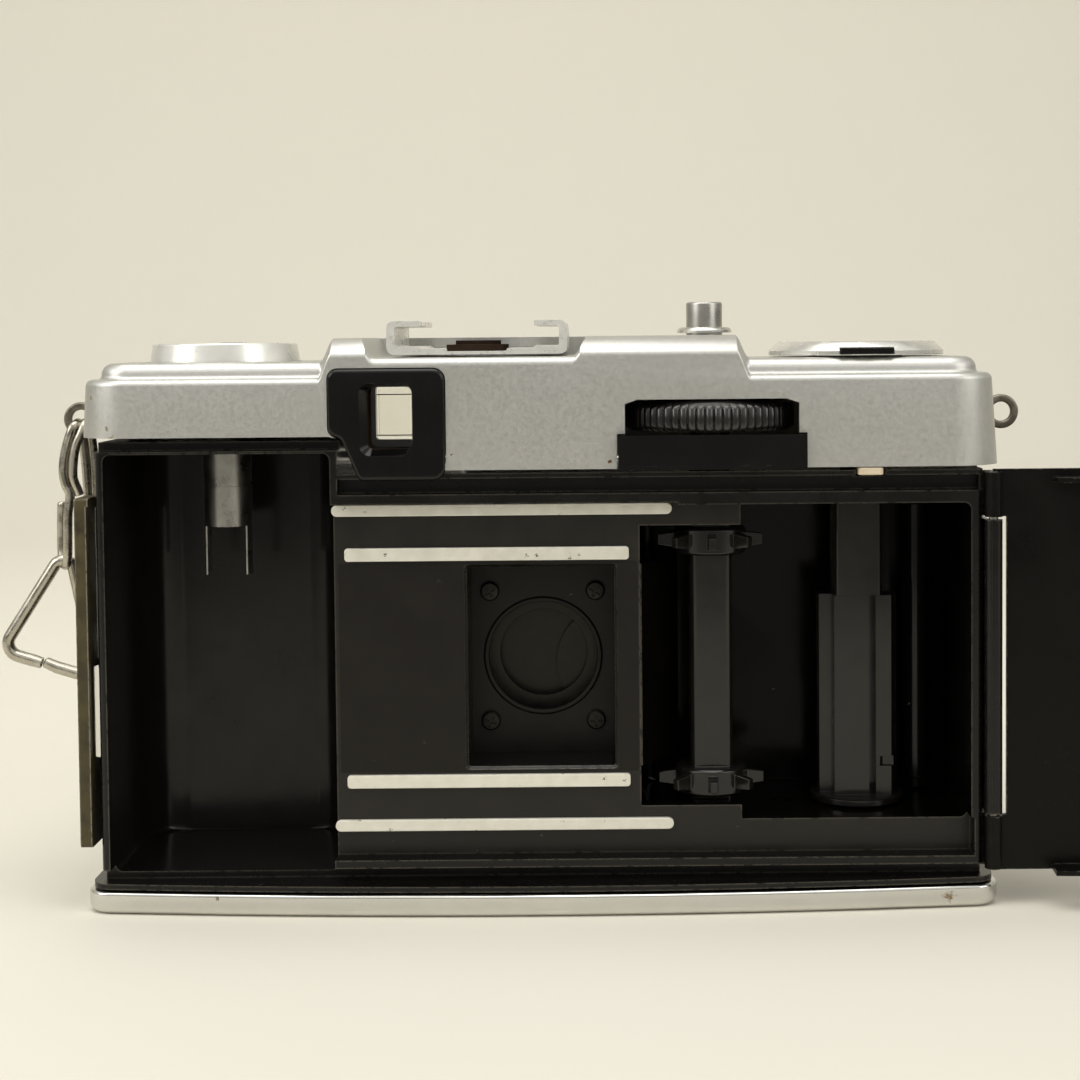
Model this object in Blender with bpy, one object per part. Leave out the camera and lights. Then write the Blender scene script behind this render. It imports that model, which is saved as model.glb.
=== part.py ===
"""Half frame 35 mm camera, seen from behind with its back door open.

Units are metres. +X is to the right behind the camera, +Y runs out of the lens, +Z is up. The origin lies
on the underside of the bottom plate, below the lens axis.
"""

import math

import bmesh
import bpy
from mathutils import Matrix, Vector

MM = 0.001
GAP = 0.3 * MM
LENS_SIDES = 28
KNOB_SIDES = 32

# Die-cast body
BODY_HALF_WIDTH = 52.8 * MM
BODY_FRONT_Y = 12.0 * MM
BODY_CORNER_R = 8.0 * MM
RIM_Y = -12.3 * MM
FILM_PLANE_Y = -10.0 * MM
RAIL_RISE = 0.5 * MM
DECK_Z = 52.7 * MM
CHAMBER_WALL = 0.9 * MM
BASE_FLANGE_Z = 4.0 * MM
BASE_FLANGE_THICK = 1.0 * MM
BASE_FLANGE_INSET = 0.6 * MM

# Film path: gate, rails and the two chambers
LENS_Z = 28.95 * MM
GATE_WIDTH = 17.8 * MM
GATE_HEIGHT = 24.3 * MM
INNER_RAIL_SPAN = 27.6 * MM
INNER_RAIL_WIDTH = 1.6 * MM
INNER_RAIL_X = (-23.4 * MM, 10.6 * MM)
OUTER_RAIL_SPAN = 38.3 * MM
OUTER_RAIL_WIDTH = 1.4 * MM
OUTER_RAIL_X = (-25.1 * MM, 15.9 * MM)
FILM_RECESS_HEIGHT = 41.4 * MM
CHAMBER_FRONT_Y = 10.8 * MM
CARTRIDGE_X = -24.9 * MM
CARTRIDGE_FLOOR_Z = 7.9 * MM
CARTRIDGE_TOP_Z = 55.2 * MM
CARTRIDGE_ROOF = 1.4 * MM
CHAMBER_CORNER_R = 9.0 * MM
TAKEUP_X = 12.0 * MM
TAKEUP_FLOOR_Z = 10.9 * MM
TAKEUP_TOP_Z = 50.0 * MM
TAKEUP_WALL = 1.3 * MM
GROOVE_Y = -9.8 * MM
GROOVE_WIDTH = 1.1 * MM
GROOVE_RIM = 0.9 * MM
CARTRIDGE_RIM = 0.35 * MM
BOTTOM_REBATE = 1.45 * MM

# Top cover
COVER_OVERHANG = 1.4 * MM
COVER_REAR_Y = -12.9 * MM
COVER_FRONT_Y = 13.2 * MM
COVER_CORNER_R = 5.5 * MM
COVER_LOW_Z = 53.1 * MM
COVER_STEP_Z = 57.2 * MM
COVER_STEP_DEPTH = 22.0 * MM
COVER_LEDGE_Z = 63.6 * MM
COVER_SHOULDER_Z = 66.0 * MM
COVER_LEDGE_INSET = 1.5 * MM
COVER_TOP_Z = 68.9 * MM
COVER_CENTRE_LEFT = -27.5 * MM
COVER_CENTRE_TO_COUNTER = 12.7 * MM
COVER_EDGE_R = 1.0 * MM
COVER_WALL = 0.9 * MM
COVER_CENTRE_INSET = 0.05 * MM

# Bottom plate, tripod socket and rewind release
BASE_OVERHANG = 1.5 * MM
BASE_FRONT_Y = 13.3 * MM
BASE_REAR_Y = -12.9 * MM
BASE_BOW = 2.5 * MM
BASE_HEIGHT = 2.7 * MM
BASE_FLOOR = 1.0 * MM
BASE_RIM = 1.2 * MM
BASE_EDGE_R = 0.9 * MM
TRIPOD_X = -14.0 * MM
TRIPOD_OUTER_R = 5.0 * MM
TRIPOD_BORE_R = 3.0 * MM
TRIPOD_FLANGE = 1.2 * MM
RELEASE_OFFSET = 9.2 * MM
RELEASE_R = 2.4 * MM
RELEASE_TRAVEL = 1.0 * MM
RELEASE_STEM_R = 1.0 * MM
RELEASE_SHOULDER = 0.8 * MM

# Back door, hinged at the right end and opened in the photograph
HINGE_OFFSET = 1.3 * MM
HINGE_Y = -12.5 * MM
HINGE_BARREL_R = 1.05 * MM
HINGE_BORE_R = 0.75 * MM
HINGE_PIN_R = 0.55 * MM
HINGE_LEAF_THICK = 0.6 * MM
HINGE_LEAF_DEPTH = 7.0 * MM
HINGE_LEAF_Z = (11.4 * MM, 46.7 * MM)
DOOR_OPEN_DEG = 176.0
DOOR_BOW = 2.0 * MM
DOOR_CENTRE_Y = -15.6 * MM
DOOR_THICK = 0.7 * MM
DOOR_SLIT = 0.55 * MM
DOOR_CLEARANCE = 0.45 * MM
DOOR_STEP_X = (-22.2 * MM, -23.95 * MM)
DOOR_LIP = 0.6 * MM
DOOR_LIP_END = 5.8 * MM
DOOR_FLANGE_TIP_Y = -8.0 * MM
DOOR_FLANGE_CLEAR = 0.35 * MM
LEATHER_THICK = 0.6 * MM
DOOR_LEATHER_INSET = 3.0 * MM
PRESSURE_THICK = 0.8 * MM
PRESSURE_MARGIN = 0.6 * MM
STUD_R = 1.2 * MM
STUD_CLEARANCE = 0.2 * MM
STUD_SPACING = 26.0 * MM

# Door latch on the left end
LATCH_THICK = 1.4 * MM
LATCH_Y = (-12.0 * MM, -5.0 * MM)
LATCH_Z = (7.4 * MM, 50.0 * MM)
LATCH_TRAVEL = 4.0 * MM
CATCH_Z = (18.6 * MM, 29.8 * MM)
CATCH_Y = (-10.7 * MM, -9.6 * MM)
LATCH_POST = 1.2 * MM
LATCH_POST_Y = -6.8 * MM
LATCH_POST_Z = (35.0 * MM, 43.0 * MM)
LATCH_TAB = 1.0 * MM
LATCH_TAB_Z = (24.0 * MM, 34.0 * MM)

# Viewfinder
EYEPIECE_X = (-24.9 * MM, -11.05 * MM)
EYEPIECE_Z = (53.05 * MM, 65.2 * MM)
EYEPIECE_Y = (-13.4 * MM, -9.6 * MM)
EYEPIECE_NOTCH = ((-24.9 * MM, 57.5 * MM), (-23.4 * MM, 56.9 * MM), (-21.75 * MM, 53.05 * MM))
FINDER_WINDOW_X = (-20.3 * MM, -15.0 * MM)
FINDER_WINDOW_Z = (55.8 * MM, 63.05 * MM)
EYE_GLASS_Y = -11.6 * MM
GLASS_THICK = 0.9 * MM
FINDER_BEZEL_MARGIN = 1.2 * MM
FINDER_FRONT_X = (-22.0 * MM, -12.0 * MM)
FINDER_FRONT_Z = (55.6 * MM, 62.6 * MM)
FINDER_BEZEL_DEPTH = 2.6 * MM
FINDER_BEZEL_PROUD = 0.5 * MM

# Accessory shoe
SHOE_X = -7.7 * MM
SHOE_WIDTH = 22.4 * MM
SHOE_LENGTH = 18.0 * MM
SHOE_SHEET = 1.0 * MM
SHOE_SLOT = 2.1 * MM
SHOE_OPENING = 12.8 * MM
SHOE_RECESS = 2.4 * MM
SHOE_CLEARANCE = 0.6 * MM
INSULATOR_SIZE = (6.8 * MM, 12.0 * MM, 0.9 * MM)
CONTACT_R = 1.3 * MM
CONTACT_SINK = 0.1 * MM

# Shutter release
BUTTON_INSET = 6.2 * MM
BUTTON_R = 2.25 * MM
BUTTON_TOP_Z = 73.0 * MM
BUTTON_LENGTH = 8.5 * MM
BUTTON_STOP_R = 3.2 * MM
BUTTON_CHAMFER = 0.5 * MM
COLLAR_R = 3.4 * MM
COLLAR_THICK = 0.7 * MM
RUN_CLEARANCE = 0.25 * MM

# Rewind knob, crank and shaft
REWIND_INSET = 13.4 * MM
KNOB_R = 9.25 * MM
KNOB_TOP_R = 8.9 * MM
KNOB_TOP_Z = 68.3 * MM
KNOB_HEIGHT = 3.7 * MM
KNOB_CHAMFER = 0.3 * MM
KNOB_BAND = 0.1 * MM
CRANK_WIDTH = 3.4 * MM
CRANK_THICK = 0.8 * MM
CRANK_PIVOT = 6.2 * MM
CRANK_REACH = 12.2 * MM
CRANK_PIN_R = 0.5 * MM
CRANK_BARREL_R = 1.0 * MM
HANDLE_R = 1.6 * MM
HANDLE_HEIGHT = 0.8 * MM
WASHER_R = 7.0 * MM
WASHER_THICK = 0.6 * MM
REWIND_SHAFT_R = 3.4 * MM
REWIND_SHAFT_Z = 45.6 * MM
FORK_Z = 39.5 * MM
FORK_THICK = 0.7 * MM

# Film advance: thumbwheel, sprocket, spool and their gears
SPROCKET_ROOM = 8.8 * MM
ADVANCE_Y = -4.0 * MM
WHEEL_R = 10.4 * MM
WHEEL_Z = (57.4 * MM, 61.0 * MM)
WHEEL_BEVEL = 0.8 * MM
WHEEL_RIDGES = 46
WHEEL_RIDGE_DEPTH = 0.45 * MM
WHEEL_SHAFT_R = 2.5 * MM
GEAR_Z = (54.2 * MM, 55.8 * MM)
DRIVE_TEETH = 18
SPOOL_TEETH = 24
GEAR_BACKLASH = 0.12 * MM
GUARD_REACH = (11.3 * MM, 11.0 * MM)
GUARD_Y = -14.3 * MM
GUARD_TOP_Z = 57.1 * MM
GUARD_PLATE = 0.8 * MM
GUARD_CHEEK = 1.3 * MM
GUARD_CHEEK_Y = -9.0 * MM
SPROCKET_SHAFT_R = 2.9 * MM
SPROCKET_HUB_R = 4.5 * MM
SPROCKET_ROOT_R = 6.0 * MM
SPROCKET_TIP_R = 7.2 * MM
SPROCKET_TEETH = 8
SPROCKET_HUB_HEIGHT = 3.4 * MM
SPROCKET_DISC = 1.8 * MM
PERFORATION_SPAN = 29.6 * MM
SPROCKET_PIN_R = 1.6 * MM
SPOOL_INSET = 12.1 * MM
SPOOL_SPACING = 18.6 * MM
SPOOL_Y = 0.0
SPOOL_R = 5.1 * MM
SPOOL_NECK_R = 3.15 * MM
SPOOL_STEP_Z = 36.0 * MM
SPOOL_FLANGE_R = 5.8 * MM
SPOOL_FLANGE = 1.0 * MM
SPOOL_SHAFT_R = 2.0 * MM
SPOOL_SLOT = 0.9 * MM
SPOOL_SLOTS = 3
SPOOL_SLOT_TURN_DEG = -70.0
SPOOL_SHAFT_RISE = 2.0 * MM
SPOOL_SLOT_Z = (13.5 * MM, 32.0 * MM)
PIN_DEPTH = 1.6 * MM
ROLLER_INSET = 3.7 * MM
ROLLER_FRONT_INSET = 4.6 * MM
ROLLER_R = 1.9 * MM
ROLLER_PIN_R = 0.8 * MM

# Frame counter
COUNTER_R = 10.85 * MM
COUNTER_TOP_R = 9.6 * MM
COUNTER_TOP_Z = 68.0 * MM
COUNTER_WINDOW_R = 6.4 * MM
COUNTER_TAB_WIDTH = 6.6 * MM
COUNTER_GLASS = 0.7 * MM
COUNTER_BEVEL = 1.2 * MM
COUNTER_TAB_RISE = 0.6 * MM
COUNTER_DIAL_THICK = 0.7 * MM
COUNTER_SHAFT_R = 1.2 * MM
COUNTER_SHAFT_LENGTH = 3.0 * MM
RESET_OFFSET = 0.1 * MM
RESET_WIDTH = 3.0 * MM
RESET_THICK = 0.9 * MM
RESET_LENGTH = 6.5 * MM
RESET_TRAVEL = 1.2 * MM
RESET_REAR_Y = -12.9 * MM

# Lens, light cell and leaf shutter, turned about the lens axis
LENS_BORE_R = 15.4 * MM
LENS_BORE_Y = -1.4 * MM
MOUNT_PLATE_THICK = 1.0 * MM
MOUNT_OPENING_R = 7.25 * MM
MOUNT_SCREW = (6.6 * MM, 8.15 * MM)
MOUNT_SCREW_R = 1.2 * MM
MOUNT_SCREW_HEAD = 0.6 * MM
MOUNT_SHANK_R = 0.5 * MM
MOUNT_HOLE_R = 0.8 * MM
SHUTTER_CAVITY_R = 12.6 * MM
SHUTTER_CAVITY = 2.6 * MM
SHUTTER_REAR_LIP = 1.8 * MM
SHUTTER_LENGTH = 9.0 * MM
SHUTTER_APERTURE_R = 4.0 * MM
BLADE_THICK = 0.3 * MM
BLADE_PLAY = 0.5 * MM
BLADE_PIVOT = (2.4 * MM, 9.4 * MM)
BLADE_PIVOT_R = 0.5 * MM
BLADE_EYE_R = 1.3 * MM
BLADE_OVERLAP = 0.4 * MM
BLADE_REACH = 4.8 * MM
REAR_GLASS_R = 6.4 * MM
REAR_GLASS_THICK = 2.2 * MM
BARREL_FLANGE_R = 20.5 * MM
BARREL_FLANGE_Y = (13.2 * MM, 15.4 * MM)
BARREL_SLEEVE_R = 16.0 * MM
BARREL_FRONT_Y = 28.6 * MM
BARREL_BORE_R = 9.5 * MM
APERTURE_RING_R = 20.0 * MM
APERTURE_RING_LENGTH = 4.0 * MM
SPEED_RING_R = 19.5 * MM
SPEED_RING_LENGTH = 3.0 * MM
RING_CHAMFER = 0.4 * MM
FRONT_RING_R = 19.2 * MM
FRONT_RING_BEVEL = 1.0 * MM
CELL_RING_R = (10.6 * MM, 15.2 * MM)
CELL_RECESS = 2.0 * MM
CELL_THICK = 1.4 * MM
FRONT_GLASS_R = 9.2 * MM
FRONT_GLASS_Y = (20.0 * MM, 23.4 * MM)
FRONT_GLASS_CROWN = 1.6 * MM
SYNC_X = 33.0 * MM
SYNC_Z = 44.0 * MM
SYNC_R = 2.6 * MM
SYNC_LENGTH = 2.6 * MM

# Strap lugs and the hardware hanging on the left one
LUG_REACH = 3.4 * MM
LUG_Z = 59.05 * MM
LUG_R = 2.15 * MM
LUG_HOLE_R = 1.2 * MM
LUG_THICK = 1.0 * MM
LUG_BASE_R = 2.3 * MM
LUG_BASE_THICK = 0.7 * MM
LUG_NECK_HALF = 0.8 * MM
LUG_NECK_SINK = 0.5 * MM
LINK_WIRE_R = 0.45 * MM
LINK_LENGTH = 17.0 * MM
LINK_WIDTH = 3.4 * MM
LINK_LEAN_DEG = 6.4
LINK_TURN_DEG = 25.0
TRIANGLE_WIRE_R = 0.65 * MM
TRIANGLE_SIDE = 13.4 * MM
TRIANGLE_BASE = 10.4 * MM
TRIANGLE_CORNER_R = 1.5 * MM
TRIANGLE_LEAN_DEG = 13.0

BLACK_PAINT = ("black_paint", (0.012, 0.011, 0.010), 0.55, 0.0)
SATIN_CHROME = ("satin_chrome", (0.56, 0.55, 0.50), 0.32, 1.0)
BRIGHT_STEEL = ("bright_steel", (0.62, 0.60, 0.55), 0.22, 1.0)
BLACK_PLASTIC = ("black_plastic", (0.015, 0.015, 0.015), 0.40, 0.0)
LEATHERETTE = ("leatherette", (0.010, 0.010, 0.010), 0.75, 0.0)
CLEAR_GLASS = ("clear_glass", (0.75, 0.80, 0.78), 0.05, 0.0)
DARK_STEEL = ("dark_steel", (0.10, 0.095, 0.085), 0.40, 1.0)
BRASS = ("brass", (0.55, 0.42, 0.18), 0.30, 1.0)
CREAM_PLASTIC = ("cream_plastic", (0.72, 0.62, 0.45), 0.50, 0.0)
BROWN_STEEL = ("brown_steel", (0.035, 0.026, 0.020), 0.45, 0.6)


def clear_scene():
    for obj in list(bpy.data.objects):
        bpy.data.objects.remove(obj)


def material(look):
    name, colour, roughness, metallic = look
    found = bpy.data.materials.get(name)
    if found:
        return found
    made = bpy.data.materials.new(name)
    made.use_nodes = True
    shader = made.node_tree.nodes["Principled BSDF"]
    shader.inputs["Base Color"].default_value = (*colour, 1.0)
    shader.inputs["Roughness"].default_value = roughness
    shader.inputs["Metallic"].default_value = metallic
    return made


def add_object(name, bm):
    bmesh.ops.recalc_face_normals(bm, faces=bm.faces)
    mesh = bpy.data.meshes.new(name)
    bm.to_mesh(mesh)
    bm.free()
    obj = bpy.data.objects.new(name, mesh)
    bpy.context.scene.collection.objects.link(obj)
    return obj


def finish(obj, look, name=None):
    if name:
        obj.name = name
    obj.data.materials.clear()
    obj.data.materials.append(material(look))
    obj.data.shade_smooth()
    obj.data.set_sharp_from_angle(angle=math.radians(35))
    return obj


def combine(target, others, operation):
    for other in others:
        step = target.modifiers.new(operation.lower(), "BOOLEAN")
        step.operation = operation
        step.solver = "EXACT"
        step.object = other
    graph = bpy.context.evaluated_depsgraph_get()
    mesh = bpy.data.meshes.new_from_object(target.evaluated_get(graph))
    target.modifiers.clear()
    target.data = mesh
    for other in others:
        bpy.data.objects.remove(other)
    return target


def cut(target, *cutters):
    return combine(target, cutters, "DIFFERENCE")


def fuse(target, *others):
    return combine(target, others, "UNION")


def loft(outlines, name="loft"):
    """Closed solid through outlines with equal numbers of 3-D points."""
    bm = bmesh.new()
    rings = [[bm.verts.new(p) for p in outline] for outline in outlines]
    count = len(rings[0])
    for low, high in zip(rings, rings[1:]):
        for i in range(count):
            j = (i + 1) % count
            bm.faces.new((low[i], low[j], high[j], high[i]))
    bm.faces.new(list(reversed(rings[0])))
    bm.faces.new(rings[-1])
    return add_object(name, bm)


def place(axis, u, v, h):
    if axis == "Z":
        return Vector((u, v, h))
    if axis == "Y":
        return Vector((u, h, v))
    return Vector((h, u, v))


def prism(points, low, high, axis="Z"):
    """Extrudes an outline: (x, y) along Z, (x, z) along Y or (y, z) along X."""
    return loft([[place(axis, u, v, h) for u, v in points] for h in (low, high)])


def box(x, y, z):
    return prism([(x[0], y[0]), (x[1], y[0]), (x[1], y[1]), (x[0], y[1])], z[0], z[1])


def arc(centre, radius, start, end, count):
    """Points on a circle from start to end, in degrees."""
    points = []
    for i in range(count + 1):
        a = math.radians(start + (end - start) * i / count)
        points.append((centre[0] + radius * math.cos(a), centre[1] + radius * math.sin(a)))
    return points


def circle(centre, radius, count=16):
    return arc(centre, radius, 0.0, 360.0, count)[:-1]


def rounded(x, y, rear_r, front_r, inset=0.0, count=4):
    """Plan outline with round corners: rear corners at low y and front corners at high y."""
    x0, x1 = x[0] + inset, x[1] - inset
    y0, y1 = y[0] + inset, y[1] - inset
    rear = max(rear_r - inset, GAP)
    front = max(front_r - inset, GAP)
    points = arc((x0 + rear, y0 + rear), rear, 180, 270, count)
    points += arc((x1 - rear, y0 + rear), rear, 270, 360, count)
    points += arc((x1 - front, y1 - front), front, 0, 90, count)
    points += arc((x0 + front, y1 - front), front, 90, 180, count)
    return points


def turned(profile, centre, axis="Z", count=24):
    """Solid of revolution of a closed (radius, height) profile; radius 0 points lie on the axis."""
    bm = bmesh.new()
    columns = []
    for radius, height in profile:
        if radius == 0.0:
            columns.append([bm.verts.new(place(axis, centre[0], centre[1], height))] * count)
            continue
        ring = [bm.verts.new(place(axis, u, v, height)) for u, v in circle(centre, radius, count)]
        columns.append(ring)
    total = len(columns)
    for k in range(total):
        low, high = columns[k], columns[(k + 1) % total]
        if low[0] is low[1] and high[0] is high[1]:
            continue
        for i in range(count):
            j = (i + 1) % count
            corners = [low[i]]
            for vert in (low[j], high[j], high[i]):
                if vert not in corners:
                    corners.append(vert)
            bm.faces.new(corners)
    return add_object("turned", bm)


def cylinder(centre, radius, low, high, axis="Z", count=16):
    return prism(circle(centre, radius, count), low, high, axis)


def ring(centre, inner, outer, low, high, axis="Z", count=24):
    return turned([(outer, high), (outer, low), (inner, low), (inner, high)], centre, axis, count)


def tube_loop(points, radius, sides=8):
    """Closed wire through a loop of 3-D points."""
    bm = bmesh.new()
    total = len(points)
    normal = Vector((0.0, 0.0, 0.0))
    for i in range(total):
        normal += points[i].cross(points[(i + 1) % total])
    normal.normalize()
    rings = []
    for i, point in enumerate(points):
        along = (points[(i + 1) % total] - points[i - 1]).normalized()
        side = normal.cross(along).normalized()
        corners = []
        for k in range(sides):
            a = 2.0 * math.pi * (k + 0.5) / sides
            corners.append(bm.verts.new(point + radius * (math.cos(a) * side + math.sin(a) * normal)))
        rings.append(corners)
    for i in range(total):
        low, high = rings[i], rings[(i + 1) % total]
        for k in range(sides):
            j = (k + 1) % sides
            bm.faces.new((low[k], low[j], high[j], high[k]))
    return add_object("wire", bm)


def involute_gear(centre, module, teeth, low, high, bore_r, turn_deg):
    """Spur gear outline: involute flanks at 20 degrees, thinned by the backlash."""
    pitch_r = module * teeth / 2.0
    base_r = pitch_r * math.cos(math.radians(20))
    tip_r = pitch_r + 0.85 * module
    root_r = pitch_r - 1.15 * module
    half_tooth = math.pi / (2.0 * teeth) - GEAR_BACKLASH / pitch_r

    def roll(radius):
        angle = math.acos(min(1.0, base_r / radius))
        return math.tan(angle) - angle

    flank = [pitch_r - 0.5 * module, pitch_r + 0.2 * module, tip_r]
    points = []
    for k in range(teeth):
        middle = math.radians(turn_deg) + 2.0 * math.pi * k / teeth
        right = []
        for radius in flank:
            right.append((radius, half_tooth + roll(pitch_r) - roll(radius)))
        right.insert(0, (root_r, right[0][1]))
        polar = [(r, middle - a) for r, a in right] + [(r, middle + a) for r, a in reversed(right)]
        points += [(centre[0] + r * math.cos(a), centre[1] + r * math.sin(a)) for r, a in polar]
    return cut(prism(points, low, high), cylinder(centre, bore_r, low - GAP, high + GAP))


def lens_turned(profile, count=LENS_SIDES):
    return turned(profile, (0.0, LENS_Z), "Y", count)


# Shapes that several pieces share

GATE_Z = (LENS_Z - GATE_HEIGHT / 2, LENS_Z + GATE_HEIGHT / 2)
FILM_RECESS_Z = (LENS_Z - FILM_RECESS_HEIGHT / 2, LENS_Z + FILM_RECESS_HEIGHT / 2)
PLATE_Y = FILM_PLANE_Y + RAIL_RISE
TOWER_TOP_Z = CARTRIDGE_TOP_Z + CARTRIDGE_ROOF
TOWER_X = CARTRIDGE_X + CHAMBER_WALL
TAKEUP_END_X = BODY_HALF_WIDTH - TAKEUP_WALL
COVER_HALF_WIDTH = BODY_HALF_WIDTH + COVER_OVERHANG
BASE_HALF_WIDTH = BODY_HALF_WIDTH + BASE_OVERHANG
LUG_X = COVER_HALF_WIDTH + LUG_REACH
HINGE_X = BODY_HALF_WIDTH + HINGE_OFFSET
DOOR_LIP_X = BODY_HALF_WIDTH - DOOR_LIP_END
REWIND_X = REWIND_INSET - BODY_HALF_WIDTH
ROLLER_X = TAKEUP_END_X - ROLLER_INSET
ROLLER_Y = CHAMBER_FRONT_Y - ROLLER_FRONT_INSET
SPOOL_X = TAKEUP_END_X - SPOOL_INSET
# The sprocket keeps its room beside the gate, and no more than the gears' spacing from the spool
ADVANCE_X = max(TAKEUP_X + SPROCKET_ROOM, SPOOL_X - SPOOL_SPACING)
GUARD_X = (ADVANCE_X - GUARD_REACH[0], ADVANCE_X + GUARD_REACH[1])
RELEASE_X = ADVANCE_X + RELEASE_OFFSET
RESET_X = SPOOL_X + RESET_OFFSET
COVER_CENTRE_X = (COVER_CENTRE_LEFT, SPOOL_X - COVER_CENTRE_TO_COUNTER)
BUTTON_X = COVER_CENTRE_X[1] - BUTTON_INSET
GROOVE_Z = (TAKEUP_TOP_Z + GROOVE_RIM, TAKEUP_TOP_Z + GROOVE_RIM + GROOVE_WIDTH)
CARTRIDGE_REBATE_Z = CARTRIDGE_TOP_Z + CARTRIDGE_RIM
LATCH_X = -BODY_HALF_WIDTH - 2.0 * DOOR_FLANGE_CLEAR - DOOR_LIP
BARREL_CENTRE = (HINGE_X, HINGE_Y)
DOOR_TOP_Z = COVER_LOW_Z - DOOR_CLEARANCE
DOOR_STEP_TOP_Z = COVER_STEP_Z - DOOR_CLEARANCE
DOOR_LOW_Z = BASE_FLANGE_Z + DOOR_CLEARANCE
SHAFT_CLEAR = GAP
FAR = 200.0 * MM
MOUNT_Y = (LENS_BORE_Y + GAP, LENS_BORE_Y + GAP + MOUNT_PLATE_THICK)
SHUTTER_Y = (MOUNT_Y[1] + GAP, MOUNT_Y[1] + GAP + SHUTTER_LENGTH)
CAVITY_Y = (SHUTTER_Y[0] + SHUTTER_REAR_LIP, SHUTTER_Y[0] + SHUTTER_REAR_LIP + SHUTTER_CAVITY)
GEAR_DISTANCE = math.hypot(SPOOL_X - ADVANCE_X, SPOOL_Y - ADVANCE_Y)
GEAR_MODULE = 2.0 * GEAR_DISTANCE / (DRIVE_TEETH + SPOOL_TEETH)
KNOB_LOW_Z = KNOB_TOP_Z - KNOB_HEIGHT
SHOE_FLOOR_Z = COVER_TOP_Z - SHOE_RECESS
EYEPIECE_OUTLINE = [
    *EYEPIECE_NOTCH,
    (EYEPIECE_X[1], EYEPIECE_Z[0]),
    (EYEPIECE_X[1], EYEPIECE_Z[1]),
    (EYEPIECE_X[0], EYEPIECE_Z[1]),
]


def grown(points, distance):
    """Outline moved outwards by a distance along its corner bisectors."""
    made = []
    total = len(points)
    for i in range(total):
        here = Vector(points[i])
        before = (here - Vector(points[i - 1])).normalized()
        after = (Vector(points[(i + 1) % total]) - here).normalized()
        side = Vector((before.y, -before.x)) + Vector((after.y, -after.x))
        side.normalize()
        lean = side.dot(Vector((before.y, -before.x)))
        moved = here + side * distance / lean
        made.append((moved.x, moved.y))
    return made


def base_outline(inset=0.0):
    """Plan of the bottom plate: round ends and a rear edge that bows out in the middle."""
    half = BASE_HALF_WIDTH - inset
    front = BASE_FRONT_Y - inset
    rear = BASE_REAR_Y + inset
    corner = COVER_CORNER_R - inset
    points = arc((-half + corner, rear + corner), corner, 180, 270, 4)
    straight = half - corner
    for i in range(1, 8):
        x = -straight + 2.0 * straight * i / 8
        points.append((x, rear - BASE_BOW * (1.0 - (x / straight) ** 2)))
    points += arc((half - corner, rear + corner), corner, 270, 360, 4)
    big = BODY_CORNER_R - inset
    points += arc((half - big, front - big), big, 0, 90, 4)
    points += arc((-half + big, front - big), big, 90, 180, 4)
    return points


def door_outer_y(x):
    return DOOR_CENTRE_Y + DOOR_BOW * (x / BODY_HALF_WIDTH) ** 2


def bowed_sheet(x, near, far, low, high, count=12):
    """Sheet that follows the door's bow, from near to far inside the door's outer face."""
    xs = [x[0] + (x[1] - x[0]) * i / count for i in range(count + 1)]
    points = [(u, door_outer_y(u) + near) for u in xs]
    points += [(u, door_outer_y(u) + far) for u in reversed(xs)]
    return prism(points, low, high)


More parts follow.
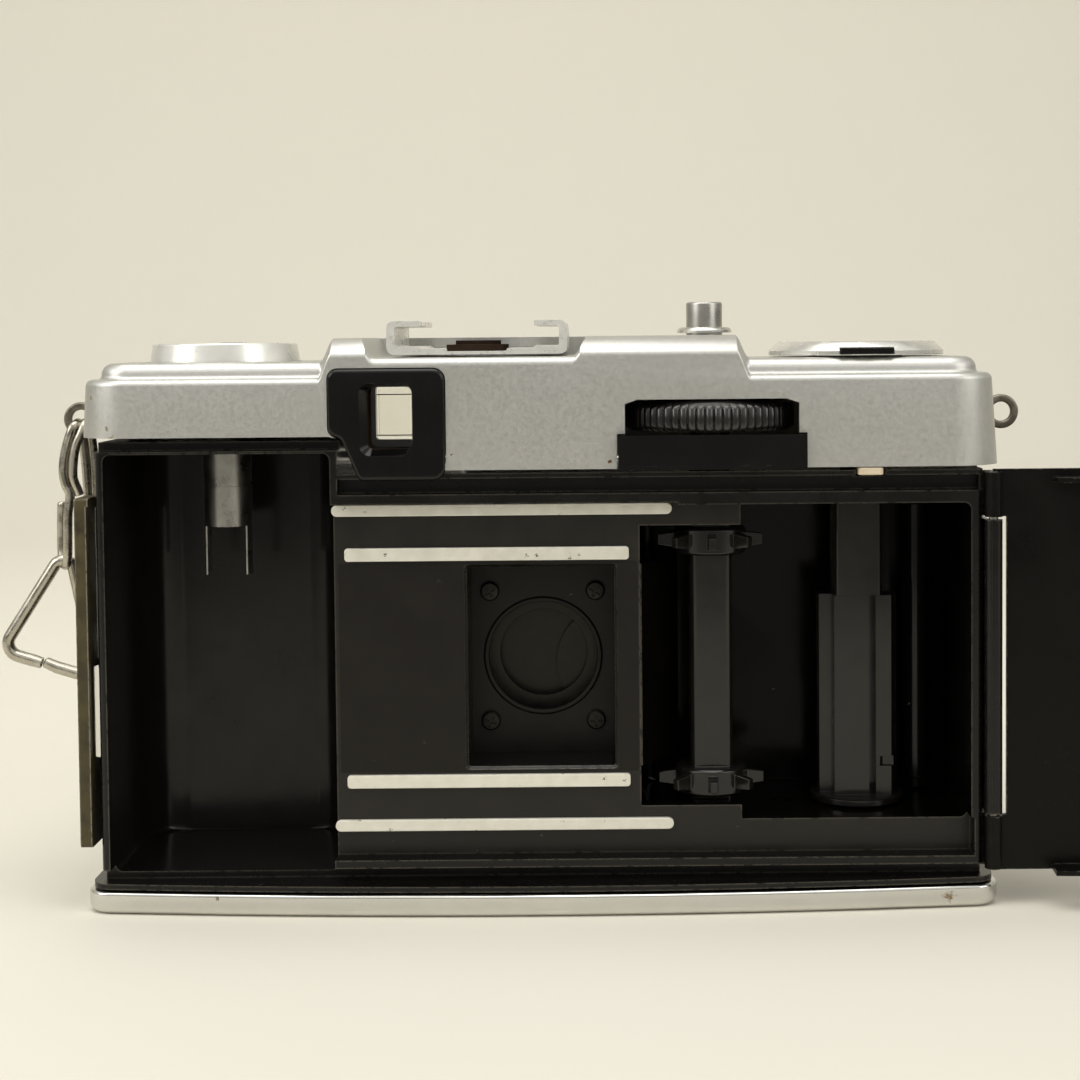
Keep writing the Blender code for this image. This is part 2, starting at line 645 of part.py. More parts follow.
def make_casting():
    width = (-BODY_HALF_WIDTH, BODY_HALF_WIDTH)
    depth = (RIM_Y, BODY_FRONT_Y)
    low = BASE_FLANGE_Z - BASE_FLANGE_THICK / 2
    plan = rounded(width, depth, CHAMBER_WALL, BODY_CORNER_R)
    casting = prism(plan, low, DECK_Z)
    tower = prism(rounded((-BODY_HALF_WIDTH, TOWER_X), depth, CHAMBER_WALL, CHAMBER_WALL), low, TOWER_TOP_Z)
    trim = prism(rounded((-BODY_HALF_WIDTH, FAR), depth, CHAMBER_WALL, BODY_CORNER_R), -FAR, FAR)
    tower = combine(tower, [trim], "INTERSECT")
    flange = prism(base_outline(BASE_FLANGE_INSET), BASE_FLANGE_Z - BASE_FLANGE_THICK, BASE_FLANGE_Z)
    posts = []
    for z in LATCH_POST_Z:
        reach = (LATCH_X - LATCH_THICK / 2, -BODY_HALF_WIDTH + CHAMBER_WALL / 2)
        y = (LATCH_POST_Y - LATCH_POST / 2, LATCH_POST_Y + LATCH_POST / 2)
        posts.append(box(reach, y, (z - LATCH_POST / 2, z + LATCH_POST / 2)))
    fuse(casting, tower, flange, *posts)

    cartridge = rounded((-BODY_HALF_WIDTH + CHAMBER_WALL, CARTRIDGE_X), (-FAR, CHAMBER_FRONT_Y),
                        GAP, CHAMBER_CORNER_R)
    takeup = rounded((TAKEUP_X, TAKEUP_END_X), (-FAR, CHAMBER_FRONT_Y), GAP, CHAMBER_CORNER_R)
    cuts = [
        prism(cartridge, CARTRIDGE_FLOOR_Z, CARTRIDGE_TOP_Z),
        prism(takeup, TAKEUP_FLOOR_Z, TAKEUP_TOP_Z),
        box((CARTRIDGE_X - GAP, TAKEUP_END_X), (-FAR, PLATE_Y), FILM_RECESS_Z),
        box((-FAR, FAR), (-FAR, GROOVE_Y), (BASE_FLANGE_Z, BASE_FLANGE_Z + BOTTOM_REBATE)),
        box((TOWER_X, FAR), (-FAR, GROOVE_Y), GROOVE_Z),
        box((-FAR, TOWER_X + GAP), (-FAR, GROOVE_Y), (CARTRIDGE_REBATE_Z, FAR)),
        box((RESET_X - RESET_WIDTH / 2 - GAP, RESET_X + RESET_WIDTH / 2 + GAP),
            (-FAR, RESET_REAR_Y + RESET_LENGTH + RESET_TRAVEL + GAP),
            (DECK_Z - RESET_THICK, FAR)),
        cylinder((REWIND_X, 0.0), REWIND_SHAFT_R + SHAFT_CLEAR, CARTRIDGE_TOP_Z - GAP, FAR),
        cylinder((ADVANCE_X, ADVANCE_Y), WHEEL_SHAFT_R + SHAFT_CLEAR, TAKEUP_TOP_Z - GAP, FAR),
        cylinder((SPOOL_X, SPOOL_Y), SPOOL_SHAFT_R + SHAFT_CLEAR, TAKEUP_TOP_Z - GAP, FAR),
        cylinder((RELEASE_X, 0.0), RELEASE_STEM_R + SHAFT_CLEAR, -FAR, TAKEUP_FLOOR_Z + GAP),
    ]
    pins = [(ADVANCE_X, ADVANCE_Y, SPROCKET_PIN_R), (SPOOL_X, SPOOL_Y, SPOOL_SHAFT_R),
            (ROLLER_X, ROLLER_Y, ROLLER_PIN_R)]
    for x, y, radius in pins:
        hole_z = (TAKEUP_FLOOR_Z - PIN_DEPTH - GAP, TAKEUP_FLOOR_Z + GAP)
        cuts.append(cylinder((x, y), radius + SHAFT_CLEAR, *hole_z))
    cuts.append(cylinder((ROLLER_X, ROLLER_Y), ROLLER_PIN_R + SHAFT_CLEAR, TAKEUP_TOP_Z - GAP,
                         TAKEUP_TOP_Z + PIN_DEPTH + GAP))
    cut(casting, *cuts)
    axis = (0.0, LENS_Z)
    boss_y = (LENS_BORE_Y - CHAMBER_WALL, BODY_FRONT_Y - GAP)
    fuse(casting, cylinder(axis, LENS_BORE_R + CHAMBER_WALL, *boss_y, "Y", LENS_SIDES))
    cut(casting, cylinder(axis, LENS_BORE_R, LENS_BORE_Y, FAR, "Y", LENS_SIDES),
        box((-GATE_WIDTH / 2, GATE_WIDTH / 2), (-FAR, LENS_BORE_Y + GAP), GATE_Z))

    rails = []
    for span, width_z, x, ends in ((OUTER_RAIL_SPAN, OUTER_RAIL_WIDTH, OUTER_RAIL_X, 6),
                                   (INNER_RAIL_SPAN, INNER_RAIL_WIDTH, INNER_RAIL_X, 1)):
        for side in (-1, 1):
            z = LENS_Z + side * span / 2
            r = width_z / 2
            left = (x[0] + r, z)
            right = (min(x[1], TAKEUP_X) - r, z)
            outline = arc(left, r, 90, 270, ends + 1) + arc(right, r, 270, 450, ends + 1)
            rails.append(prism(outline, FILM_PLANE_Y, PLATE_Y + RAIL_RISE, "Y"))
    fuse(casting, *rails)
    return finish(casting, BLACK_PAINT, "body_casting")


def cover_levels(inset):
    """Shoulder part of the top cover: an upright wall, a ledge and an inset plateau."""
    x = (-COVER_HALF_WIDTH, COVER_HALF_WIDTH)
    y = (COVER_REAR_Y, COVER_FRONT_Y)
    ledge = COVER_LEDGE_INSET
    edge = COVER_EDGE_R
    levels = [
        (0.0, COVER_LOW_Z), (0.0, COVER_LEDGE_Z - edge), (0.3 * edge, COVER_LEDGE_Z - 0.3 * edge),
        (edge, COVER_LEDGE_Z), (ledge, COVER_LEDGE_Z), (ledge + 0.2 * edge, COVER_SHOULDER_Z - edge),
        (ledge + 0.5 * edge, COVER_SHOULDER_Z - 0.3 * edge), (ledge + 1.2 * edge, COVER_SHOULDER_Z),
    ]
    return x, y, [(d + inset, z) for d, z in levels]


def make_cover():
    x, y, levels = cover_levels(0.0)

    def outline(inset, z):
        return [(u, v, z) for u, v in rounded(x, y, COVER_CORNER_R, BODY_CORNER_R, inset)]

    cover = loft([outline(d, z) for d, z in levels])
    edge = COVER_EDGE_R
    crown = [(0.0, COVER_LEDGE_Z - 2.0 * edge), (0.35 * edge, COVER_TOP_Z - 1.5 * edge),
             (0.8 * edge, COVER_TOP_Z - 0.6 * edge), (1.5 * edge, COVER_TOP_Z - 0.15 * edge),
             (2.6 * edge, COVER_TOP_Z)]
    centre_y = (COVER_REAR_Y + COVER_CENTRE_INSET, COVER_FRONT_Y - COVER_CENTRE_INSET)

    def centre(inset, z):
        plan = rounded(COVER_CENTRE_X, centre_y, 2.0 * edge, 2.0 * edge, inset)
        return [(u, v, z) for u, v in plan]

    fuse(cover, loft([centre(d, z) for d, z in crown]))
    wall = COVER_WALL
    inner = loft([
        outline(wall, COVER_LOW_Z - GAP),
        outline(wall, COVER_LEDGE_Z - wall - edge),
        outline(wall + COVER_LEDGE_INSET + edge, COVER_LEDGE_Z - wall),
        outline(wall + COVER_LEDGE_INSET + edge, COVER_SHOULDER_Z - wall),
    ])
    inner_centre = loft([
        centre(wall, COVER_LEDGE_Z - 3.0 * edge),
        centre(wall + 0.5 * edge, COVER_TOP_Z - wall - edge),
        centre(wall + 1.8 * edge, COVER_TOP_Z - wall),
    ])
    pad_x = (SHOE_X - SHOE_WIDTH / 2 - 2.0 * wall, SHOE_X + SHOE_WIDTH / 2 + 2.0 * wall)
    pad = box(pad_x, (-FAR, SHOE_LENGTH), (SHOE_FLOOR_Z - wall, FAR))
    cut(inner_centre, pad)
    cut(cover, inner, inner_centre)
    notch = EYEPIECE_NOTCH
    step = [(-FAR, -FAR), (notch[2][0], -FAR), notch[2], notch[1],
            (notch[0][0], COVER_STEP_Z), (-FAR, COVER_STEP_Z)]
    shoe_y = (-FAR, SHOE_LENGTH / 2 + SHOE_CLEARANCE)
    shoe_half = SHOE_WIDTH / 2 + SHOE_CLEARANCE
    left, right = GUARD_X[0] - GAP, GUARD_X[1] + GAP
    corner = 2.0 * WHEEL_BEVEL
    opening = [(left, -FAR), (right, -FAR), (right, WHEEL_Z[1] - WHEEL_BEVEL),
               (GUARD_X[1] - corner, WHEEL_Z[1] + GAP), (GUARD_X[0] + corner, WHEEL_Z[1] + GAP),
               (left, WHEEL_Z[1] - WHEEL_BEVEL)]
    front_window = [(FINDER_FRONT_X[0], FINDER_FRONT_Z[0]), (FINDER_FRONT_X[1], FINDER_FRONT_Z[0]),
                    (FINDER_FRONT_X[1], FINDER_FRONT_Z[1]), (FINDER_FRONT_X[0], FINDER_FRONT_Z[1])]
    bezel = grown(front_window, FINDER_BEZEL_MARGIN + GAP)
    cut(
        cover,
        prism(step, -FAR, COVER_REAR_Y + COVER_STEP_DEPTH, "Y"),
        prism(grown(EYEPIECE_OUTLINE, GAP), -FAR, COVER_REAR_Y + 2.0 * wall, "Y"),
        prism(bezel, COVER_FRONT_Y - 2.0 * wall, FAR, "Y"),
        prism(opening, -FAR, COVER_REAR_Y + 2.0 * wall, "Y"),
        box((SHOE_X - shoe_half, SHOE_X + shoe_half), shoe_y, (SHOE_FLOOR_Z, FAR)),
        cylinder((REWIND_X, 0.0), KNOB_R + GAP, COVER_LEDGE_Z - 2.0 * edge, FAR, "Z", KNOB_SIDES),
        cylinder((BUTTON_X, 0.0), BUTTON_R + RUN_CLEARANCE, COVER_SHOULDER_Z, FAR),
        cylinder((SPOOL_X, SPOOL_Y), COUNTER_WINDOW_R + GAP, COVER_LEDGE_Z, FAR, "Z", 24),
    )
    return finish(cover, SATIN_CHROME, "top_cover")


def make_bottom_plate():
    edge = BASE_EDGE_R
    levels = [(edge, 0.0), (0.3 * edge, 0.3 * edge), (0.0, edge), (0.0, BASE_HEIGHT - 0.4 * edge),
              (0.4 * edge, BASE_HEIGHT)]
    plate = loft([[(u, v, z) for u, v in base_outline(d)] for d, z in levels])
    cut(
        plate,
        prism(base_outline(BASE_RIM), BASE_FLOOR, FAR),
        cylinder((TRIPOD_X, 0.0), TRIPOD_OUTER_R + GAP, -FAR, FAR),
        cylinder((RELEASE_X, 0.0), RELEASE_R + RUN_CLEARANCE, -FAR, FAR),
    )
    finish(plate, SATIN_CHROME, "bottom_plate")
    top = BASE_FLANGE_Z - BASE_FLANGE_THICK - GAP
    socket = turned([(TRIPOD_OUTER_R, BASE_FLOOR), (TRIPOD_OUTER_R, 0.0), (TRIPOD_BORE_R, 0.0),
                     (TRIPOD_BORE_R, top), (TRIPOD_OUTER_R + TRIPOD_FLANGE, top),
                     (TRIPOD_OUTER_R + TRIPOD_FLANGE, BASE_FLOOR + GAP), (TRIPOD_OUTER_R, BASE_FLOOR + GAP)],
                    (TRIPOD_X, 0.0), "Z", 20)
    finish(socket, BRIGHT_STEEL, "tripod_socket")
    shoulder = RELEASE_R + RUN_CLEARANCE + RELEASE_SHOULDER
    tip = TAKEUP_FLOOR_Z - RELEASE_TRAVEL - GAP
    button = turned([(0.0, tip), (RELEASE_STEM_R, tip),
                     (RELEASE_STEM_R, top - RELEASE_TRAVEL), (shoulder, top - RELEASE_TRAVEL),
                     (shoulder, BASE_FLOOR + GAP), (RELEASE_R, BASE_FLOOR + GAP),
                     (RELEASE_R, GAP), (0.0, GAP)], (RELEASE_X, 0.0), "Z", 20)
    finish(button, BRIGHT_STEEL, "rewind_release_button")


def make_front_leather():
    outline = (-BODY_HALF_WIDTH, BODY_HALF_WIDTH), (RIM_Y, BODY_FRONT_Y)
    low = BASE_FLANGE_Z + GAP
    high = COVER_LOW_Z - GAP
    sheet = prism(rounded(*outline, CHAMBER_WALL, BODY_CORNER_R, -GAP - LEATHER_THICK), low, high)
    back = HINGE_Y + HINGE_LEAF_DEPTH + GAP
    cut(
        sheet,
        prism(rounded(*outline, CHAMBER_WALL, BODY_CORNER_R, -GAP), -FAR, FAR),
        box((-FAR, FAR), (-FAR, max(back, LATCH_Y[1] + GAP)), (-FAR, FAR)),
        cylinder((0.0, LENS_Z), LENS_BORE_R, 0.0, FAR, "Y", LENS_SIDES),
        cylinder((SYNC_X, SYNC_Z), SYNC_R + GAP, 0.0, FAR, "Y"),
    )
    finish(sheet, LEATHERETTE, "front_leather")
    y = BODY_FRONT_Y + GAP
    socket = turned([(SYNC_R, y + SYNC_LENGTH), (SYNC_R, y), (0.0, y), (0.0, y + SYNC_LENGTH / 2),
                     (SYNC_R / 2, y + SYNC_LENGTH / 2), (SYNC_R / 2, y + SYNC_LENGTH)],
                    (SYNC_X, SYNC_Z), "Y", 20)
    finish(socket, BRIGHT_STEEL, "sync_socket")


def make_finder():
    frame = prism(EYEPIECE_OUTLINE, EYEPIECE_Y[0], EYEPIECE_Y[1], "Y")
    window = [(FINDER_WINDOW_X[0], FINDER_WINDOW_Z[0]), (FINDER_WINDOW_X[1], FINDER_WINDOW_Z[0]),
              (FINDER_WINDOW_X[1], FINDER_WINDOW_Z[1]), (FINDER_WINDOW_X[0], FINDER_WINDOW_Z[1])]
    cut(frame, prism(window, -FAR, 0.0, "Y"))
    finish(frame, BLACK_PLASTIC, "eyepiece_frame")
    glass = prism(grown(window, -GAP), EYE_GLASS_Y, EYE_GLASS_Y + GLASS_THICK, "Y")
    finish(glass, CLEAR_GLASS, "eyepiece_glass")
    front = [(FINDER_FRONT_X[0], FINDER_FRONT_Z[0]), (FINDER_FRONT_X[1], FINDER_FRONT_Z[0]),
             (FINDER_FRONT_X[1], FINDER_FRONT_Z[1]), (FINDER_FRONT_X[0], FINDER_FRONT_Z[1])]
    y = COVER_FRONT_Y - FINDER_BEZEL_DEPTH + FINDER_BEZEL_PROUD
    bezel = prism(grown(front, FINDER_BEZEL_MARGIN), y, y + FINDER_BEZEL_DEPTH, "Y")
    cut(bezel, prism(front, 0.0, FAR, "Y"))
    finish(bezel, BLACK_PLASTIC, "finder_front_bezel")
    objective = prism(grown(front, -GAP), y + GLASS_THICK / 2, y + 1.5 * GLASS_THICK, "Y")
    finish(objective, CLEAR_GLASS, "finder_front_glass")


def make_shoe():
    low = SHOE_FLOOR_Z + GAP
    sheet = SHOE_SHEET
    half = SHOE_WIDTH / 2
    open_half = SHOE_OPENING / 2
    top = low + 2.0 * sheet + SHOE_SLOT
    outline = [(-half, low), (half, low), (half, top), (open_half, top), (open_half, top - sheet),
               (half - sheet, top - sheet), (half - sheet, low + sheet), (-half + sheet, low + sheet),
               (-half + sheet, top - sheet), (-open_half, top - sheet), (-open_half, top), (-half, top)]
    y = (-SHOE_LENGTH / 2, SHOE_LENGTH / 2)
    shoe = prism([(SHOE_X + u, v) for u, v in outline], y[0], y[1], "Y")
    width, length, thick = INSULATOR_SIZE
    pocket = box((SHOE_X - width / 2 - GAP, SHOE_X + width / 2 + GAP),
                 (-length / 2 - GAP, length / 2 + GAP), (low + sheet / 2, low + sheet + SHOE_SLOT / 2))
    cut(shoe, pocket)
    finish(shoe, SATIN_CHROME, "accessory_shoe")
    base = low + sheet / 2 + GAP
    insulator = box((SHOE_X - width / 2, SHOE_X + width / 2), (-length / 2, length / 2), (base, base + thick))
    cut(insulator, cylinder((SHOE_X, 0.0), CONTACT_R + GAP, base + thick / 2, FAR))
    finish(insulator, BLACK_PLASTIC, "shoe_insulator")
    foot = base + thick / 2 + GAP
    contact = cylinder((SHOE_X, 0.0), CONTACT_R, foot, base + thick - CONTACT_SINK, "Z", 16)
    finish(contact, BRIGHT_STEEL, "shoe_contact")


def make_button():
    low = BUTTON_TOP_Z - BUTTON_LENGTH
    stop = COVER_TOP_Z - COVER_WALL - GAP
    button = turned([(0.0, BUTTON_TOP_Z), (BUTTON_R - BUTTON_CHAMFER, BUTTON_TOP_Z),
                     (BUTTON_R, BUTTON_TOP_Z - BUTTON_CHAMFER), (BUTTON_R, stop), (BUTTON_STOP_R, stop),
                     (BUTTON_STOP_R, low), (0.0, low)],
                    (BUTTON_X, 0.0), "Z", 20)
    finish(button, BRIGHT_STEEL, "shutter_button")
    z = COVER_TOP_Z + GAP
    collar = ring((BUTTON_X, 0.0), BUTTON_R + RUN_CLEARANCE, COLLAR_R, z, z + COLLAR_THICK, "Z", 20)
    finish(collar, BRIGHT_STEEL, "button_collar")


def make_rewind():
    centre = (REWIND_X, 0.0)
    low = KNOB_LOW_Z
    knob = turned([(0.0, KNOB_TOP_Z), (KNOB_TOP_R - KNOB_CHAMFER, KNOB_TOP_Z),
                   (KNOB_TOP_R, KNOB_TOP_Z - KNOB_CHAMFER), (KNOB_R, COVER_SHOULDER_Z + KNOB_BAND),
                   (KNOB_R, low), (0.0, low)], centre, "Z", KNOB_SIDES)
    half = CRANK_WIDTH / 2 + GAP
    side_x = (REWIND_X - half, REWIND_X + half)
    slot_z = KNOB_TOP_Z - CRANK_THICK - GAP
    pivot = (CRANK_PIVOT, KNOB_TOP_Z - CRANK_THICK / 2)
    end_y = CRANK_PIVOT - CRANK_REACH
    handle = (REWIND_X, end_y + CRANK_WIDTH / 2)
    barrel = CRANK_BARREL_R + GAP
    cut(
        knob,
        box(side_x, (end_y - GAP, FAR), (slot_z, FAR)),
        box(side_x, (pivot[0] - barrel, FAR), (pivot[1] - barrel, FAR)),
        cylinder(handle, HANDLE_R + GAP, slot_z - HANDLE_HEIGHT - GAP, FAR),
    )
    fuse(knob, cylinder(pivot, CRANK_PIN_R, side_x[0] - GAP, side_x[1] + GAP, "X", 12))
    finish(knob, SATIN_CHROME, "rewind_knob")

    wide = CRANK_WIDTH / 2
    bar_x = (REWIND_X - wide, REWIND_X + wide)
    tip = arc(handle, wide, 180, 360, 8)
    plan = [*tip, (bar_x[1], CRANK_PIVOT), (bar_x[0], CRANK_PIVOT)]
    crank = prism(plan, KNOB_TOP_Z - CRANK_THICK, KNOB_TOP_Z)
    fuse(crank, cylinder(pivot, CRANK_BARREL_R, bar_x[0], bar_x[1], "X"))
    cut(crank, cylinder(pivot, CRANK_PIN_R + STUD_CLEARANCE, -FAR, FAR, "X", 12),
        cylinder(handle, HANDLE_R / 2 + STUD_CLEARANCE, -FAR, FAR))
    finish(crank, BRIGHT_STEEL, "rewind_crank")
    under = KNOB_TOP_Z - CRANK_THICK - GAP / 2
    grip = turned([(0.0, KNOB_TOP_Z), (HANDLE_R / 2, KNOB_TOP_Z), (HANDLE_R / 2, under), (HANDLE_R, under),
                   (HANDLE_R, under - HANDLE_HEIGHT), (0.0, under - HANDLE_HEIGHT)], handle, "Z", 16)
    finish(grip, BRIGHT_STEEL, "crank_handle")

    washer_z = low - GAP
    washer = ring(centre, REWIND_SHAFT_R + GAP, WASHER_R, washer_z - WASHER_THICK, washer_z)
    finish(washer, BRASS, "rewind_washer")
    shaft = cylinder(centre, REWIND_SHAFT_R, FORK_Z, low - GAP, "Z", 20)
    slot = REWIND_SHAFT_R - FORK_THICK
    cut(shaft, box((REWIND_X - slot, REWIND_X + slot), (-FAR, FAR), (-FAR, REWIND_SHAFT_Z)),
        box((-FAR, FAR), (-FAR, -2.0 * FORK_THICK), (-FAR, REWIND_SHAFT_Z)),
        box((-FAR, FAR), (2.0 * FORK_THICK, FAR), (-FAR, REWIND_SHAFT_Z)))
    finish(shaft, BRIGHT_STEEL, "rewind_shaft")


def make_advance():
    centre = (ADVANCE_X, ADVANCE_Y)
    count = 2 * WHEEL_RIDGES
    plans = []
    for inset, z in ((0.0, WHEEL_Z[0]), (0.0, WHEEL_Z[1] - WHEEL_BEVEL), (1.6 * WHEEL_BEVEL, WHEEL_Z[1])):
        outline = []
        for i in range(count):
            a = 2.0 * math.pi * i / count
            groove = WHEEL_RIDGE_DEPTH if i % 2 and inset == 0.0 else 0.0
            r = WHEEL_R - groove - inset
            outline.append((centre[0] + r * math.cos(a), centre[1] + r * math.sin(a), z))
        plans.append(outline)
    wheel = loft(plans)
    fuse(wheel, cylinder(centre, WHEEL_SHAFT_R, TAKEUP_TOP_Z + GAP, WHEEL_Z[0] + WHEEL_BEVEL))
    finish(wheel, BLACK_PLASTIC, "advance_wheel")

    aim = math.degrees(math.atan2(SPOOL_Y - ADVANCE_Y, SPOOL_X - ADVANCE_X))
    drive = involute_gear(centre, GEAR_MODULE, DRIVE_TEETH, GEAR_Z[0], GEAR_Z[1], WHEEL_SHAFT_R + GAP, aim)
    finish(drive, BRASS, "drive_gear")
    facing = aim + 180.0 + 180.0 / SPOOL_TEETH
    gear = involute_gear((SPOOL_X, SPOOL_Y), GEAR_MODULE, SPOOL_TEETH, GEAR_Z[0], GEAR_Z[1],
                         SPOOL_SHAFT_R + GAP, facing)
    finish(gear, BRASS, "spool_gear")

    z = (DECK_Z + GAP, GUARD_TOP_Z)
    guard = box(GUARD_X, (GUARD_Y, GUARD_Y + GUARD_PLATE), z)
    fuse(guard, box((GUARD_X[0], GUARD_X[0] + GUARD_CHEEK), (GUARD_Y, GUARD_CHEEK_Y), z),
         box((GUARD_X[1] - GUARD_CHEEK, GUARD_X[1]), (GUARD_Y, GUARD_CHEEK_Y), z))
    finish(guard, BLACK_PLASTIC, "wheel_guard")


def sprocket_wheel(z):
    """Hub and toothed disc of one sprocket wheel, centred on z."""
    centre = (ADVANCE_X, ADVANCE_Y)
    hub = cylinder(centre, SPROCKET_HUB_R, z - SPROCKET_HUB_HEIGHT / 2, z + SPROCKET_HUB_HEIGHT / 2)
    points = []
    pitch = 360.0 / SPROCKET_TEETH
    for k in range(SPROCKET_TEETH):
        for part, radius in ((-0.5, SPROCKET_ROOT_R), (-0.2, SPROCKET_ROOT_R), (-0.1, SPROCKET_TIP_R),
                             (0.1, SPROCKET_TIP_R), (0.2, SPROCKET_ROOT_R)):
            a = math.radians(pitch * (k + part))
            points.append((centre[0] + radius * math.cos(a), centre[1] + radius * math.sin(a)))
    return hub, prism(points, z - SPROCKET_DISC / 2, z + SPROCKET_DISC / 2)


def make_film_drive():
    centre = (ADVANCE_X, ADVANCE_Y)
    low = TAKEUP_FLOOR_Z
    floor = low + GAP
    roof = TAKEUP_TOP_Z - GAP
    foot = low - PIN_DEPTH
    sprocket = turned([(0.0, roof), (SPROCKET_SHAFT_R, roof), (SPROCKET_SHAFT_R, floor),
                       (SPROCKET_PIN_R, floor), (SPROCKET_PIN_R, foot), (0.0, foot)], centre, "Z", 20)
    wheels = []
    for side in (-1, 1):
        wheels += sprocket_wheel(LENS_Z + side * PERFORATION_SPAN / 2)
    finish(fuse(sprocket, *wheels), BLACK_PLASTIC, "film_sprocket")

    spot = (SPOOL_X, SPOOL_Y)
    tip = GEAR_Z[1] + SPOOL_SHAFT_RISE
    flange = floor + SPOOL_FLANGE
    spool = turned([(0.0, tip), (SPOOL_SHAFT_R, tip), (SPOOL_SHAFT_R, roof), (SPOOL_NECK_R, roof),
                    (SPOOL_NECK_R, SPOOL_STEP_Z), (SPOOL_R, SPOOL_STEP_Z), (SPOOL_R, flange),
                    (SPOOL_FLANGE_R, flange), (SPOOL_FLANGE_R, floor), (SPOOL_SHAFT_R, floor),
                    (SPOOL_SHAFT_R, foot), (0.0, foot)], spot, "Z", 20)
    slots = []
    for k in range(SPOOL_SLOTS):
        slot = box((SPOOL_X + SPOOL_NECK_R, SPOOL_X + 2.0 * SPOOL_R),
                   (SPOOL_Y - SPOOL_SLOT / 2, SPOOL_Y + SPOOL_SLOT / 2), SPOOL_SLOT_Z)
        about = Matrix.Translation((*spot, 0.0))
        turn = Matrix.Rotation(math.radians(SPOOL_SLOT_TURN_DEG + 360.0 * k / SPOOL_SLOTS), 4, "Z")
        slot.data.transform(about @ turn @ about.inverted())
        slots.append(slot)
    finish(cut(spool, *slots), BLACK_PLASTIC, "take_up_spool")

    top = TAKEUP_TOP_Z + PIN_DEPTH
    roller = turned([(0.0, top), (ROLLER_PIN_R, top), (ROLLER_PIN_R, roof), (ROLLER_R, roof),
                     (ROLLER_R, floor), (ROLLER_PIN_R, floor), (ROLLER_PIN_R, foot), (0.0, foot)],
                    (ROLLER_X, ROLLER_Y), "Z", 16)
    finish(roller, DARK_STEEL, "film_guide_roller")


def make_counter():
    spot = (SPOOL_X, SPOOL_Y)
    low = COVER_SHOULDER_Z + GAP
    opening = COUNTER_WINDOW_R
    bezel = turned([(COUNTER_TOP_R, COUNTER_TOP_Z), (COUNTER_R, COUNTER_TOP_Z - COUNTER_BEVEL),
                    (COUNTER_R, low), (opening, low), (opening, COUNTER_TOP_Z)], spot, "Z", KNOB_SIDES)
    half = COUNTER_TAB_WIDTH / 2
    tab_low = low + COUNTER_TAB_RISE
    cut(bezel, box((SPOOL_X - half, SPOOL_X + half), (-FAR, SPOOL_Y), (tab_low, FAR)))
    finish(bezel, SATIN_CHROME, "counter_bezel")
    top = COUNTER_TOP_Z - GAP
    window = cylinder(spot, opening - GAP, top - COUNTER_GLASS, top, "Z", 24)
    tab = [(SPOOL_X - half + GAP, SPOOL_Y), (SPOOL_X - half + GAP, SPOOL_Y - COUNTER_TOP_R),
           (SPOOL_X + half - GAP, SPOOL_Y - COUNTER_TOP_R), (SPOOL_X + half - GAP, SPOOL_Y)]
    fuse(window, prism(tab, top - COUNTER_GLASS, top))
    finish(window, CLEAR_GLASS, "counter_window")
    dial_top = top - COUNTER_GLASS - GAP
    dial_low = dial_top - COUNTER_DIAL_THICK
    dial_r = opening - 2.0 * GAP
    shaft_low = dial_low - COUNTER_SHAFT_LENGTH
    dial = turned([(0.0, dial_top), (dial_r, dial_top), (dial_r, dial_low), (COUNTER_SHAFT_R, dial_low),
                   (COUNTER_SHAFT_R, shaft_low), (0.0, shaft_low)], spot, "Z", 24)
    finish(dial, BLACK_PLASTIC, "counter_dial")
    z = DECK_Z - RESET_THICK + GAP
    pin = box((RESET_X - RESET_WIDTH / 2, RESET_X + RESET_WIDTH / 2),
              (RESET_REAR_Y, RESET_REAR_Y + RESET_LENGTH), (z, z + RESET_THICK))
    finish(pin, CREAM_PLASTIC, "counter_reset_pin")


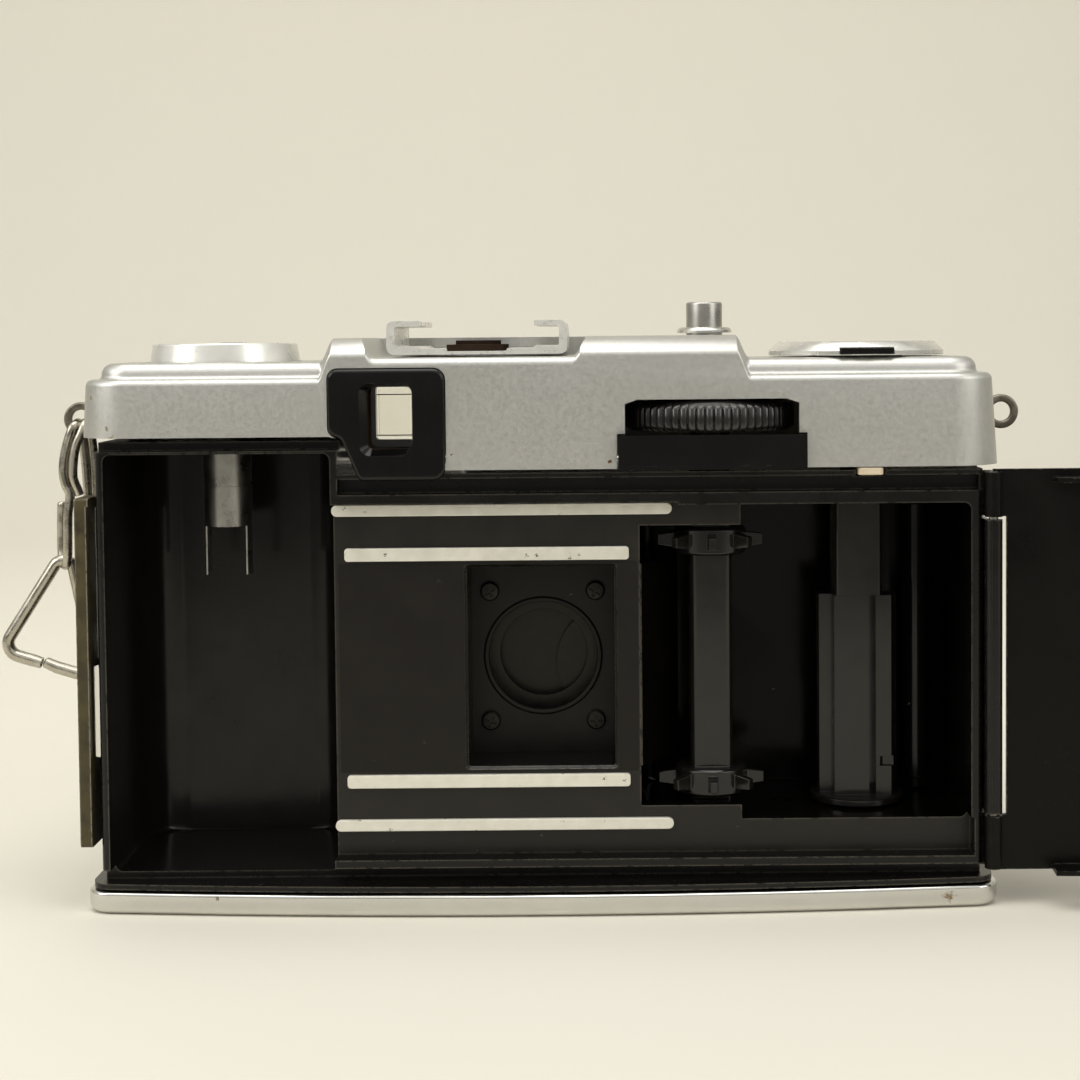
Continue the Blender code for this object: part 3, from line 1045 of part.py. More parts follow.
def make_lens():
    plate = lens_turned([(LENS_BORE_R - GAP, MOUNT_Y[1]), (LENS_BORE_R - GAP, MOUNT_Y[0]),
                         (MOUNT_OPENING_R, MOUNT_Y[0]), (MOUNT_OPENING_R, MOUNT_Y[1])])
    spots = [(sx * MOUNT_SCREW[0], LENS_Z + sz * MOUNT_SCREW[1]) for sx in (-1, 1) for sz in (-1, 1)]
    cut(plate, *[cylinder(spot, MOUNT_HOLE_R, -FAR, FAR, "Y", 12) for spot in spots])
    finish(plate, BLACK_PAINT, "lens_mount_plate")
    for number, spot in enumerate(spots, 1):
        head = MOUNT_Y[0] - GAP / 2
        screw = turned([(MOUNT_SHANK_R, MOUNT_Y[1]), (MOUNT_SHANK_R, head), (MOUNT_SCREW_R, head),
                        (MOUNT_SCREW_R * 0.8, head - MOUNT_SCREW_HEAD), (0.0, head - MOUNT_SCREW_HEAD),
                        (0.0, MOUNT_Y[1])], spot, "Y", 12)
        finish(screw, DARK_STEEL, f"mount_screw_{number}")

    outer = LENS_BORE_R - GAP
    housing = lens_turned([(outer, SHUTTER_Y[1]), (outer, SHUTTER_Y[0]), (MOUNT_OPENING_R, SHUTTER_Y[0]),
                           (MOUNT_OPENING_R, CAVITY_Y[0]), (SHUTTER_CAVITY_R, CAVITY_Y[0]),
                           (SHUTTER_CAVITY_R, CAVITY_Y[1]), (SHUTTER_APERTURE_R, CAVITY_Y[1]),
                           (SHUTTER_APERTURE_R, CAVITY_Y[1] + GAP), (REAR_GLASS_R + GAP, CAVITY_Y[1] + GAP),
                           (REAR_GLASS_R + GAP, SHUTTER_Y[1])])
    pivots = [(side * BLADE_PIVOT[0], LENS_Z + BLADE_PIVOT[1]) for side in (-1, 1)]
    pin_y = (CAVITY_Y[0] - GAP, CAVITY_Y[1] - GAP)
    fuse(housing, *[cylinder(spot, BLADE_PIVOT_R, *pin_y, "Y", 10) for spot in pivots])
    finish(housing, BLACK_PAINT, "shutter_housing")

    reach = BLADE_REACH
    blades = ((1, pivots[1], 0, "shutter_blade_right"), (-1, pivots[0], 1, "shutter_blade_left"))
    for side, pivot, layer, name in blades:
        y = CAVITY_Y[0] + BLADE_PLAY + layer * (BLADE_THICK + GAP)
        eye = (BLADE_PIVOT[0] - BLADE_EYE_R, BLADE_PIVOT[0] + BLADE_EYE_R)
        outline = [(-BLADE_OVERLAP, reach), (-BLADE_OVERLAP, -reach), (0.4 * reach, -reach),
                   (reach, -reach / 3.0), (reach, 0.8 * reach),
                   (eye[1], BLADE_PIVOT[1]), (eye[0], BLADE_PIVOT[1])]
        blade = prism([(side * u, LENS_Z + v) for u, v in outline], y, y + BLADE_THICK, "Y")
        fuse(blade, cylinder(pivot, BLADE_EYE_R, y, y + BLADE_THICK, "Y", 16))
        cut(blade, cylinder(pivot, BLADE_PIVOT_R + STUD_CLEARANCE, -FAR, FAR, "Y", 12))
        finish(blade, DARK_STEEL, name)

    rear = CAVITY_Y[1] + 2.0 * GAP
    glass = lens_turned([(0.0, rear + REAR_GLASS_THICK), (REAR_GLASS_R, rear + 0.6 * REAR_GLASS_THICK),
                         (REAR_GLASS_R, rear), (0.0, rear)], 24)
    finish(glass, CLEAR_GLASS, "rear_lens_element")

    sleeve = BARREL_SLEEVE_R
    back = SHUTTER_Y[1] + GAP
    cell = BARREL_FRONT_Y - CELL_RECESS
    barrel = lens_turned([
        (sleeve, BARREL_FRONT_Y), (sleeve, BARREL_FLANGE_Y[1]), (BARREL_FLANGE_R, BARREL_FLANGE_Y[1]),
        (BARREL_FLANGE_R, BARREL_FLANGE_Y[0]), (outer, BARREL_FLANGE_Y[0]), (outer, back),
        (BARREL_BORE_R, back), (BARREL_BORE_R, BARREL_FRONT_Y), (CELL_RING_R[0] - GAP, BARREL_FRONT_Y),
        (CELL_RING_R[0] - GAP, cell), (CELL_RING_R[1] + GAP, cell), (CELL_RING_R[1] + GAP, BARREL_FRONT_Y),
    ])
    finish(barrel, BLACK_PAINT, "lens_barrel")
    window = lens_turned([(CELL_RING_R[1], cell + GAP + CELL_THICK), (CELL_RING_R[1], cell + GAP),
                          (CELL_RING_R[0], cell + GAP), (CELL_RING_R[0], cell + GAP + CELL_THICK)])
    finish(window, CLEAR_GLASS, "cell_window_ring")
    inner = sleeve + RUN_CLEARANCE
    start = BARREL_FLANGE_Y[1] + GAP
    rings = ((APERTURE_RING_R, APERTURE_RING_LENGTH, "aperture_ring"),
             (SPEED_RING_R, SPEED_RING_LENGTH, "film_speed_ring"))
    for radius, length, name in rings:
        end = start + length
        piece = lens_turned([(radius - RING_CHAMFER, end), (radius, end - RING_CHAMFER), (radius, start),
                             (inner, start), (inner, end)])
        finish(piece, SATIN_CHROME, name)
        start = end + GAP
    bevel = FRONT_RING_BEVEL
    bezel = lens_turned([(FRONT_RING_R - bevel, BARREL_FRONT_Y), (FRONT_RING_R, BARREL_FRONT_Y - bevel),
                         (FRONT_RING_R, start), (inner, start), (inner, BARREL_FRONT_Y)])
    finish(bezel, BLACK_PAINT, "front_lens_ring")
    low, high = FRONT_GLASS_Y
    crown = FRONT_GLASS_CROWN
    front = lens_turned([(0.0, high + crown), (FRONT_GLASS_R / 2, high + 0.75 * crown),
                         (FRONT_GLASS_R, high), (FRONT_GLASS_R, low), (0.0, low)], 24)
    finish(front, CLEAR_GLASS, "front_lens_element")


def make_lugs():
    for side, name in ((-1, "strap_lug_left"), (1, "strap_lug_right")):
        eye_x = side * LUG_X
        lug = ring((eye_x, LUG_Z), LUG_HOLE_R, LUG_R, -LUG_THICK / 2, LUG_THICK / 2, "Y", 20)
        seat = COVER_HALF_WIDTH + GAP
        base_x = sorted((side * seat, side * (seat + LUG_BASE_THICK)))
        neck_x = sorted((side * (seat + LUG_BASE_THICK / 2), side * (LUG_X - LUG_R + LUG_NECK_SINK)))
        base = cylinder((0.0, LUG_Z), LUG_BASE_R, base_x[0], base_x[1], "X", 20)
        neck_z = (LUG_Z - LUG_NECK_HALF, LUG_Z + LUG_NECK_HALF)
        neck = box(neck_x, (-LUG_THICK / 2, LUG_THICK / 2), neck_z)
        finish(fuse(lug, base, neck), BRIGHT_STEEL, name)


def link_top():
    return Vector((-LUG_X, 0.0, LUG_Z - LUG_HOLE_R + LINK_WIRE_R + STUD_CLEARANCE))


def link_bottom():
    lean = math.radians(LINK_LEAN_DEG)
    return link_top() + LINK_LENGTH * Vector((-math.sin(lean), 0.0, -math.cos(lean)))


def make_strap_hardware():
    half = LINK_WIDTH / 2
    points = [Vector((0.0, u, v - half)) for u, v in arc((0.0, 0.0), half, 0, 180, 8)]
    points += [Vector((0.0, u, v - LINK_LENGTH + half)) for u, v in arc((0.0, 0.0), half, 180, 360, 8)]
    link = tube_loop(points, LINK_WIRE_R)
    turn = Matrix.Rotation(math.radians(LINK_TURN_DEG), 4, "Z")
    lean = Matrix.Rotation(math.radians(LINK_LEAN_DEG), 4, "Y")
    link.data.transform(lean @ turn)
    link.location = link_top()
    finish(link, BRIGHT_STEEL, "strap_link")

    r = TRIANGLE_CORNER_R
    half_base = TRIANGLE_BASE / 2
    height = math.sqrt(TRIANGLE_SIDE ** 2 - half_base ** 2)
    tilt = math.degrees(math.atan2(height, half_base))
    across = r / math.tan(math.radians(tilt / 2))
    rise = r / math.sin(math.radians(90.0 - tilt))
    base_z = rise - r - height
    top = arc((0.0, -r), r, 90.0 - tilt, 90.0 + tilt, 6)
    left = arc((-half_base + across, base_z + r), r, 90.0 + tilt, 270.0, 6)
    right = arc((half_base - across, base_z + r), r, 270.0, 450.0 - tilt, 6)
    loop = [Vector((u, 0.0, v)) for u, v in top + left + right]
    triangle = tube_loop(loop, TRIANGLE_WIRE_R)
    hang = LINK_WIRE_R + TRIANGLE_WIRE_R + STUD_CLEARANCE
    triangle.data.transform(Matrix.Rotation(math.radians(TRIANGLE_LEAN_DEG), 4, "Y"))
    triangle.location = link_bottom() + Vector((0.0, 0.0, hang))
    finish(triangle, BRIGHT_STEEL, "strap_triangle")


def make_latch():
    x = (LATCH_X - LATCH_THICK, LATCH_X)
    bar = box(x, LATCH_Y, LATCH_Z)
    tab_x = (x[0] - LATCH_TAB, x[0] + LATCH_TAB / 2)
    fuse(bar, box(tab_x, (LATCH_POST_Y - LATCH_TAB, LATCH_Y[1]), LATCH_TAB_Z))
    slots = []
    for z in LATCH_POST_Z:
        half = LATCH_POST / 2 + GAP
        slots.append(box((LATCH_X - LATCH_THICK / 2 - GAP, FAR), (LATCH_POST_Y - half, LATCH_POST_Y + half),
                         (z - half, z + half + LATCH_TRAVEL)))
    cut(bar, *slots)
    finish(bar, BROWN_STEEL, "latch_bar")
    catch_x = (LATCH_X + GAP / 3, -BODY_HALF_WIDTH - GAP / 2)
    catch = prism([(CATCH_Y[0], CATCH_Z[0]), (CATCH_Y[1], CATCH_Z[0]), (CATCH_Y[1], CATCH_Z[1]),
                   (CATCH_Y[0], CATCH_Z[1])], catch_x[0], catch_x[1], "X")
    finish(catch, BRIGHT_STEEL, "latch_catch")


def make_door():
    pivot = bpy.data.objects.new("door_pivot", None)
    bpy.context.scene.collection.objects.link(pivot)
    pivot.location = (HINGE_X, HINGE_Y, 0.0)

    free_x = -BODY_HALF_WIDTH - DOOR_FLANGE_CLEAR - DOOR_LIP
    hinge_edge = HINGE_X - HINGE_BARREL_R - DOOR_SLIT
    panel = bowed_sheet((free_x, HINGE_X), 0.0, DOOR_THICK, DOOR_LOW_Z, DOOR_STEP_TOP_Z)
    leaf = HINGE_LEAF_Z
    step = [(DOOR_STEP_X[0], DOOR_TOP_Z), (FAR, DOOR_TOP_Z), (FAR, FAR), (DOOR_STEP_X[1], FAR),
            (DOOR_STEP_X[1], DOOR_STEP_TOP_Z)]
    slit = box((hinge_edge, FAR), (-FAR, FAR), (leaf[0] - GAP, leaf[1] + GAP))
    cut(panel, prism(step, -FAR, FAR, "Y"), slit)

    def lip(x, z):
        points = [(x[0], door_outer_y(x[0]) + DOOR_THICK / 2), (x[1], door_outer_y(x[1]) + DOOR_THICK / 2),
                  (x[1], GROOVE_Y - DOOR_CLEARANCE), (x[0], GROOVE_Y - DOOR_CLEARANCE)]
        middle = [(x[0] + (x[1] - x[0]) * i / 6) for i in range(1, 6)]
        bowed = [(u, door_outer_y(u) + DOOR_THICK / 2) for u in middle]
        return prism([points[0], *bowed, *points[1:]], z[0], z[1])

    groove_mid = (GROOVE_Z[0] + GROOVE_Z[1]) / 2
    high_low = CARTRIDGE_REBATE_Z + GAP
    flange = box((free_x, free_x + DOOR_LIP), (door_outer_y(free_x) + DOOR_THICK / 2, DOOR_FLANGE_TIP_Y),
                 (DOOR_LOW_Z + DOOR_LIP, DOOR_STEP_TOP_Z - DOOR_LIP))
    parts = [
        lip((DOOR_STEP_X[0] + DOOR_LIP, DOOR_LIP_X), (groove_mid - DOOR_LIP / 2, groove_mid + DOOR_LIP / 2)),
        lip((-BODY_HALF_WIDTH + DOOR_LIP, CARTRIDGE_X - GAP), (high_low, high_low + DOOR_LIP)),
        lip((-BODY_HALF_WIDTH + DOOR_LIP, DOOR_LIP_X), (DOOR_LOW_Z, DOOR_LOW_Z + DOOR_LIP)),
        flange,
    ]
    knuckles = ((DOOR_LOW_Z + GAP, leaf[0] - GAP), (leaf[1] + GAP, DOOR_TOP_Z - GAP))
    parts += [cylinder(BARREL_CENTRE, HINGE_BARREL_R, z[0], z[1], "Z", 20) for z in knuckles]
    studs = []
    stud_y = FILM_PLANE_Y - GAP - PRESSURE_THICK
    plate_x = (OUTER_RAIL_X[0] + PRESSURE_MARGIN, TAKEUP_X - PRESSURE_MARGIN)
    middle_x = (plate_x[0] + plate_x[1]) / 2
    for side in (-1, 1):
        studs.append((middle_x, LENS_Z + side * STUD_SPACING / 2))
    reach = (DOOR_CENTRE_Y + DOOR_THICK / 2, stud_y + PRESSURE_THICK / 2)
    parts += [cylinder(spot, STUD_R, *reach, "Y", 16) for spot in studs]
    fuse(panel, *parts)
    catch_y = (CATCH_Y[0] - GAP, CATCH_Y[1] + GAP)
    catch_low = CATCH_Z[0] - LATCH_TRAVEL - GAP
    catch_high = CATCH_Z[1] - LATCH_TRAVEL + GAP
    cut(
        panel,
        cylinder(BARREL_CENTRE, HINGE_BORE_R, -FAR, FAR, "Z", 16),
        box((-FAR, free_x + 2.0 * DOOR_LIP), catch_y, (catch_low, CATCH_Z[1] + GAP)),
        box((-FAR, free_x + 2.0 * DOOR_LIP), (CATCH_Y[0] - GAP, FAR), (catch_low, catch_high)),
    )
    finish(panel, BLACK_PAINT, "door_panel")

    inset = DOOR_LEATHER_INSET
    skin = bowed_sheet((free_x + inset, hinge_edge - inset), -GAP - LEATHER_THICK, -GAP,
                       DOOR_LOW_Z + inset / 2, DOOR_TOP_Z - inset / 2)
    finish(skin, LEATHERETTE, "door_leather")

    plate_z = (LENS_Z - OUTER_RAIL_SPAN / 2 - PRESSURE_MARGIN, LENS_Z + OUTER_RAIL_SPAN / 2 + PRESSURE_MARGIN)
    plate = box(plate_x, (stud_y, stud_y + PRESSURE_THICK), plate_z)
    for spot in studs:
        cut(plate, cylinder(spot, STUD_R + STUD_CLEARANCE, -FAR, FAR, "Y", 16))
    finish(plate, BLACK_PAINT, "pressure_plate")

    for piece in (panel, skin, plate):
        piece.parent = pivot
        piece.matrix_parent_inverse = Matrix.Translation(-pivot.location)
    pivot.rotation_euler.z = math.radians(DOOR_OPEN_DEG)

    leaf_piece = cylinder(BARREL_CENTRE, HINGE_BARREL_R, leaf[0], leaf[1], "Z", 20)
    leaf_x = BODY_HALF_WIDTH + GAP
    fuse(leaf_piece, box((leaf_x, leaf_x + HINGE_LEAF_THICK), (HINGE_Y, HINGE_Y + HINGE_LEAF_DEPTH), leaf))
    cut(leaf_piece, cylinder(BARREL_CENTRE, HINGE_BORE_R, -FAR, FAR, "Z", 16))
    finish(leaf_piece, BLACK_PAINT, "hinge_leaf")
    pin = cylinder(BARREL_CENTRE, HINGE_PIN_R, DOOR_LOW_Z + GAP, DOOR_TOP_Z - GAP, "Z", 12)
    finish(pin, BRIGHT_STEEL, "hinge_pin")


def main():
    clear_scene()
    make_casting()
    make_cover()
    make_bottom_plate()
    make_front_leather()
    make_finder()
    make_shoe()
    make_button()
    make_rewind()
    make_advance()
    make_film_drive()
    make_counter()
    make_lens()
    make_lugs()
    make_strap_hardware()
    make_latch()
    make_door()


main()
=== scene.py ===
import math

import bmesh
import bpy
from mathutils import Matrix, Vector


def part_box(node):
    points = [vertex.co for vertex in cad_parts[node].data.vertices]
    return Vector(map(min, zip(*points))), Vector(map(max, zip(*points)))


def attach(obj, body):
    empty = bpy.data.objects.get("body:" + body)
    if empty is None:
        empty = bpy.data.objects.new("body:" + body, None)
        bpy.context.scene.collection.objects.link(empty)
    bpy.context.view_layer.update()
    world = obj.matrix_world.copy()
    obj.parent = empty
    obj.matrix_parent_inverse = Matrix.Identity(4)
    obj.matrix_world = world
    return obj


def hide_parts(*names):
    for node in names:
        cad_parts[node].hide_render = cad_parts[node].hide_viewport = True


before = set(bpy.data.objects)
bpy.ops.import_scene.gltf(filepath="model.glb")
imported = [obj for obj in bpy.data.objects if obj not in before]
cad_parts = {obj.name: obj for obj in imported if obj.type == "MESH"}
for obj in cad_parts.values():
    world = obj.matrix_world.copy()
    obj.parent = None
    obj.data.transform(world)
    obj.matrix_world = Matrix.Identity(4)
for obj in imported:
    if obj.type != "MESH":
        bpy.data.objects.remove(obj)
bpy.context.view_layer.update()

# Sizes are in millimetres and turn into metres when a mesh is made
mm = 0.001
far = 200.0
lensAxis = (0.0, 28.95)    # x and z
meshLook = {"weld": 0.002, "flat": 0.6, "bevelSteps": 2, "bevelAngle": 30.0, "sharpAngle": 38.0}


# Outlines and mesh tools

def nodeSpan(name):
    low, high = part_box(name)
    return Vector(low) / mm, Vector(high) / mm


def nodeMiddle(name, across="y"):
    low, high = nodeSpan(name)
    return (low.x + high.x) / 2.0, (getattr(low, across) + getattr(high, across)) / 2.0


def nodeRadius(name):
    low, high = nodeSpan(name)
    return (high.x - low.x) / 2.0


def nodeSpot(name):    # its middle, on the plane of the body's axes
    return nodeMiddle(name)[0], 0.0


def about(middle, half):
    return middle - half, middle + half


def ease(low, high, x):
    t = min(max((x - low) / (high - low), 0.0), 1.0)
    return t * t * (3.0 - 2.0 * t)


def arcPoints(centre, radius, start, end, count=8):
    turns = [math.radians(start + (end - start) * i / count) for i in range(count + 1)]
    return [(centre[0] + radius * math.cos(a), centre[1] + radius * math.sin(a)) for a in turns]


def circlePoints(centre, radius, count=48):
    return arcPoints(centre, radius, 0.0, 360.0, count)[:-1]


def roundOver(radius, start, step=15):
    turns = [math.radians(a) for a in range(0, 91, step)]
    return [(radius - radius * math.sin(a), start + radius - radius * math.cos(a)) for a in turns]


def oblong(x, y):
    return [(x[0], y[0]), (x[1], y[0]), (x[1], y[1]), (x[0], y[1])]


def roundCorners(corners, radii, count=6):
    outline = []
    for i, corner in enumerate(corners):
        here = Vector(corner)
        back = Vector(corners[i - 1]) - here
        ahead = Vector(corners[(i + 1) % len(corners)]) - here
        radius = radii[i] if isinstance(radii, (list, tuple)) else radii
        half = back.angle(ahead) / 2.0
        reach = min(radius / math.tan(half), 0.49 * back.length, 0.49 * ahead.length)
        if reach < 0.01:
            outline.append(corner)
            continue
        radius = reach * math.tan(half)
        middle = here + (back.normalized() + ahead.normalized()).normalized() * radius / math.sin(half)
        first = here + back.normalized() * reach - middle
        last = here + ahead.normalized() * reach - middle
        start = math.atan2(first.y, first.x)
        sweep = (math.atan2(last.y, last.x) - start + math.pi) % (2.0 * math.pi) - math.pi
        outline += [(middle.x + radius * math.cos(start + sweep * k / count),
                     middle.y + radius * math.sin(start + sweep * k / count)) for k in range(count + 1)]
    return outline


def offsetOutline(points, distance):
    moved = []
    for i, point in enumerate(points):
        here = Vector(point)
        before = (here - Vector(points[i - 1])).normalized()
        after = (Vector(points[(i + 1) % len(points)]) - here).normalized()
        outward = (Vector((before.y, -before.x)) + Vector((after.y, -after.x))).normalized()
        lean = max(outward.dot(Vector((before.y, -before.x))), 0.3)
        moved.append(tuple(here + outward * distance / lean))
    return moved


def place(axis, u, v, h):
    return {"Z": (u, v, h), "Y": (u, h, v), "X": (h, u, v)}[axis]


def lifted(outline, h, axis="Y"):
    return [place(axis, u, v, h) for u, v in outline]


def newPiece(bm, name="piece"):
    bmesh.ops.scale(bm, vec=(mm, mm, mm), verts=bm.verts)
    bmesh.ops.recalc_face_normals(bm, faces=bm.faces)
    mesh = bpy.data.meshes.new(name)
    bm.to_mesh(mesh)
    bm.free()
    obj = bpy.data.objects.new(name, mesh)
    bpy.context.scene.collection.objects.link(obj)
    return obj


def bridge(bm, low, high, closed=True):
    count = len(low)
    for i in range(count if closed else count - 1):
        j = (i + 1) % count
        bm.faces.new((low[i], low[j], high[j], high[i]))


def loft(outlines, looped=False):
    bm = bmesh.new()
    rings = [[bm.verts.new(p) for p in outline] for outline in outlines]
    for low, high in zip(rings, rings[1:] + rings[:1] if looped else rings[1:]):
        bridge(bm, low, high)
    if not looped:
        bm.faces.new(list(reversed(rings[0])))
        bm.faces.new(rings[-1])
    return newPiece(bm)


def slab(outline, low, high, axis="Z"):
    return loft([lifted(outline, h, axis) for h in (low, high)])


def block(x, y, z):
    return slab(oblong(x, y), z[0], z[1])


def rod(centre, radius, low, high, axis="Z", sides=48):
    return slab(circlePoints(centre, radius, sides), low, high, axis)


def lathe(profile, centre=(0.0, 0.0), axis="Z", sides=72):
    bm = bmesh.new()
    columns = []
    for radius, height in profile:
        outline = circlePoints(centre, radius, sides) if radius else [centre]
        columns.append([bm.verts.new(spot) for spot in lifted(outline, height, axis)])
    for here, after in zip(columns, columns[1:] + columns[:1]):
        if len(here) == len(after) == 1:
            continue
        for i in range(sides):
            j = (i + 1) % sides
            ring = [here[i % len(here)], here[j % len(here)], after[j % len(after)], after[i % len(after)]]
            bm.faces.new(list(dict.fromkeys(ring)))
    return newPiece(bm)


def smoothPath(points, steps):
    path = []
    spots = [Vector(p) for p in points]
    last = len(spots) - 1
    for i in range(last):
        a, b, c, d = (spots[min(max(i + k, 0), last)] for k in (-1, 0, 1, 2))
        for k in range(steps):
            t = k / steps
            path.append(0.5 * (2 * b + (c - a) * t + (2 * a - 5 * b + 4 * c - d) * t ** 2
                               + (3 * b - a - 3 * c + d) * t ** 3))
    return path + [spots[-1]]


def wire(path, radius, sides=14):
    bm = bmesh.new()
    last = len(path) - 1
    # cut ends are slightly rounded
    ends = {0: ((0.0, 0.6), (0.25, 0.9)), last: ((0.0, 0.9), (-0.25, 0.6))}
    turns = [2.0 * math.pi * k / sides for k in range(sides)]
    side = None
    rings = []
    for i, point in enumerate(path):
        along = (path[min(i + 1, last)] - path[max(i - 1, 0)]).normalized()
        side = side or along.orthogonal()
        side = (side - along * side.dot(along)).normalized()
        over = along.cross(side)
        for slide, shrink in ends.get(i, ((0.0, 1.0),)):
            rings.append([bm.verts.new(point + along * (slide * radius)
                                       + radius * shrink * (math.cos(a) * side + math.sin(a) * over))
                          for a in turns])
    for low, high in zip(rings, rings[1:]):
        bridge(bm, low, high)
    bm.faces.new(list(reversed(rings[0])))
    bm.faces.new(rings[-1])
    return newPiece(bm)


def combine(target, tools, operation):
    for tool in tools:
        step = target.modifiers.new(operation.lower(), "BOOLEAN")
        step.operation = operation
        step.solver = "EXACT"
        step.object = tool
    graph = bpy.context.evaluated_depsgraph_get()
    target.data = bpy.data.meshes.new_from_object(target.evaluated_get(graph))
    target.modifiers.clear()
    for tool in tools:
        bpy.data.objects.remove(tool)
    return target


def carve(target, *tools):
    return combine(target, tools, "DIFFERENCE")


def weld(target, *tools):
    return combine(target, tools, "UNION")


def cleanMesh(obj):
    bm = bmesh.new()
    bm.from_mesh(obj.data)
    bmesh.ops.remove_doubles(bm, verts=bm.verts, dist=meshLook["weld"] * mm)
    bmesh.ops.dissolve_limit(bm, angle_limit=math.radians(meshLook["flat"]), verts=bm.verts, edges=bm.edges)
    bm.to_mesh(obj.data)
    bm.free()


def softenEdges(obj, width):
    bevel = obj.modifiers.new("softEdges", "BEVEL")
    bevel.width = width * mm
    bevel.segments = meshLook["bevelSteps"]
    bevel.limit_method = "ANGLE"
    bevel.angle_limit = math.radians(meshLook["bevelAngle"])
    bevel.harden_normals = True


def finishPiece(obj, name, body, look, nodes=(), soft=0.0, tidy=False):
    if tidy:
        cleanMesh(obj)
    obj.name = name
    obj.data.materials.clear()
    obj.data.materials.append(look)
    obj.data.shade_smooth()
    if soft:
        softenEdges(obj, soft)
    else:
        obj.data.set_sharp_from_angle(angle=math.radians(meshLook["sharpAngle"]))
    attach(obj, body)
    if nodes:
        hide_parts(*nodes)
    return obj


# Node tools

def add(tree, kind, values=None, **settings):
    made = tree.nodes.new("ShaderNode" + kind)
    for key, value in settings.items():
        setattr(made, key, value)
    for key, value in (values or {}).items():
        if isinstance(value, bpy.types.NodeSocket):
            tree.links.new(value, made.inputs[key])
        else:
            made.inputs[key].default_value = value
    return made


def math2(tree, operation, a, b=0.0):
    return add(tree, "Math", {0: a, 1: b}, operation=operation).outputs[0]


def vector2(tree, operation, a, b, out="Vector"):
    return add(tree, "VectorMath", {0: a, 1: b}, operation=operation).outputs[out]


def noise(tree, spot, scale, out="Fac", **values):
    return add(tree, "TexNoise", {"Vector": spot, "Scale": scale, **values}).outputs[out]


def mixColour(tree, share, low, high):
    ends = [c if isinstance(c, bpy.types.NodeSocket) else (*c, 1.0) for c in (low, high)]
    return add(tree, "Mix", {0: share, 6: ends[0], 7: ends[1]}, data_type="RGBA").outputs[2]


def mapRange(tree, value, low, high, outLow=0.0, outHigh=1.0):
    return add(tree, "MapRange", {"Value": value, "From Min": low, "From Max": high,
                                  "To Min": outLow, "To Max": outHigh}).outputs[0]


# Stage: camera, lamps and surroundings

stageLook = {
    "eye": (7.0, -236.0, 68.4), "pitchDown": 2.5, "roll": 0.5, "focal": 62.8, "sensor": 36.0,
    "shift": (-0.0528, -0.109), "nearest": 0.01, "lampTone": (1.0, 0.985, 0.955),
    "paper": (0.80, 0.77, 0.67), "room": (0.25, 0.243, 0.222), "ceiling": (0.86, 0.85, 0.80),
    "ceilingRise": (0.06, 0.42), "ambient": 0.42,
    "sheetEnd": -240.0, "sheetBend": 420.0, "bendRadius": 300.0, "sheetTop": 1500.0, "sheetHalf": 1600.0,
    "lamps": (  # name, place, aim, size, watts
        ("overheadSoft", (-60.0, -120.0, 820.0), (0.0, 0.0, 40.0), 760.0, 4.8),
        ("leftSoft", (-640.0, -360.0, 420.0), (0.0, 0.0, 35.0), 420.0, 2.0),
        ("rightSoft", (600.0, -420.0, 360.0), (0.0, 0.0, 35.0), 420.0, 1.2),
    ),
}


def buildStage(look):
    scene = bpy.context.scene
    scene.view_settings.view_transform = "Standard"
    lens = bpy.data.cameras.new("photoView")
    lens.lens = look["focal"]
    lens.sensor_width = look["sensor"]
    lens.shift_x, lens.shift_y = look["shift"]
    lens.clip_start = look["nearest"]
    camera = bpy.data.objects.new("photoView", lens)
    tilt = Matrix.Rotation(math.radians(90.0 - look["pitchDown"]), 4, "X")
    roll = Matrix.Rotation(math.radians(-look["roll"]), 4, "Z")
    camera.matrix_world = Matrix.Translation(Vector(look["eye"]) * mm) @ tilt @ roll
    scene.collection.objects.link(camera)
    scene.camera = camera
    for name, spot, aim, size, watts in look["lamps"]:
        lamp = bpy.data.lights.new(name, "AREA")
        lamp.size = size * mm
        lamp.energy = watts
        lamp.color = look["lampTone"]
        holder = bpy.data.objects.new(name, lamp)
        holder.location = Vector(spot) * mm
        holder.rotation_euler = (Vector(aim) - Vector(spot)).to_track_quat("-Z", "Y").to_euler()
        scene.collection.objects.link(holder)


def buildSurroundings(look):
    world = bpy.data.worlds.new("paleRoom")
    world.use_nodes = True
    bpy.context.scene.world = world
    tree = world.node_tree
    tree.nodes.clear()
    rays = add(tree, "LightPath").outputs
    seen = math2(tree, "MAXIMUM", rays["Is Camera Ray"], rays["Is Glossy Ray"])
    seen = math2(tree, "MAXIMUM", seen, rays["Is Transmission Ray"])
    soft = add(tree, "Background", {"Color": (*look["lampTone"], 1.0), "Strength": look["ambient"]})
    height = add(tree, "SeparateXYZ", {0: add(tree, "TexCoord").outputs["Generated"]}).outputs["Z"]
    low, high = look["ceilingRise"]
    ramp = add(tree, "MapRange", {"Value": height, "From Min": low, "From Max": high},
               interpolation_type="SMOOTHSTEP").outputs[0]
    shown = add(tree, "Background", {"Color": mixColour(tree, ramp, look["room"], look["ceiling"])})
    choose = add(tree, "MixShader", {0: seen, 1: soft.outputs[0], 2: shown.outputs[0]})
    add(tree, "OutputWorld", {"Surface": choose.outputs[0]})


buildStage(stageLook)
buildSurroundings(stageLook)
print("stage: camera, lamps and surroundings")


# Surface effects shared by the finishes, as node groups

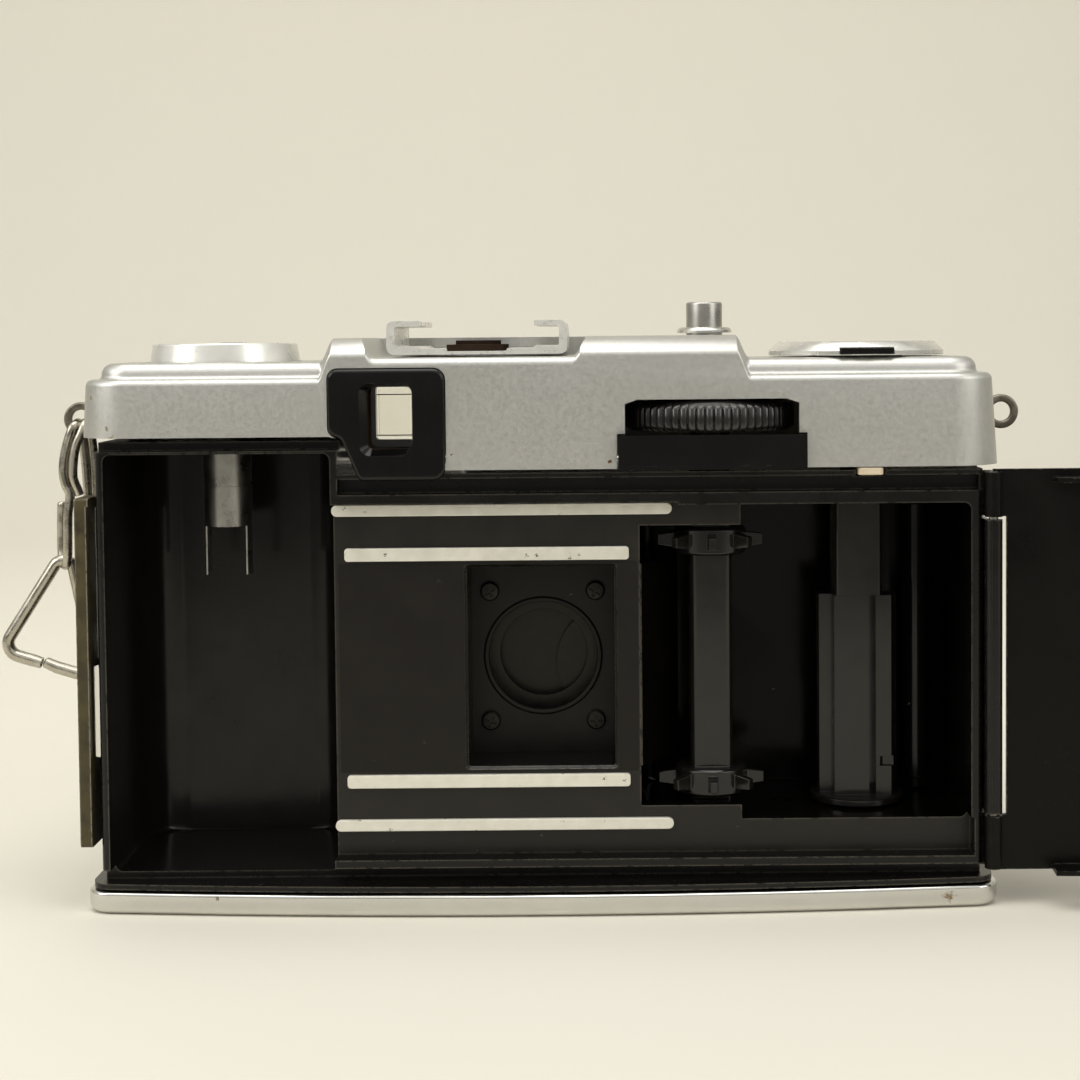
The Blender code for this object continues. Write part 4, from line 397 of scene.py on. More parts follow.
def startGroup(name, inputs, outputs):
    tree = bpy.data.node_groups.new(name, "ShaderNodeTree")
    for label, value in inputs.items():
        kind = "NodeSocketVector" if isinstance(value, tuple) else "NodeSocketFloat"
        tree.interface.new_socket(label, in_out="INPUT", socket_type=kind).default_value = value
    for label in outputs:
        tree.interface.new_socket(label, in_out="OUTPUT", socket_type="NodeSocketFloat")
    given, out = tree.nodes.new("NodeGroupInput").outputs, tree.nodes.new("NodeGroupOutput").inputs
    objectSpot = add(tree, "TexCoord").outputs["Object"]
    spot = vector2(tree, "MULTIPLY", objectSpot, (1000.0, 1000.0, 1000.0))    # in millimetres
    pitch = given["Size"] if "Size" in inputs else given["Spacing"]
    return tree, given, out, spot, math2(tree, "DIVIDE", 1.0, pitch)


def makeMottle():
    tree, given, out, spot, scale = startGroup("mottle", {"Size": 4.0, "Contrast": 1.0}, ["Value"])
    cloud = noise(tree, spot, scale, Detail=5.0, Roughness=0.6)
    centred = math2(tree, "MULTIPLY", math2(tree, "SUBTRACT", cloud, 0.5), given["Contrast"])
    kept = add(tree, "Math", {0: centred, 1: 0.5}, operation="ADD", use_clamp=True)
    tree.links.new(kept.outputs[0], out["Value"])
    return tree


def makeFineGrain():
    tree, given, out, spot, scale = startGroup("fineGrain", {"Size": 0.15}, ["Value"])
    coarse = noise(tree, spot, scale, Detail=2.0)
    cell = add(tree, "TexVoronoi", {"Vector": spot, "Scale": scale}).outputs["Distance"]
    tree.links.new(math2(tree, "MULTIPLY", math2(tree, "ADD", coarse, cell), 0.6), out["Value"])
    return tree


def makeSpecks():
    sizes = {"Spacing": 2.0, "Radius": 0.12, "Share": 0.3}
    tree, given, out, spot, scale = startGroup("dustSpecks", sizes, ["Mask"])
    shifted = vector2(tree, "ADD", spot, noise(tree, spot, 6.0, "Color"))
    cells = add(tree, "TexVoronoi", {"Vector": shifted, "Scale": scale}).outputs
    chance = add(tree, "SeparateColor", {"Color": cells["Color"]}).outputs
    reach = math2(tree, "MULTIPLY", math2(tree, "DIVIDE", given["Radius"], given["Spacing"]),
                  math2(tree, "ADD", chance["Green"], 0.4))
    inside = math2(tree, "LESS_THAN", cells["Distance"], reach)
    picked = math2(tree, "LESS_THAN", chance["Red"], given["Share"])
    tree.links.new(math2(tree, "MULTIPLY", inside, picked), out["Mask"])
    return tree


# rubbed edges; at a wide width the same mask also paints highlight lines along rounded edges
def makeEdgeWear():
    sizes = {"Width": 0.3, "Size": 1.5, "Share": 0.5}
    tree, given, out, spot, scale = startGroup("edgeWearAndGlint", sizes, ["Mask"])
    radius = math2(tree, "MULTIPLY", given["Width"], mm)
    soft = add(tree, "Bevel", {"Radius": radius}, samples=4).outputs[0]
    true = add(tree, "NewGeometry").outputs["Normal"]
    edge = mapRange(tree, vector2(tree, "DOT_PRODUCT", soft, true, "Value"), 0.985, 0.90)
    patch = noise(tree, spot, scale, Detail=6.0, Roughness=0.7)
    low = math2(tree, "SUBTRACT", 0.92, given["Share"])
    chosen = mapRange(tree, patch, low, math2(tree, "ADD", low, 0.08))
    tree.links.new(math2(tree, "MULTIPLY", edge, chosen), out["Mask"])
    return tree


def makeBrushed():
    sizes = {"Stretch": (1.0, 40.0, 40.0), "Size": 2.0}
    tree, given, out, spot, scale = startGroup("brushedLines", sizes, ["Value"])
    lines = noise(tree, vector2(tree, "MULTIPLY", spot, given["Stretch"]), scale, Detail=3.0)
    tree.links.new(lines, out["Value"])
    return tree


def makeTurnedLines():
    sizes = {"Centre": (0.0, 0.0, 0.0), "Size": 0.15}
    tree, given, out, spot, scale = startGroup("turnedLines", sizes, ["Value"])
    parts = add(tree, "SeparateXYZ", {0: vector2(tree, "SUBTRACT", spot, given["Centre"])}).outputs
    flat = add(tree, "CombineXYZ", {"X": parts["X"], "Y": parts["Y"]}).outputs[0]
    radius = add(tree, "VectorMath", {0: flat}, operation="LENGTH").outputs["Value"]
    around = math2(tree, "MULTIPLY", math2(tree, "ARCTAN2", parts["Y"], parts["X"]), 0.15)
    rings = add(tree, "CombineXYZ", {"X": radius, "Y": around, "Z": parts["Z"]}).outputs[0]
    tree.links.new(noise(tree, rings, scale, Detail=3.0), out["Value"])
    return tree


def makeLeatherGrain():
    tree, given, out, spot, scale = startGroup("leatherGrain", {"Size": 0.8}, ["Height", "Crease"])
    shifted = vector2(tree, "ADD", spot, noise(tree, spot, 0.9, "Color", Detail=3.0))
    cells = add(tree, "TexVoronoi", {"Vector": shifted, "Scale": scale},
                feature="DISTANCE_TO_EDGE").outputs["Distance"]
    crease = mapRange(tree, cells, 0.0, 0.16)
    fine = noise(tree, spot, 6.0, Detail=4.0)
    height = math2(tree, "ADD", math2(tree, "MULTIPLY", crease, 0.8), math2(tree, "MULTIPLY", fine, 0.25))
    tree.links.new(height, out["Height"])
    tree.links.new(crease, out["Crease"])
    return tree


def makeStain():
    sizes = {"Centre": (0.0, 0.0, 0.0), "Radius": 1.0, "Size": 0.6}
    tree, given, out, spot, scale = startGroup("stainPatch", sizes, ["Mask"])
    away = vector2(tree, "DISTANCE", spot, given["Centre"], "Value")
    near = math2(tree, "SUBTRACT", 1.0, math2(tree, "DIVIDE", away, given["Radius"]))
    broken = noise(tree, spot, scale, Detail=6.0, Roughness=0.7)
    total = math2(tree, "ADD", near, math2(tree, "MULTIPLY", broken, 1.6))
    tree.links.new(mapRange(tree, total, 1.15, 1.4), out["Mask"])
    return tree


mottle = makeMottle()
fineGrain = makeFineGrain()
dustSpecks = makeSpecks()
edgeWearAndGlint = makeEdgeWear()
brushedLines = makeBrushed()
turnedLines = makeTurnedLines()
leatherGrain = makeLeatherGrain()
stainPatch = makeStain()
print("surface effects: 8 groups")


# Finishes: two tones, the size of their mottle and a roughness range, with further values by name

def useGroup(tree, group, values):
    made = tree.nodes.new("ShaderNodeGroup")
    made.node_tree = group
    for key, value in values.items():
        made.inputs[key].default_value = value
    return made.outputs


def startMaterial(name, uniform):
    made = bpy.data.materials.new(name)
    made.use_nodes = True
    shader = made.node_tree.nodes["Principled BSDF"].inputs
    for key, value in uniform.items():
        shader[key].default_value = value
    return made, made.node_tree, shader


def surfaceLook(name, dark, light, cloudSize, rough, metal=0.0, **look):
    uniform = {"Metallic": metal}
    if "specular" in look:
        uniform["Specular IOR Level"] = look["specular"]
    made, tree, shader = startMaterial(name, uniform)
    cloud = useGroup(tree, mottle, {"Size": cloudSize, "Contrast": look.get("contrast", 1.6)})["Value"]
    colour = mixColour(tree, cloud, dark, light)
    rough = mapRange(tree, cloud, 0.25, 0.75, *rough)
    height = None
    if "lines" in look:
        size, centre = look["lines"]
        height = useGroup(tree, turnedLines, {"Centre": centre, "Size": size})["Value"]
    elif "brush" in look:
        size, stretch = look["brush"]
        height = useGroup(tree, brushedLines, {"Stretch": stretch, "Size": size})["Value"]
    elif "leather" in look:
        skin = useGroup(tree, leatherGrain, {"Size": look["leather"]})
        height = skin["Height"]
        colour = mixColour(tree, skin["Crease"], look["crease"], colour)
    elif "grain" in look:
        height = useGroup(tree, fineGrain, {"Size": look["grain"]})["Value"]
    if height and "tint" in look:
        colour = mixColour(tree, mapRange(tree, height, 0.3, 0.7, 0.0, look["tint"]), colour, dark)
    for key, tone in (("specks", "speckTone"), ("pits", "pitTone")):
        if key in look:
            spacing, radius, share = look[key]
            dots = useGroup(tree, dustSpecks,
                            {"Spacing": spacing, "Radius": radius, "Share": share})["Mask"]
            colour = mixColour(tree, dots, colour, look.get(tone, dustTone))
    for centre, radius, size, tone in look.get("stains", ()):
        patch = useGroup(tree, stainPatch, {"Centre": centre, "Radius": radius, "Size": size})["Mask"]
        colour = mixColour(tree, patch, colour, tone)
        rough = math2(tree, "ADD", rough, math2(tree, "MULTIPLY", patch, 0.3))
    # pale edge tone: worn paint, and where the width is wide also painted highlight
    if "wear" in look:
        width, size, share = look["wear"]
        wornAndGlint = useGroup(tree, edgeWearAndGlint, {"Width": width, "Size": size, "Share": share})["Mask"]
        colour = mixColour(tree, wornAndGlint, colour, look["bare"])
        if not metal:
            tree.links.new(math2(tree, "MULTIPLY", wornAndGlint, look.get("bareMetal", 0.8)), shader["Metallic"])
    tree.links.new(colour, shader["Base Color"])
    tree.links.new(rough, shader["Roughness"])
    if height:
        bump = add(tree, "Bump", {"Height": height, "Strength": look["depth"],
                                  "Distance": look.get("bumpSize", 0.02) * mm})
        tree.links.new(bump.outputs[0], shader["Normal"])
    return made


dustTone = (0.20, 0.18, 0.14)
rustTone = (0.16, 0.075, 0.02)
agedTone = (0.34, 0.30, 0.20)

# its wide pale edge tone is partly real wear, partly painted highlight along the rounded edges
blackEnamel = surfaceLook("blackEnamel", (0.0026, 0.0023, 0.0019), (0.0058, 0.0052, 0.0043), 6.0,
    (0.20, 0.34), specular=0.28, grain=0.25, depth=0.08, specks=(2.4, 0.10, 0.22), wear=(0.34, 1.1, 0.52),
    bare=(0.11, 0.10, 0.082))
doorEnamel = surfaceLook("doorEnamel", (0.0020, 0.0018, 0.0015), (0.0046, 0.0042, 0.0034), 8.0,
    (0.26, 0.40), specular=0.14, grain=0.25, depth=0.08, specks=(3.2, 0.12, 0.20), wear=(0.22, 1.1, 0.40),
    bare=(0.20, 0.18, 0.15))
chamberGloss = surfaceLook("chamberGloss", (0.0048, 0.0043, 0.0035), (0.0092, 0.0083, 0.0068), 7.0,
    (0.14, 0.24), specular=0.26, grain=0.4, depth=0.05, specks=(3.0, 0.10, 0.16))
# darker copy of the chamber gloss: painted shade deep inside the take-up chamber
takeUpShadedGloss = surfaceLook("takeUpShadedGloss", (0.0014, 0.0012, 0.0010), (0.0028, 0.0025, 0.0020), 7.0,
    (0.12, 0.22), specular=0.09, grain=0.4, depth=0.05, specks=(3.0, 0.10, 0.16))
# its wide pale edge tone is partly real wear, partly painted highlight along the rounded edges
sillEnamel = surfaceLook("sillEnamel", (0.011, 0.0096, 0.0075), (0.019, 0.0168, 0.0132), 5.0,
    (0.30, 0.42), specular=0.28, grain=0.25, depth=0.08, specks=(2.0, 0.10, 0.25), wear=(0.34, 1.1, 0.52),
    bare=(0.11, 0.10, 0.082))
plateEnamel = surfaceLook("plateEnamel", (0.0054, 0.0043, 0.0032), (0.0108, 0.0088, 0.0066), 5.0,
    (0.34, 0.48), specular=0.24, grain=0.30, depth=0.25, specks=(2.0, 0.10, 0.25), wear=(0.16, 0.9, 0.27),
    bare=(0.16, 0.145, 0.12))
glossBlack = surfaceLook("glossBlack", (0.0030, 0.0027, 0.0024), (0.0055, 0.0050, 0.0044), 5.0,
    (0.10, 0.20), specular=0.30, grain=0.5, depth=0.05, specks=(2.6, 0.09, 0.25), wear=(0.20, 1.4, 0.34),
    bare=(0.05, 0.047, 0.04), bareMetal=0.0)
# lighter copy of the gloss black: painted reflection of the pale floor on the sprocket and spool
drumLitBlack = surfaceLook("drumLitBlack", (0.0052, 0.0044, 0.0034), (0.0105, 0.0091, 0.0072), 5.0,
    (0.13, 0.22), specular=0.45, grain=0.4, depth=0.05, specks=(2.6, 0.09, 0.25), wear=(0.20, 1.4, 0.34),
    bare=(0.06, 0.056, 0.048), bareMetal=0.0)
# brighter base than the gloss black: painted highlight on the thumbwheel's ridges
wheelLitBlack = surfaceLook("wheelLitBlack", (0.008, 0.0076, 0.007), (0.016, 0.0152, 0.014), 2.0, (0.16, 0.28),
    specular=0.65, grain=0.3, depth=0.06, specks=(1.6, 0.08, 0.25), wear=(0.16, 0.9, 0.48),
    bare=(0.10, 0.095, 0.085), bareMetal=0.0)
satinSilver = surfaceLook("satinSilver", (0.52, 0.515, 0.49), (0.63, 0.625, 0.595), 0.5, (0.40, 0.48),
    contrast=1.4, metal=1.0, grain=0.16, depth=0.35, tint=0.35, specks=(5.0, 0.16, 0.07),
    speckTone=(0.10, 0.085, 0.06), stains=(((-53.4, -11.0, 62.0), 0.5, 0.5, agedTone),
    ((-50.6, -12.6, 57.2), 0.75, 0.6, agedTone), ((-51.2, -12.5, 58.4), 0.5, 0.5, agedTone),
    ((-53.8, -9.5, 58.0), 0.6, 0.5, agedTone), ((8.5, -12.9, 54.0), 0.45, 0.5, rustTone)))
polishedChrome = surfaceLook("polishedChrome", (0.66, 0.65, 0.62), (0.72, 0.71, 0.68), 3.0, (0.07, 0.13),
    metal=1.0, brush=(0.8, (6.0, 6.0, 0.7)), depth=0.06, specks=(2.4, 0.10, 0.16),
    speckTone=(0.2, 0.18, 0.13))
baseChrome = surfaceLook("baseChrome", (0.62, 0.61, 0.58), (0.70, 0.69, 0.66), 4.0, (0.10, 0.22),
    metal=1.0, brush=(1.0, (1.0, 8.0, 30.0)), depth=0.05, specks=(3.2, 0.14, 0.12),
    speckTone=(0.14, 0.10, 0.05), stains=(((48.6, -12.5, 1.6), 1.4, 0.45, (0.22, 0.13, 0.04)),))
railMetal = surfaceLook("railMetal", (0.74, 0.715, 0.62), (0.88, 0.86, 0.77), 1.6, (0.30, 0.45),
    contrast=2.0, metal=0.40, brush=(1.2, (1.0, 20.0, 20.0)), depth=0.15, tint=0.3,
    pits=(1.3, 0.17, 0.30), pitTone=(0.10, 0.09, 0.075), specks=(0.7, 0.05, 0.12),
    speckTone=(0.25, 0.23, 0.19))
shoeSteel = surfaceLook("shoeSteel", (0.70, 0.69, 0.635), (0.86, 0.85, 0.80), 1.8, (0.24, 0.38),
    metal=0.40, brush=(0.9, (18.0, 1.0, 18.0)), depth=0.10, specks=(3.0, 0.08, 0.05),
    speckTone=(0.34, 0.29, 0.20), stains=(((-15.6, -6.0, 69.4), 1.6, 0.6, (0.20, 0.12, 0.05)),
    ((-11.4, -8.6, 70.6), 0.7, 0.5, (0.34, 0.20, 0.12))))
sheetSteel = surfaceLook("sheetSteel", (0.62, 0.61, 0.57), (0.74, 0.73, 0.69), 2.5, (0.18, 0.30),
    metal=1.0, brush=(0.9, (18.0, 1.0, 18.0)), depth=0.10, specks=(2.0, 0.14, 0.18),
    speckTone=(0.20, 0.16, 0.10))
knobSilver = surfaceLook("knobSilver", (0.72, 0.71, 0.665), (0.84, 0.83, 0.785), 2.0, (0.26, 0.38),
    metal=0.60, lines=(0.10, (-39.4, 0.0, 0.0)), depth=0.10, tint=0.35, specks=(3.0, 0.09, 0.06),
    speckTone=(0.26, 0.22, 0.15))
counterSilver = surfaceLook("counterSilver", (0.68, 0.67, 0.625), (0.80, 0.79, 0.745), 2.0, (0.20, 0.30),
    metal=0.7, lines=(0.10, (39.4, 0.0, 0.0)), depth=0.05, tint=0.15, specks=(3.0, 0.08, 0.05),
    speckTone=(0.30, 0.26, 0.19))
wornNickel = surfaceLook("wornNickel", (0.36, 0.33, 0.27), (0.60, 0.57, 0.50), 1.8, (0.20, 0.36),
    contrast=2.4, metal=1.0, brush=(0.7, (8.0, 8.0, 1.0)), depth=0.15, tint=0.4, pits=(1.1, 0.10, 0.20),
    pitTone=(0.12, 0.095, 0.06))
lugSteel = surfaceLook("lugSteel", (0.13, 0.115, 0.09), (0.26, 0.235, 0.19), 1.2, (0.30, 0.46),
    contrast=2.2, metal=1.0, grain=0.2, depth=0.2, wear=(0.25, 0.9, 0.50), bare=(0.46, 0.43, 0.36))
shaftSteel = surfaceLook("shaftSteel", (0.34, 0.33, 0.30), (0.50, 0.49, 0.455), 2.2, (0.26, 0.36),
    contrast=1.8, metal=1.0, brush=(0.7, (10.0, 10.0, 0.8)), depth=0.08, tint=0.15,
    pits=(1.4, 0.08, 0.12), pitTone=(0.12, 0.115, 0.10))
darkSteel = surfaceLook("darkSteel", (0.026, 0.024, 0.021), (0.046, 0.043, 0.037), 1.5, (0.40, 0.54),
    metal=1.0, grain=0.2, depth=0.1, specks=(1.6, 0.06, 0.15))
brownLatch = surfaceLook("brownLatch", (0.020, 0.0145, 0.003), (0.072, 0.054, 0.012), 2.6, (0.38, 0.60),
    contrast=2.4, grain=0.35, depth=0.3, specks=(1.5, 0.12, 0.25), speckTone=(0.13, 0.11, 0.08),
    wear=(0.30, 1.0, 0.52), bare=(0.36, 0.33, 0.27))
leatherette = surfaceLook("leatherette", (0.010, 0.0095, 0.009), (0.018, 0.017, 0.016), 8.0, (0.46, 0.62),
    leather=0.85, crease=(0.004, 0.0038, 0.0035), depth=0.7, bumpSize=0.12, specks=(3.0, 0.10, 0.18))
creamPlastic = surfaceLook("creamPlastic", (0.62, 0.50, 0.34), (0.74, 0.64, 0.48), 1.5, (0.40, 0.52),
    grain=0.3, depth=0.1, specks=(1.0, 0.07, 0.2), speckTone=(0.25, 0.18, 0.10))
turnedBrass = surfaceLook("turnedBrass", (0.42, 0.29, 0.10), (0.60, 0.45, 0.19), 2.0, (0.26, 0.40),
    metal=1.0, lines=(0.12, (20.8, -4.0, 0.0)), depth=0.2, specks=(1.6, 0.10, 0.2),
    speckTone=(0.10, 0.07, 0.03))
tunnelBlack = surfaceLook("tunnelBlack", (0.020, 0.013, 0.009), (0.045, 0.030, 0.021), 3.0, (0.50, 0.66),
    specular=0.0, grain=0.3, depth=0.2, specks=(1.4, 0.08, 0.2), speckTone=(0.12, 0.09, 0.06))
scalePaint = surfaceLook("scalePaint", (0.66, 0.65, 0.60), (0.78, 0.77, 0.72), 0.8, (0.45, 0.60),
    grain=0.15, depth=0.1)
ringBlack = surfaceLook("ringBlack", (0.008, 0.0078, 0.0075), (0.015, 0.0145, 0.014), 3.0, (0.32, 0.46),
    grain=0.2, depth=0.1, specks=(3.0, 0.09, 0.2), wear=(0.25, 1.2, 0.45), bare=(0.45, 0.43, 0.38))
ringSilver = surfaceLook("ringSilver", (0.54, 0.53, 0.50), (0.66, 0.65, 0.61), 2.0, (0.22, 0.34),
    metal=1.0, grain=0.18, depth=0.06, specks=(2.4, 0.08, 0.06), speckTone=(0.26, 0.22, 0.16))
cellDark = surfaceLook("cellDark", (0.012, 0.014, 0.020), (0.030, 0.034, 0.045), 2.0, (0.25, 0.40),
    metal=1.0, brush=(0.6, (1.0, 1.0, 12.0)), depth=0.2)
scaleInk = surfaceLook("scaleInk", (0.010, 0.010, 0.010), (0.020, 0.020, 0.020), 0.8, (0.45, 0.60),
    grain=0.15, depth=0.1)


def glassLook(name, tint, rough, smear):
    made, tree, shader = startMaterial(name, {"Transmission Weight": 1.0, "IOR": 1.45})
    cloud = useGroup(tree, mottle, {"Size": 3.0, "Contrast": 2.0})["Value"]
    pale = tuple(0.5 + 0.5 * c for c in tint)
    tree.links.new(mixColour(tree, cloud, tint, pale), shader["Base Color"])
    tree.links.new(mapRange(tree, cloud, 0.4, 0.8, rough, rough + smear), shader["Roughness"])
    return made


finderGlass = glassLook("finderGlass", (0.96, 0.95, 0.90), 0.0, 0.02)
lensGlass = glassLook("lensGlass", (0.80, 0.84, 0.92), 0.0, 0.015)
dialGlass = glassLook("dialGlass", (0.92, 0.94, 0.93), 0.01, 0.04)
print("finishes:", len(bpy.data.materials))


def buildFloor(look):
    bend, radius = look["sheetBend"], look["bendRadius"]
    profile = [(look["sheetEnd"], 0.0), (bend, 0.0)] + arcPoints((bend, radius), radius, 270, 360, 16)[1:]
    profile.append((bend + radius, look["sheetTop"]))
    bm = bmesh.new()
    rows = [[bm.verts.new((x, y, z)) for y, z in profile] for x in about(0.0, look["sheetHalf"])]
    bridge(bm, *rows, closed=False)
    floor = newPiece(bm, "paperSweep")
    paper, tree, shader = startMaterial("palePaper", {"Specular IOR Level": 0.2})
    cloud = useGroup(tree, mottle, {"Size": 60.0, "Contrast": 1.0})["Value"]
    tone = look["paper"]
    tree.links.new(mixColour(tree, cloud, tuple(0.98 * c for c in tone), tone), shader["Base Color"])
    tree.links.new(mapRange(tree, cloud, 0.2, 0.8, 0.75, 0.85), shader["Roughness"])
    floor.data.materials.append(paper)
    floor.data.shade_smooth()


buildFloor(stageLook)


# Top cover: one pressed shell whose shoulders rise to the centre in two soft steps

coverLook = {
    "wall": 0.9, "half": 54.8, "rearCorner": 5.5, "frontCorner": 8.0, "cornerSteps": 10, "inner": 4.4,
    "draft": 0.7, "wallRings": (0.0, 2.5, 6.0), "ledge": 64.15, "ledgeRound": 0.8, "ledgeDepth": 1.35,
    "fillet": 0.5, "shoulder": 66.1, "crownCrease": 1.2, "crownSweep": 5.4, "crownTurn": 45.0,
    "rises": (-25.35, 24.5), "riseWidth": 1.7, "spacing": 3.0, "fineSpacing": 0.1, "stepZ": 57.2,
    "stepDepth": 22.0, "gap": 0.3, "wheelX": (10.3, 31.0), "wheelTop": 61.3, "wheelChamfer": (1.5, 0.5),
    "shoeFloor": 66.5, "shoeRim": 1.0, "shoeEase": 2.6, "shoeRise": 3.4, "shoeSpare": 0.6, "shoeEnd": 9.6,
    "shoeRear": 10.0, "shoeLid": 88.0, "knobSink": 2.5, "knobGap": 0.35, "buttonHole": 2.5,
    "windowGap": 0.6, "notch": ((-24.9, 57.5), (-23.4, 56.9), (-21.75, 53.05)), "eyeGap": 0.12,
    "eyeRounds": (1.3, 0.8, 0.9, 1.4, 1.4, 1.2),
}


def coverProfiles(look, low, top, thick):
    r, f, foot = look["ledgeRound"], look["fillet"], look["ledgeDepth"]
    big = look["shoulder"] - look["ledge"] - f
    wall = [(0.0, low + rise) for rise in look["wallRings"]]
    shoulder = arcPoints((r, look["ledge"] - r), r, 180, 90, 6)
    shoulder += arcPoints((foot, look["ledge"] + f), f, 270, 360, 4)
    shoulder += arcPoints((foot + f + big, look["shoulder"] - big), big, 180, 90, 8)
    crease, sweep, turn = look["crownCrease"], look["crownSweep"], math.radians(look["crownTurn"])
    lift = crease * math.sin(turn) + sweep * (1.0 - math.cos(math.pi / 2.0 - turn))
    middle = (crease + (sweep - crease) * math.cos(turn), top - sweep)
    half = len(shoulder) // 2
    centre = arcPoints((crease, top - lift), crease, 180, 180 - look["crownTurn"], half - 1)
    centre += arcPoints(middle, sweep, 180 - look["crownTurn"], 90, len(shoulder) - half)[1:]
    shoulder = wall + shoulder + [(look["inner"], look["shoulder"])]
    centre = wall + centre + [(look["inner"], top)]
    return [[(d + thick, z - thick) for d, z in side] for side in (shoulder, centre)]


def coverSolid(look, low, high, thick=0.0):
    sections = coverProfiles(look, low.z, high.z, thick)
    half = look["half"]
    left, right = look["rises"]
    width = look["riseWidth"] / 2.0
    run = half - look["frontCorner"]
    fine = look["riseWidth"] * 1.2
    steps = round(2.0 * fine / look["fineSpacing"])
    coarse = round(2.0 * run / look["spacing"])
    xs = [run * (2.0 * k / coarse - 1.0) for k in range(coarse + 1)]
    xs = [x for x in xs if min(abs(x - left), abs(x - right)) > fine + look["fineSpacing"]]
    fineSteps = [fine * (2.0 * k / steps - 1.0) for k in range(steps + 1)]
    xs = sorted(xs + [side + away for side in (left, right) for away in fineSteps])
    stations = []
    rr, fr = look["rearCorner"], look["frontCorner"]

    def corner(cx, cy, radius, start):
        for x, y in arcPoints((0.0, 0.0), 1.0, start, start + 90, look["cornerSteps"]):
            stations.append((cx + radius * x, cy + radius * y, -x, -y))

    corner(-half + rr, low.y + rr, rr, 180)
    stations += [(x, low.y, 0.0, 1.0) for x in xs]
    corner(half - rr, low.y + rr, rr, 270)
    corner(half - fr, high.y - fr, fr, 0)
    stations += [(x, high.y, 0.0, -1.0) for x in reversed(xs)]
    corner(-half + fr, high.y - fr, fr, 90)

    bm = bmesh.new()
    rings = []
    for (sd, sz), (cd, cz) in zip(*sections):
        ring = []
        for x, y, nx, ny in stations:
            share = ease(left - width, left + width, x) * (1.0 - ease(right - width, right + width, x))
            d = sd + (cd - sd) * share
            z = sz + (cz - sz) * share
            lean = look["draft"] * abs(nx) * max(0.0, (look["ledge"] - z) / (look["ledge"] - low.z))
            ring.append(bm.verts.new((x + nx * (d - lean), y + ny * d, z)))
        rings.append(ring)
    for lower, upper in zip(rings, rings[1:]):
        bridge(bm, lower, upper)
    bm.faces.new(list(reversed(rings[0])))
    top, count, n = rings[-1], len(xs), look["cornerSteps"] + 1
    rear = top[n:n + count]
    front = top[3 * n + count:3 * n + 2 * count][::-1]
    bridge(bm, rear, front, closed=False)
    bm.faces.new(top[3 * n + 2 * count:] + top[:n + 1] + [front[0]])
    bm.faces.new(top[n - 1 + count:3 * n + 1 + count])
    return newPiece(bm)


def eyepieceOutline(spare=0.0, drop=0.0):
    low, high = nodeSpan("eyepiece_frame")
    side, heel, foot = coverLook["notch"]
    foot = (foot[0] + drop * (foot[0] - heel[0]) / (heel[1] - foot[1]), foot[1] - drop)
    corners = [side, heel, foot, (high.x, low.z - drop), (high.x, high.z), (low.x, high.z)]
    return offsetOutline(roundCorners(corners, coverLook["eyeRounds"]), spare)


def shoeHollow(look):
    low, high = nodeSpan("accessory_shoe")
    floor, rim, end, lid = look["shoeFloor"], look["shoeRim"], look["shoeEnd"], look["shoeLid"]
    rear = nodeSpan("top_cover")[0].y
    back = rear - look["shoeRear"]
    section = [(back, floor - rim)] + arcPoints((rear + rim, floor - rim), rim, 180, 90, 6) + [(end, floor)]
    steps = [k / 6.0 for k in range(7)]
    rings = []
    for edge, side, shares in ((low.x, -1, steps[::-1]), (high.x, 1, steps)):
        for t in shares:
            x = edge + side * look["shoeSpare"] + side * look["shoeEase"] * t
            rise = ease(0.0, 1.0, t) * look["shoeRise"]
            rings.append([(x, back, lid), *((x, y, z + rise) for y, z in section), (x, end, lid)])
    return loft(rings)


def buildCover(look):
    low, high = nodeSpan("top_cover")
    wall, gap, notch = look["wall"], look["gap"], look["notch"]
    shell = coverSolid(look, low, high)
    inner = coverSolid(look, low - Vector((0, 0, 3.0)), high, wall)
    shoeLow, shoeHigh = nodeSpan("accessory_shoe")
    spare = look["shoeSpare"] + 2.0 * look["shoeEase"]
    carve(inner, block((shoeLow.x - spare, shoeHigh.x + spare), (-far, look["shoeEnd"] + look["shoeEase"]),
                       (look["shoeFloor"] - wall, far)))    # the sheet under the shoe stays solid
    carve(shell, inner)
    step = [(-far, -far), (notch[2][0], -far), notch[2], notch[1], (notch[0][0], look["stepZ"]),
            (-far, look["stepZ"])]
    (left, right), top, chamfer = look["wheelX"], look["wheelTop"], look["wheelChamfer"]
    wheel = [(left, -far), (right, -far), (right, top - chamfer[1]), (right - chamfer[0], top),
             (left + chamfer[0], top), (left, top - chamfer[1])]
    rear = low.y + 2.0 * wall
    guardLow, guardHigh = nodeSpan("wheel_guard")
    guard = oblong((guardLow.x - gap / 2, guardHigh.x + gap / 2), (-far, guardHigh.z + gap / 2))
    bezelLow, bezelHigh = nodeSpan("finder_front_bezel")
    bezel = oblong((bezelLow.x - gap, bezelHigh.x + gap), (bezelLow.z - gap, bezelHigh.z + gap))
    tools = [slab(step, -far, low.y + look["stepDepth"], "Y")]
    tools += [slab(outline, -far, rear, "Y") for outline in (eyepieceOutline(look["eyeGap"]), wheel, guard)]
    tools += [slab(roundCorners(bezel, 1.0), high.y - 2.0 * wall, far, "Y"), shoeHollow(look)]
    holes = {"rewind_knob": (nodeRadius("rewind_knob") + look["knobGap"], look["ledge"] - look["knobSink"]),
             "shutter_button": (look["buttonHole"], look["shoulder"]),
             "counter_window": (nodeRadius("counter_window") + look["windowGap"], look["ledge"])}
    tools += [rod(nodeSpot(node), radius, level, far, sides=72) for node, (radius, level) in holes.items()]
    carve(shell, *tools)
    finishPiece(shell, "coverShell", "camera_body", satinSilver, ["top_cover"], soft=0.14,
                tidy=True)


buildCover(coverLook)
print("top cover")


# Body casting: chambers, gate, light traps and rails

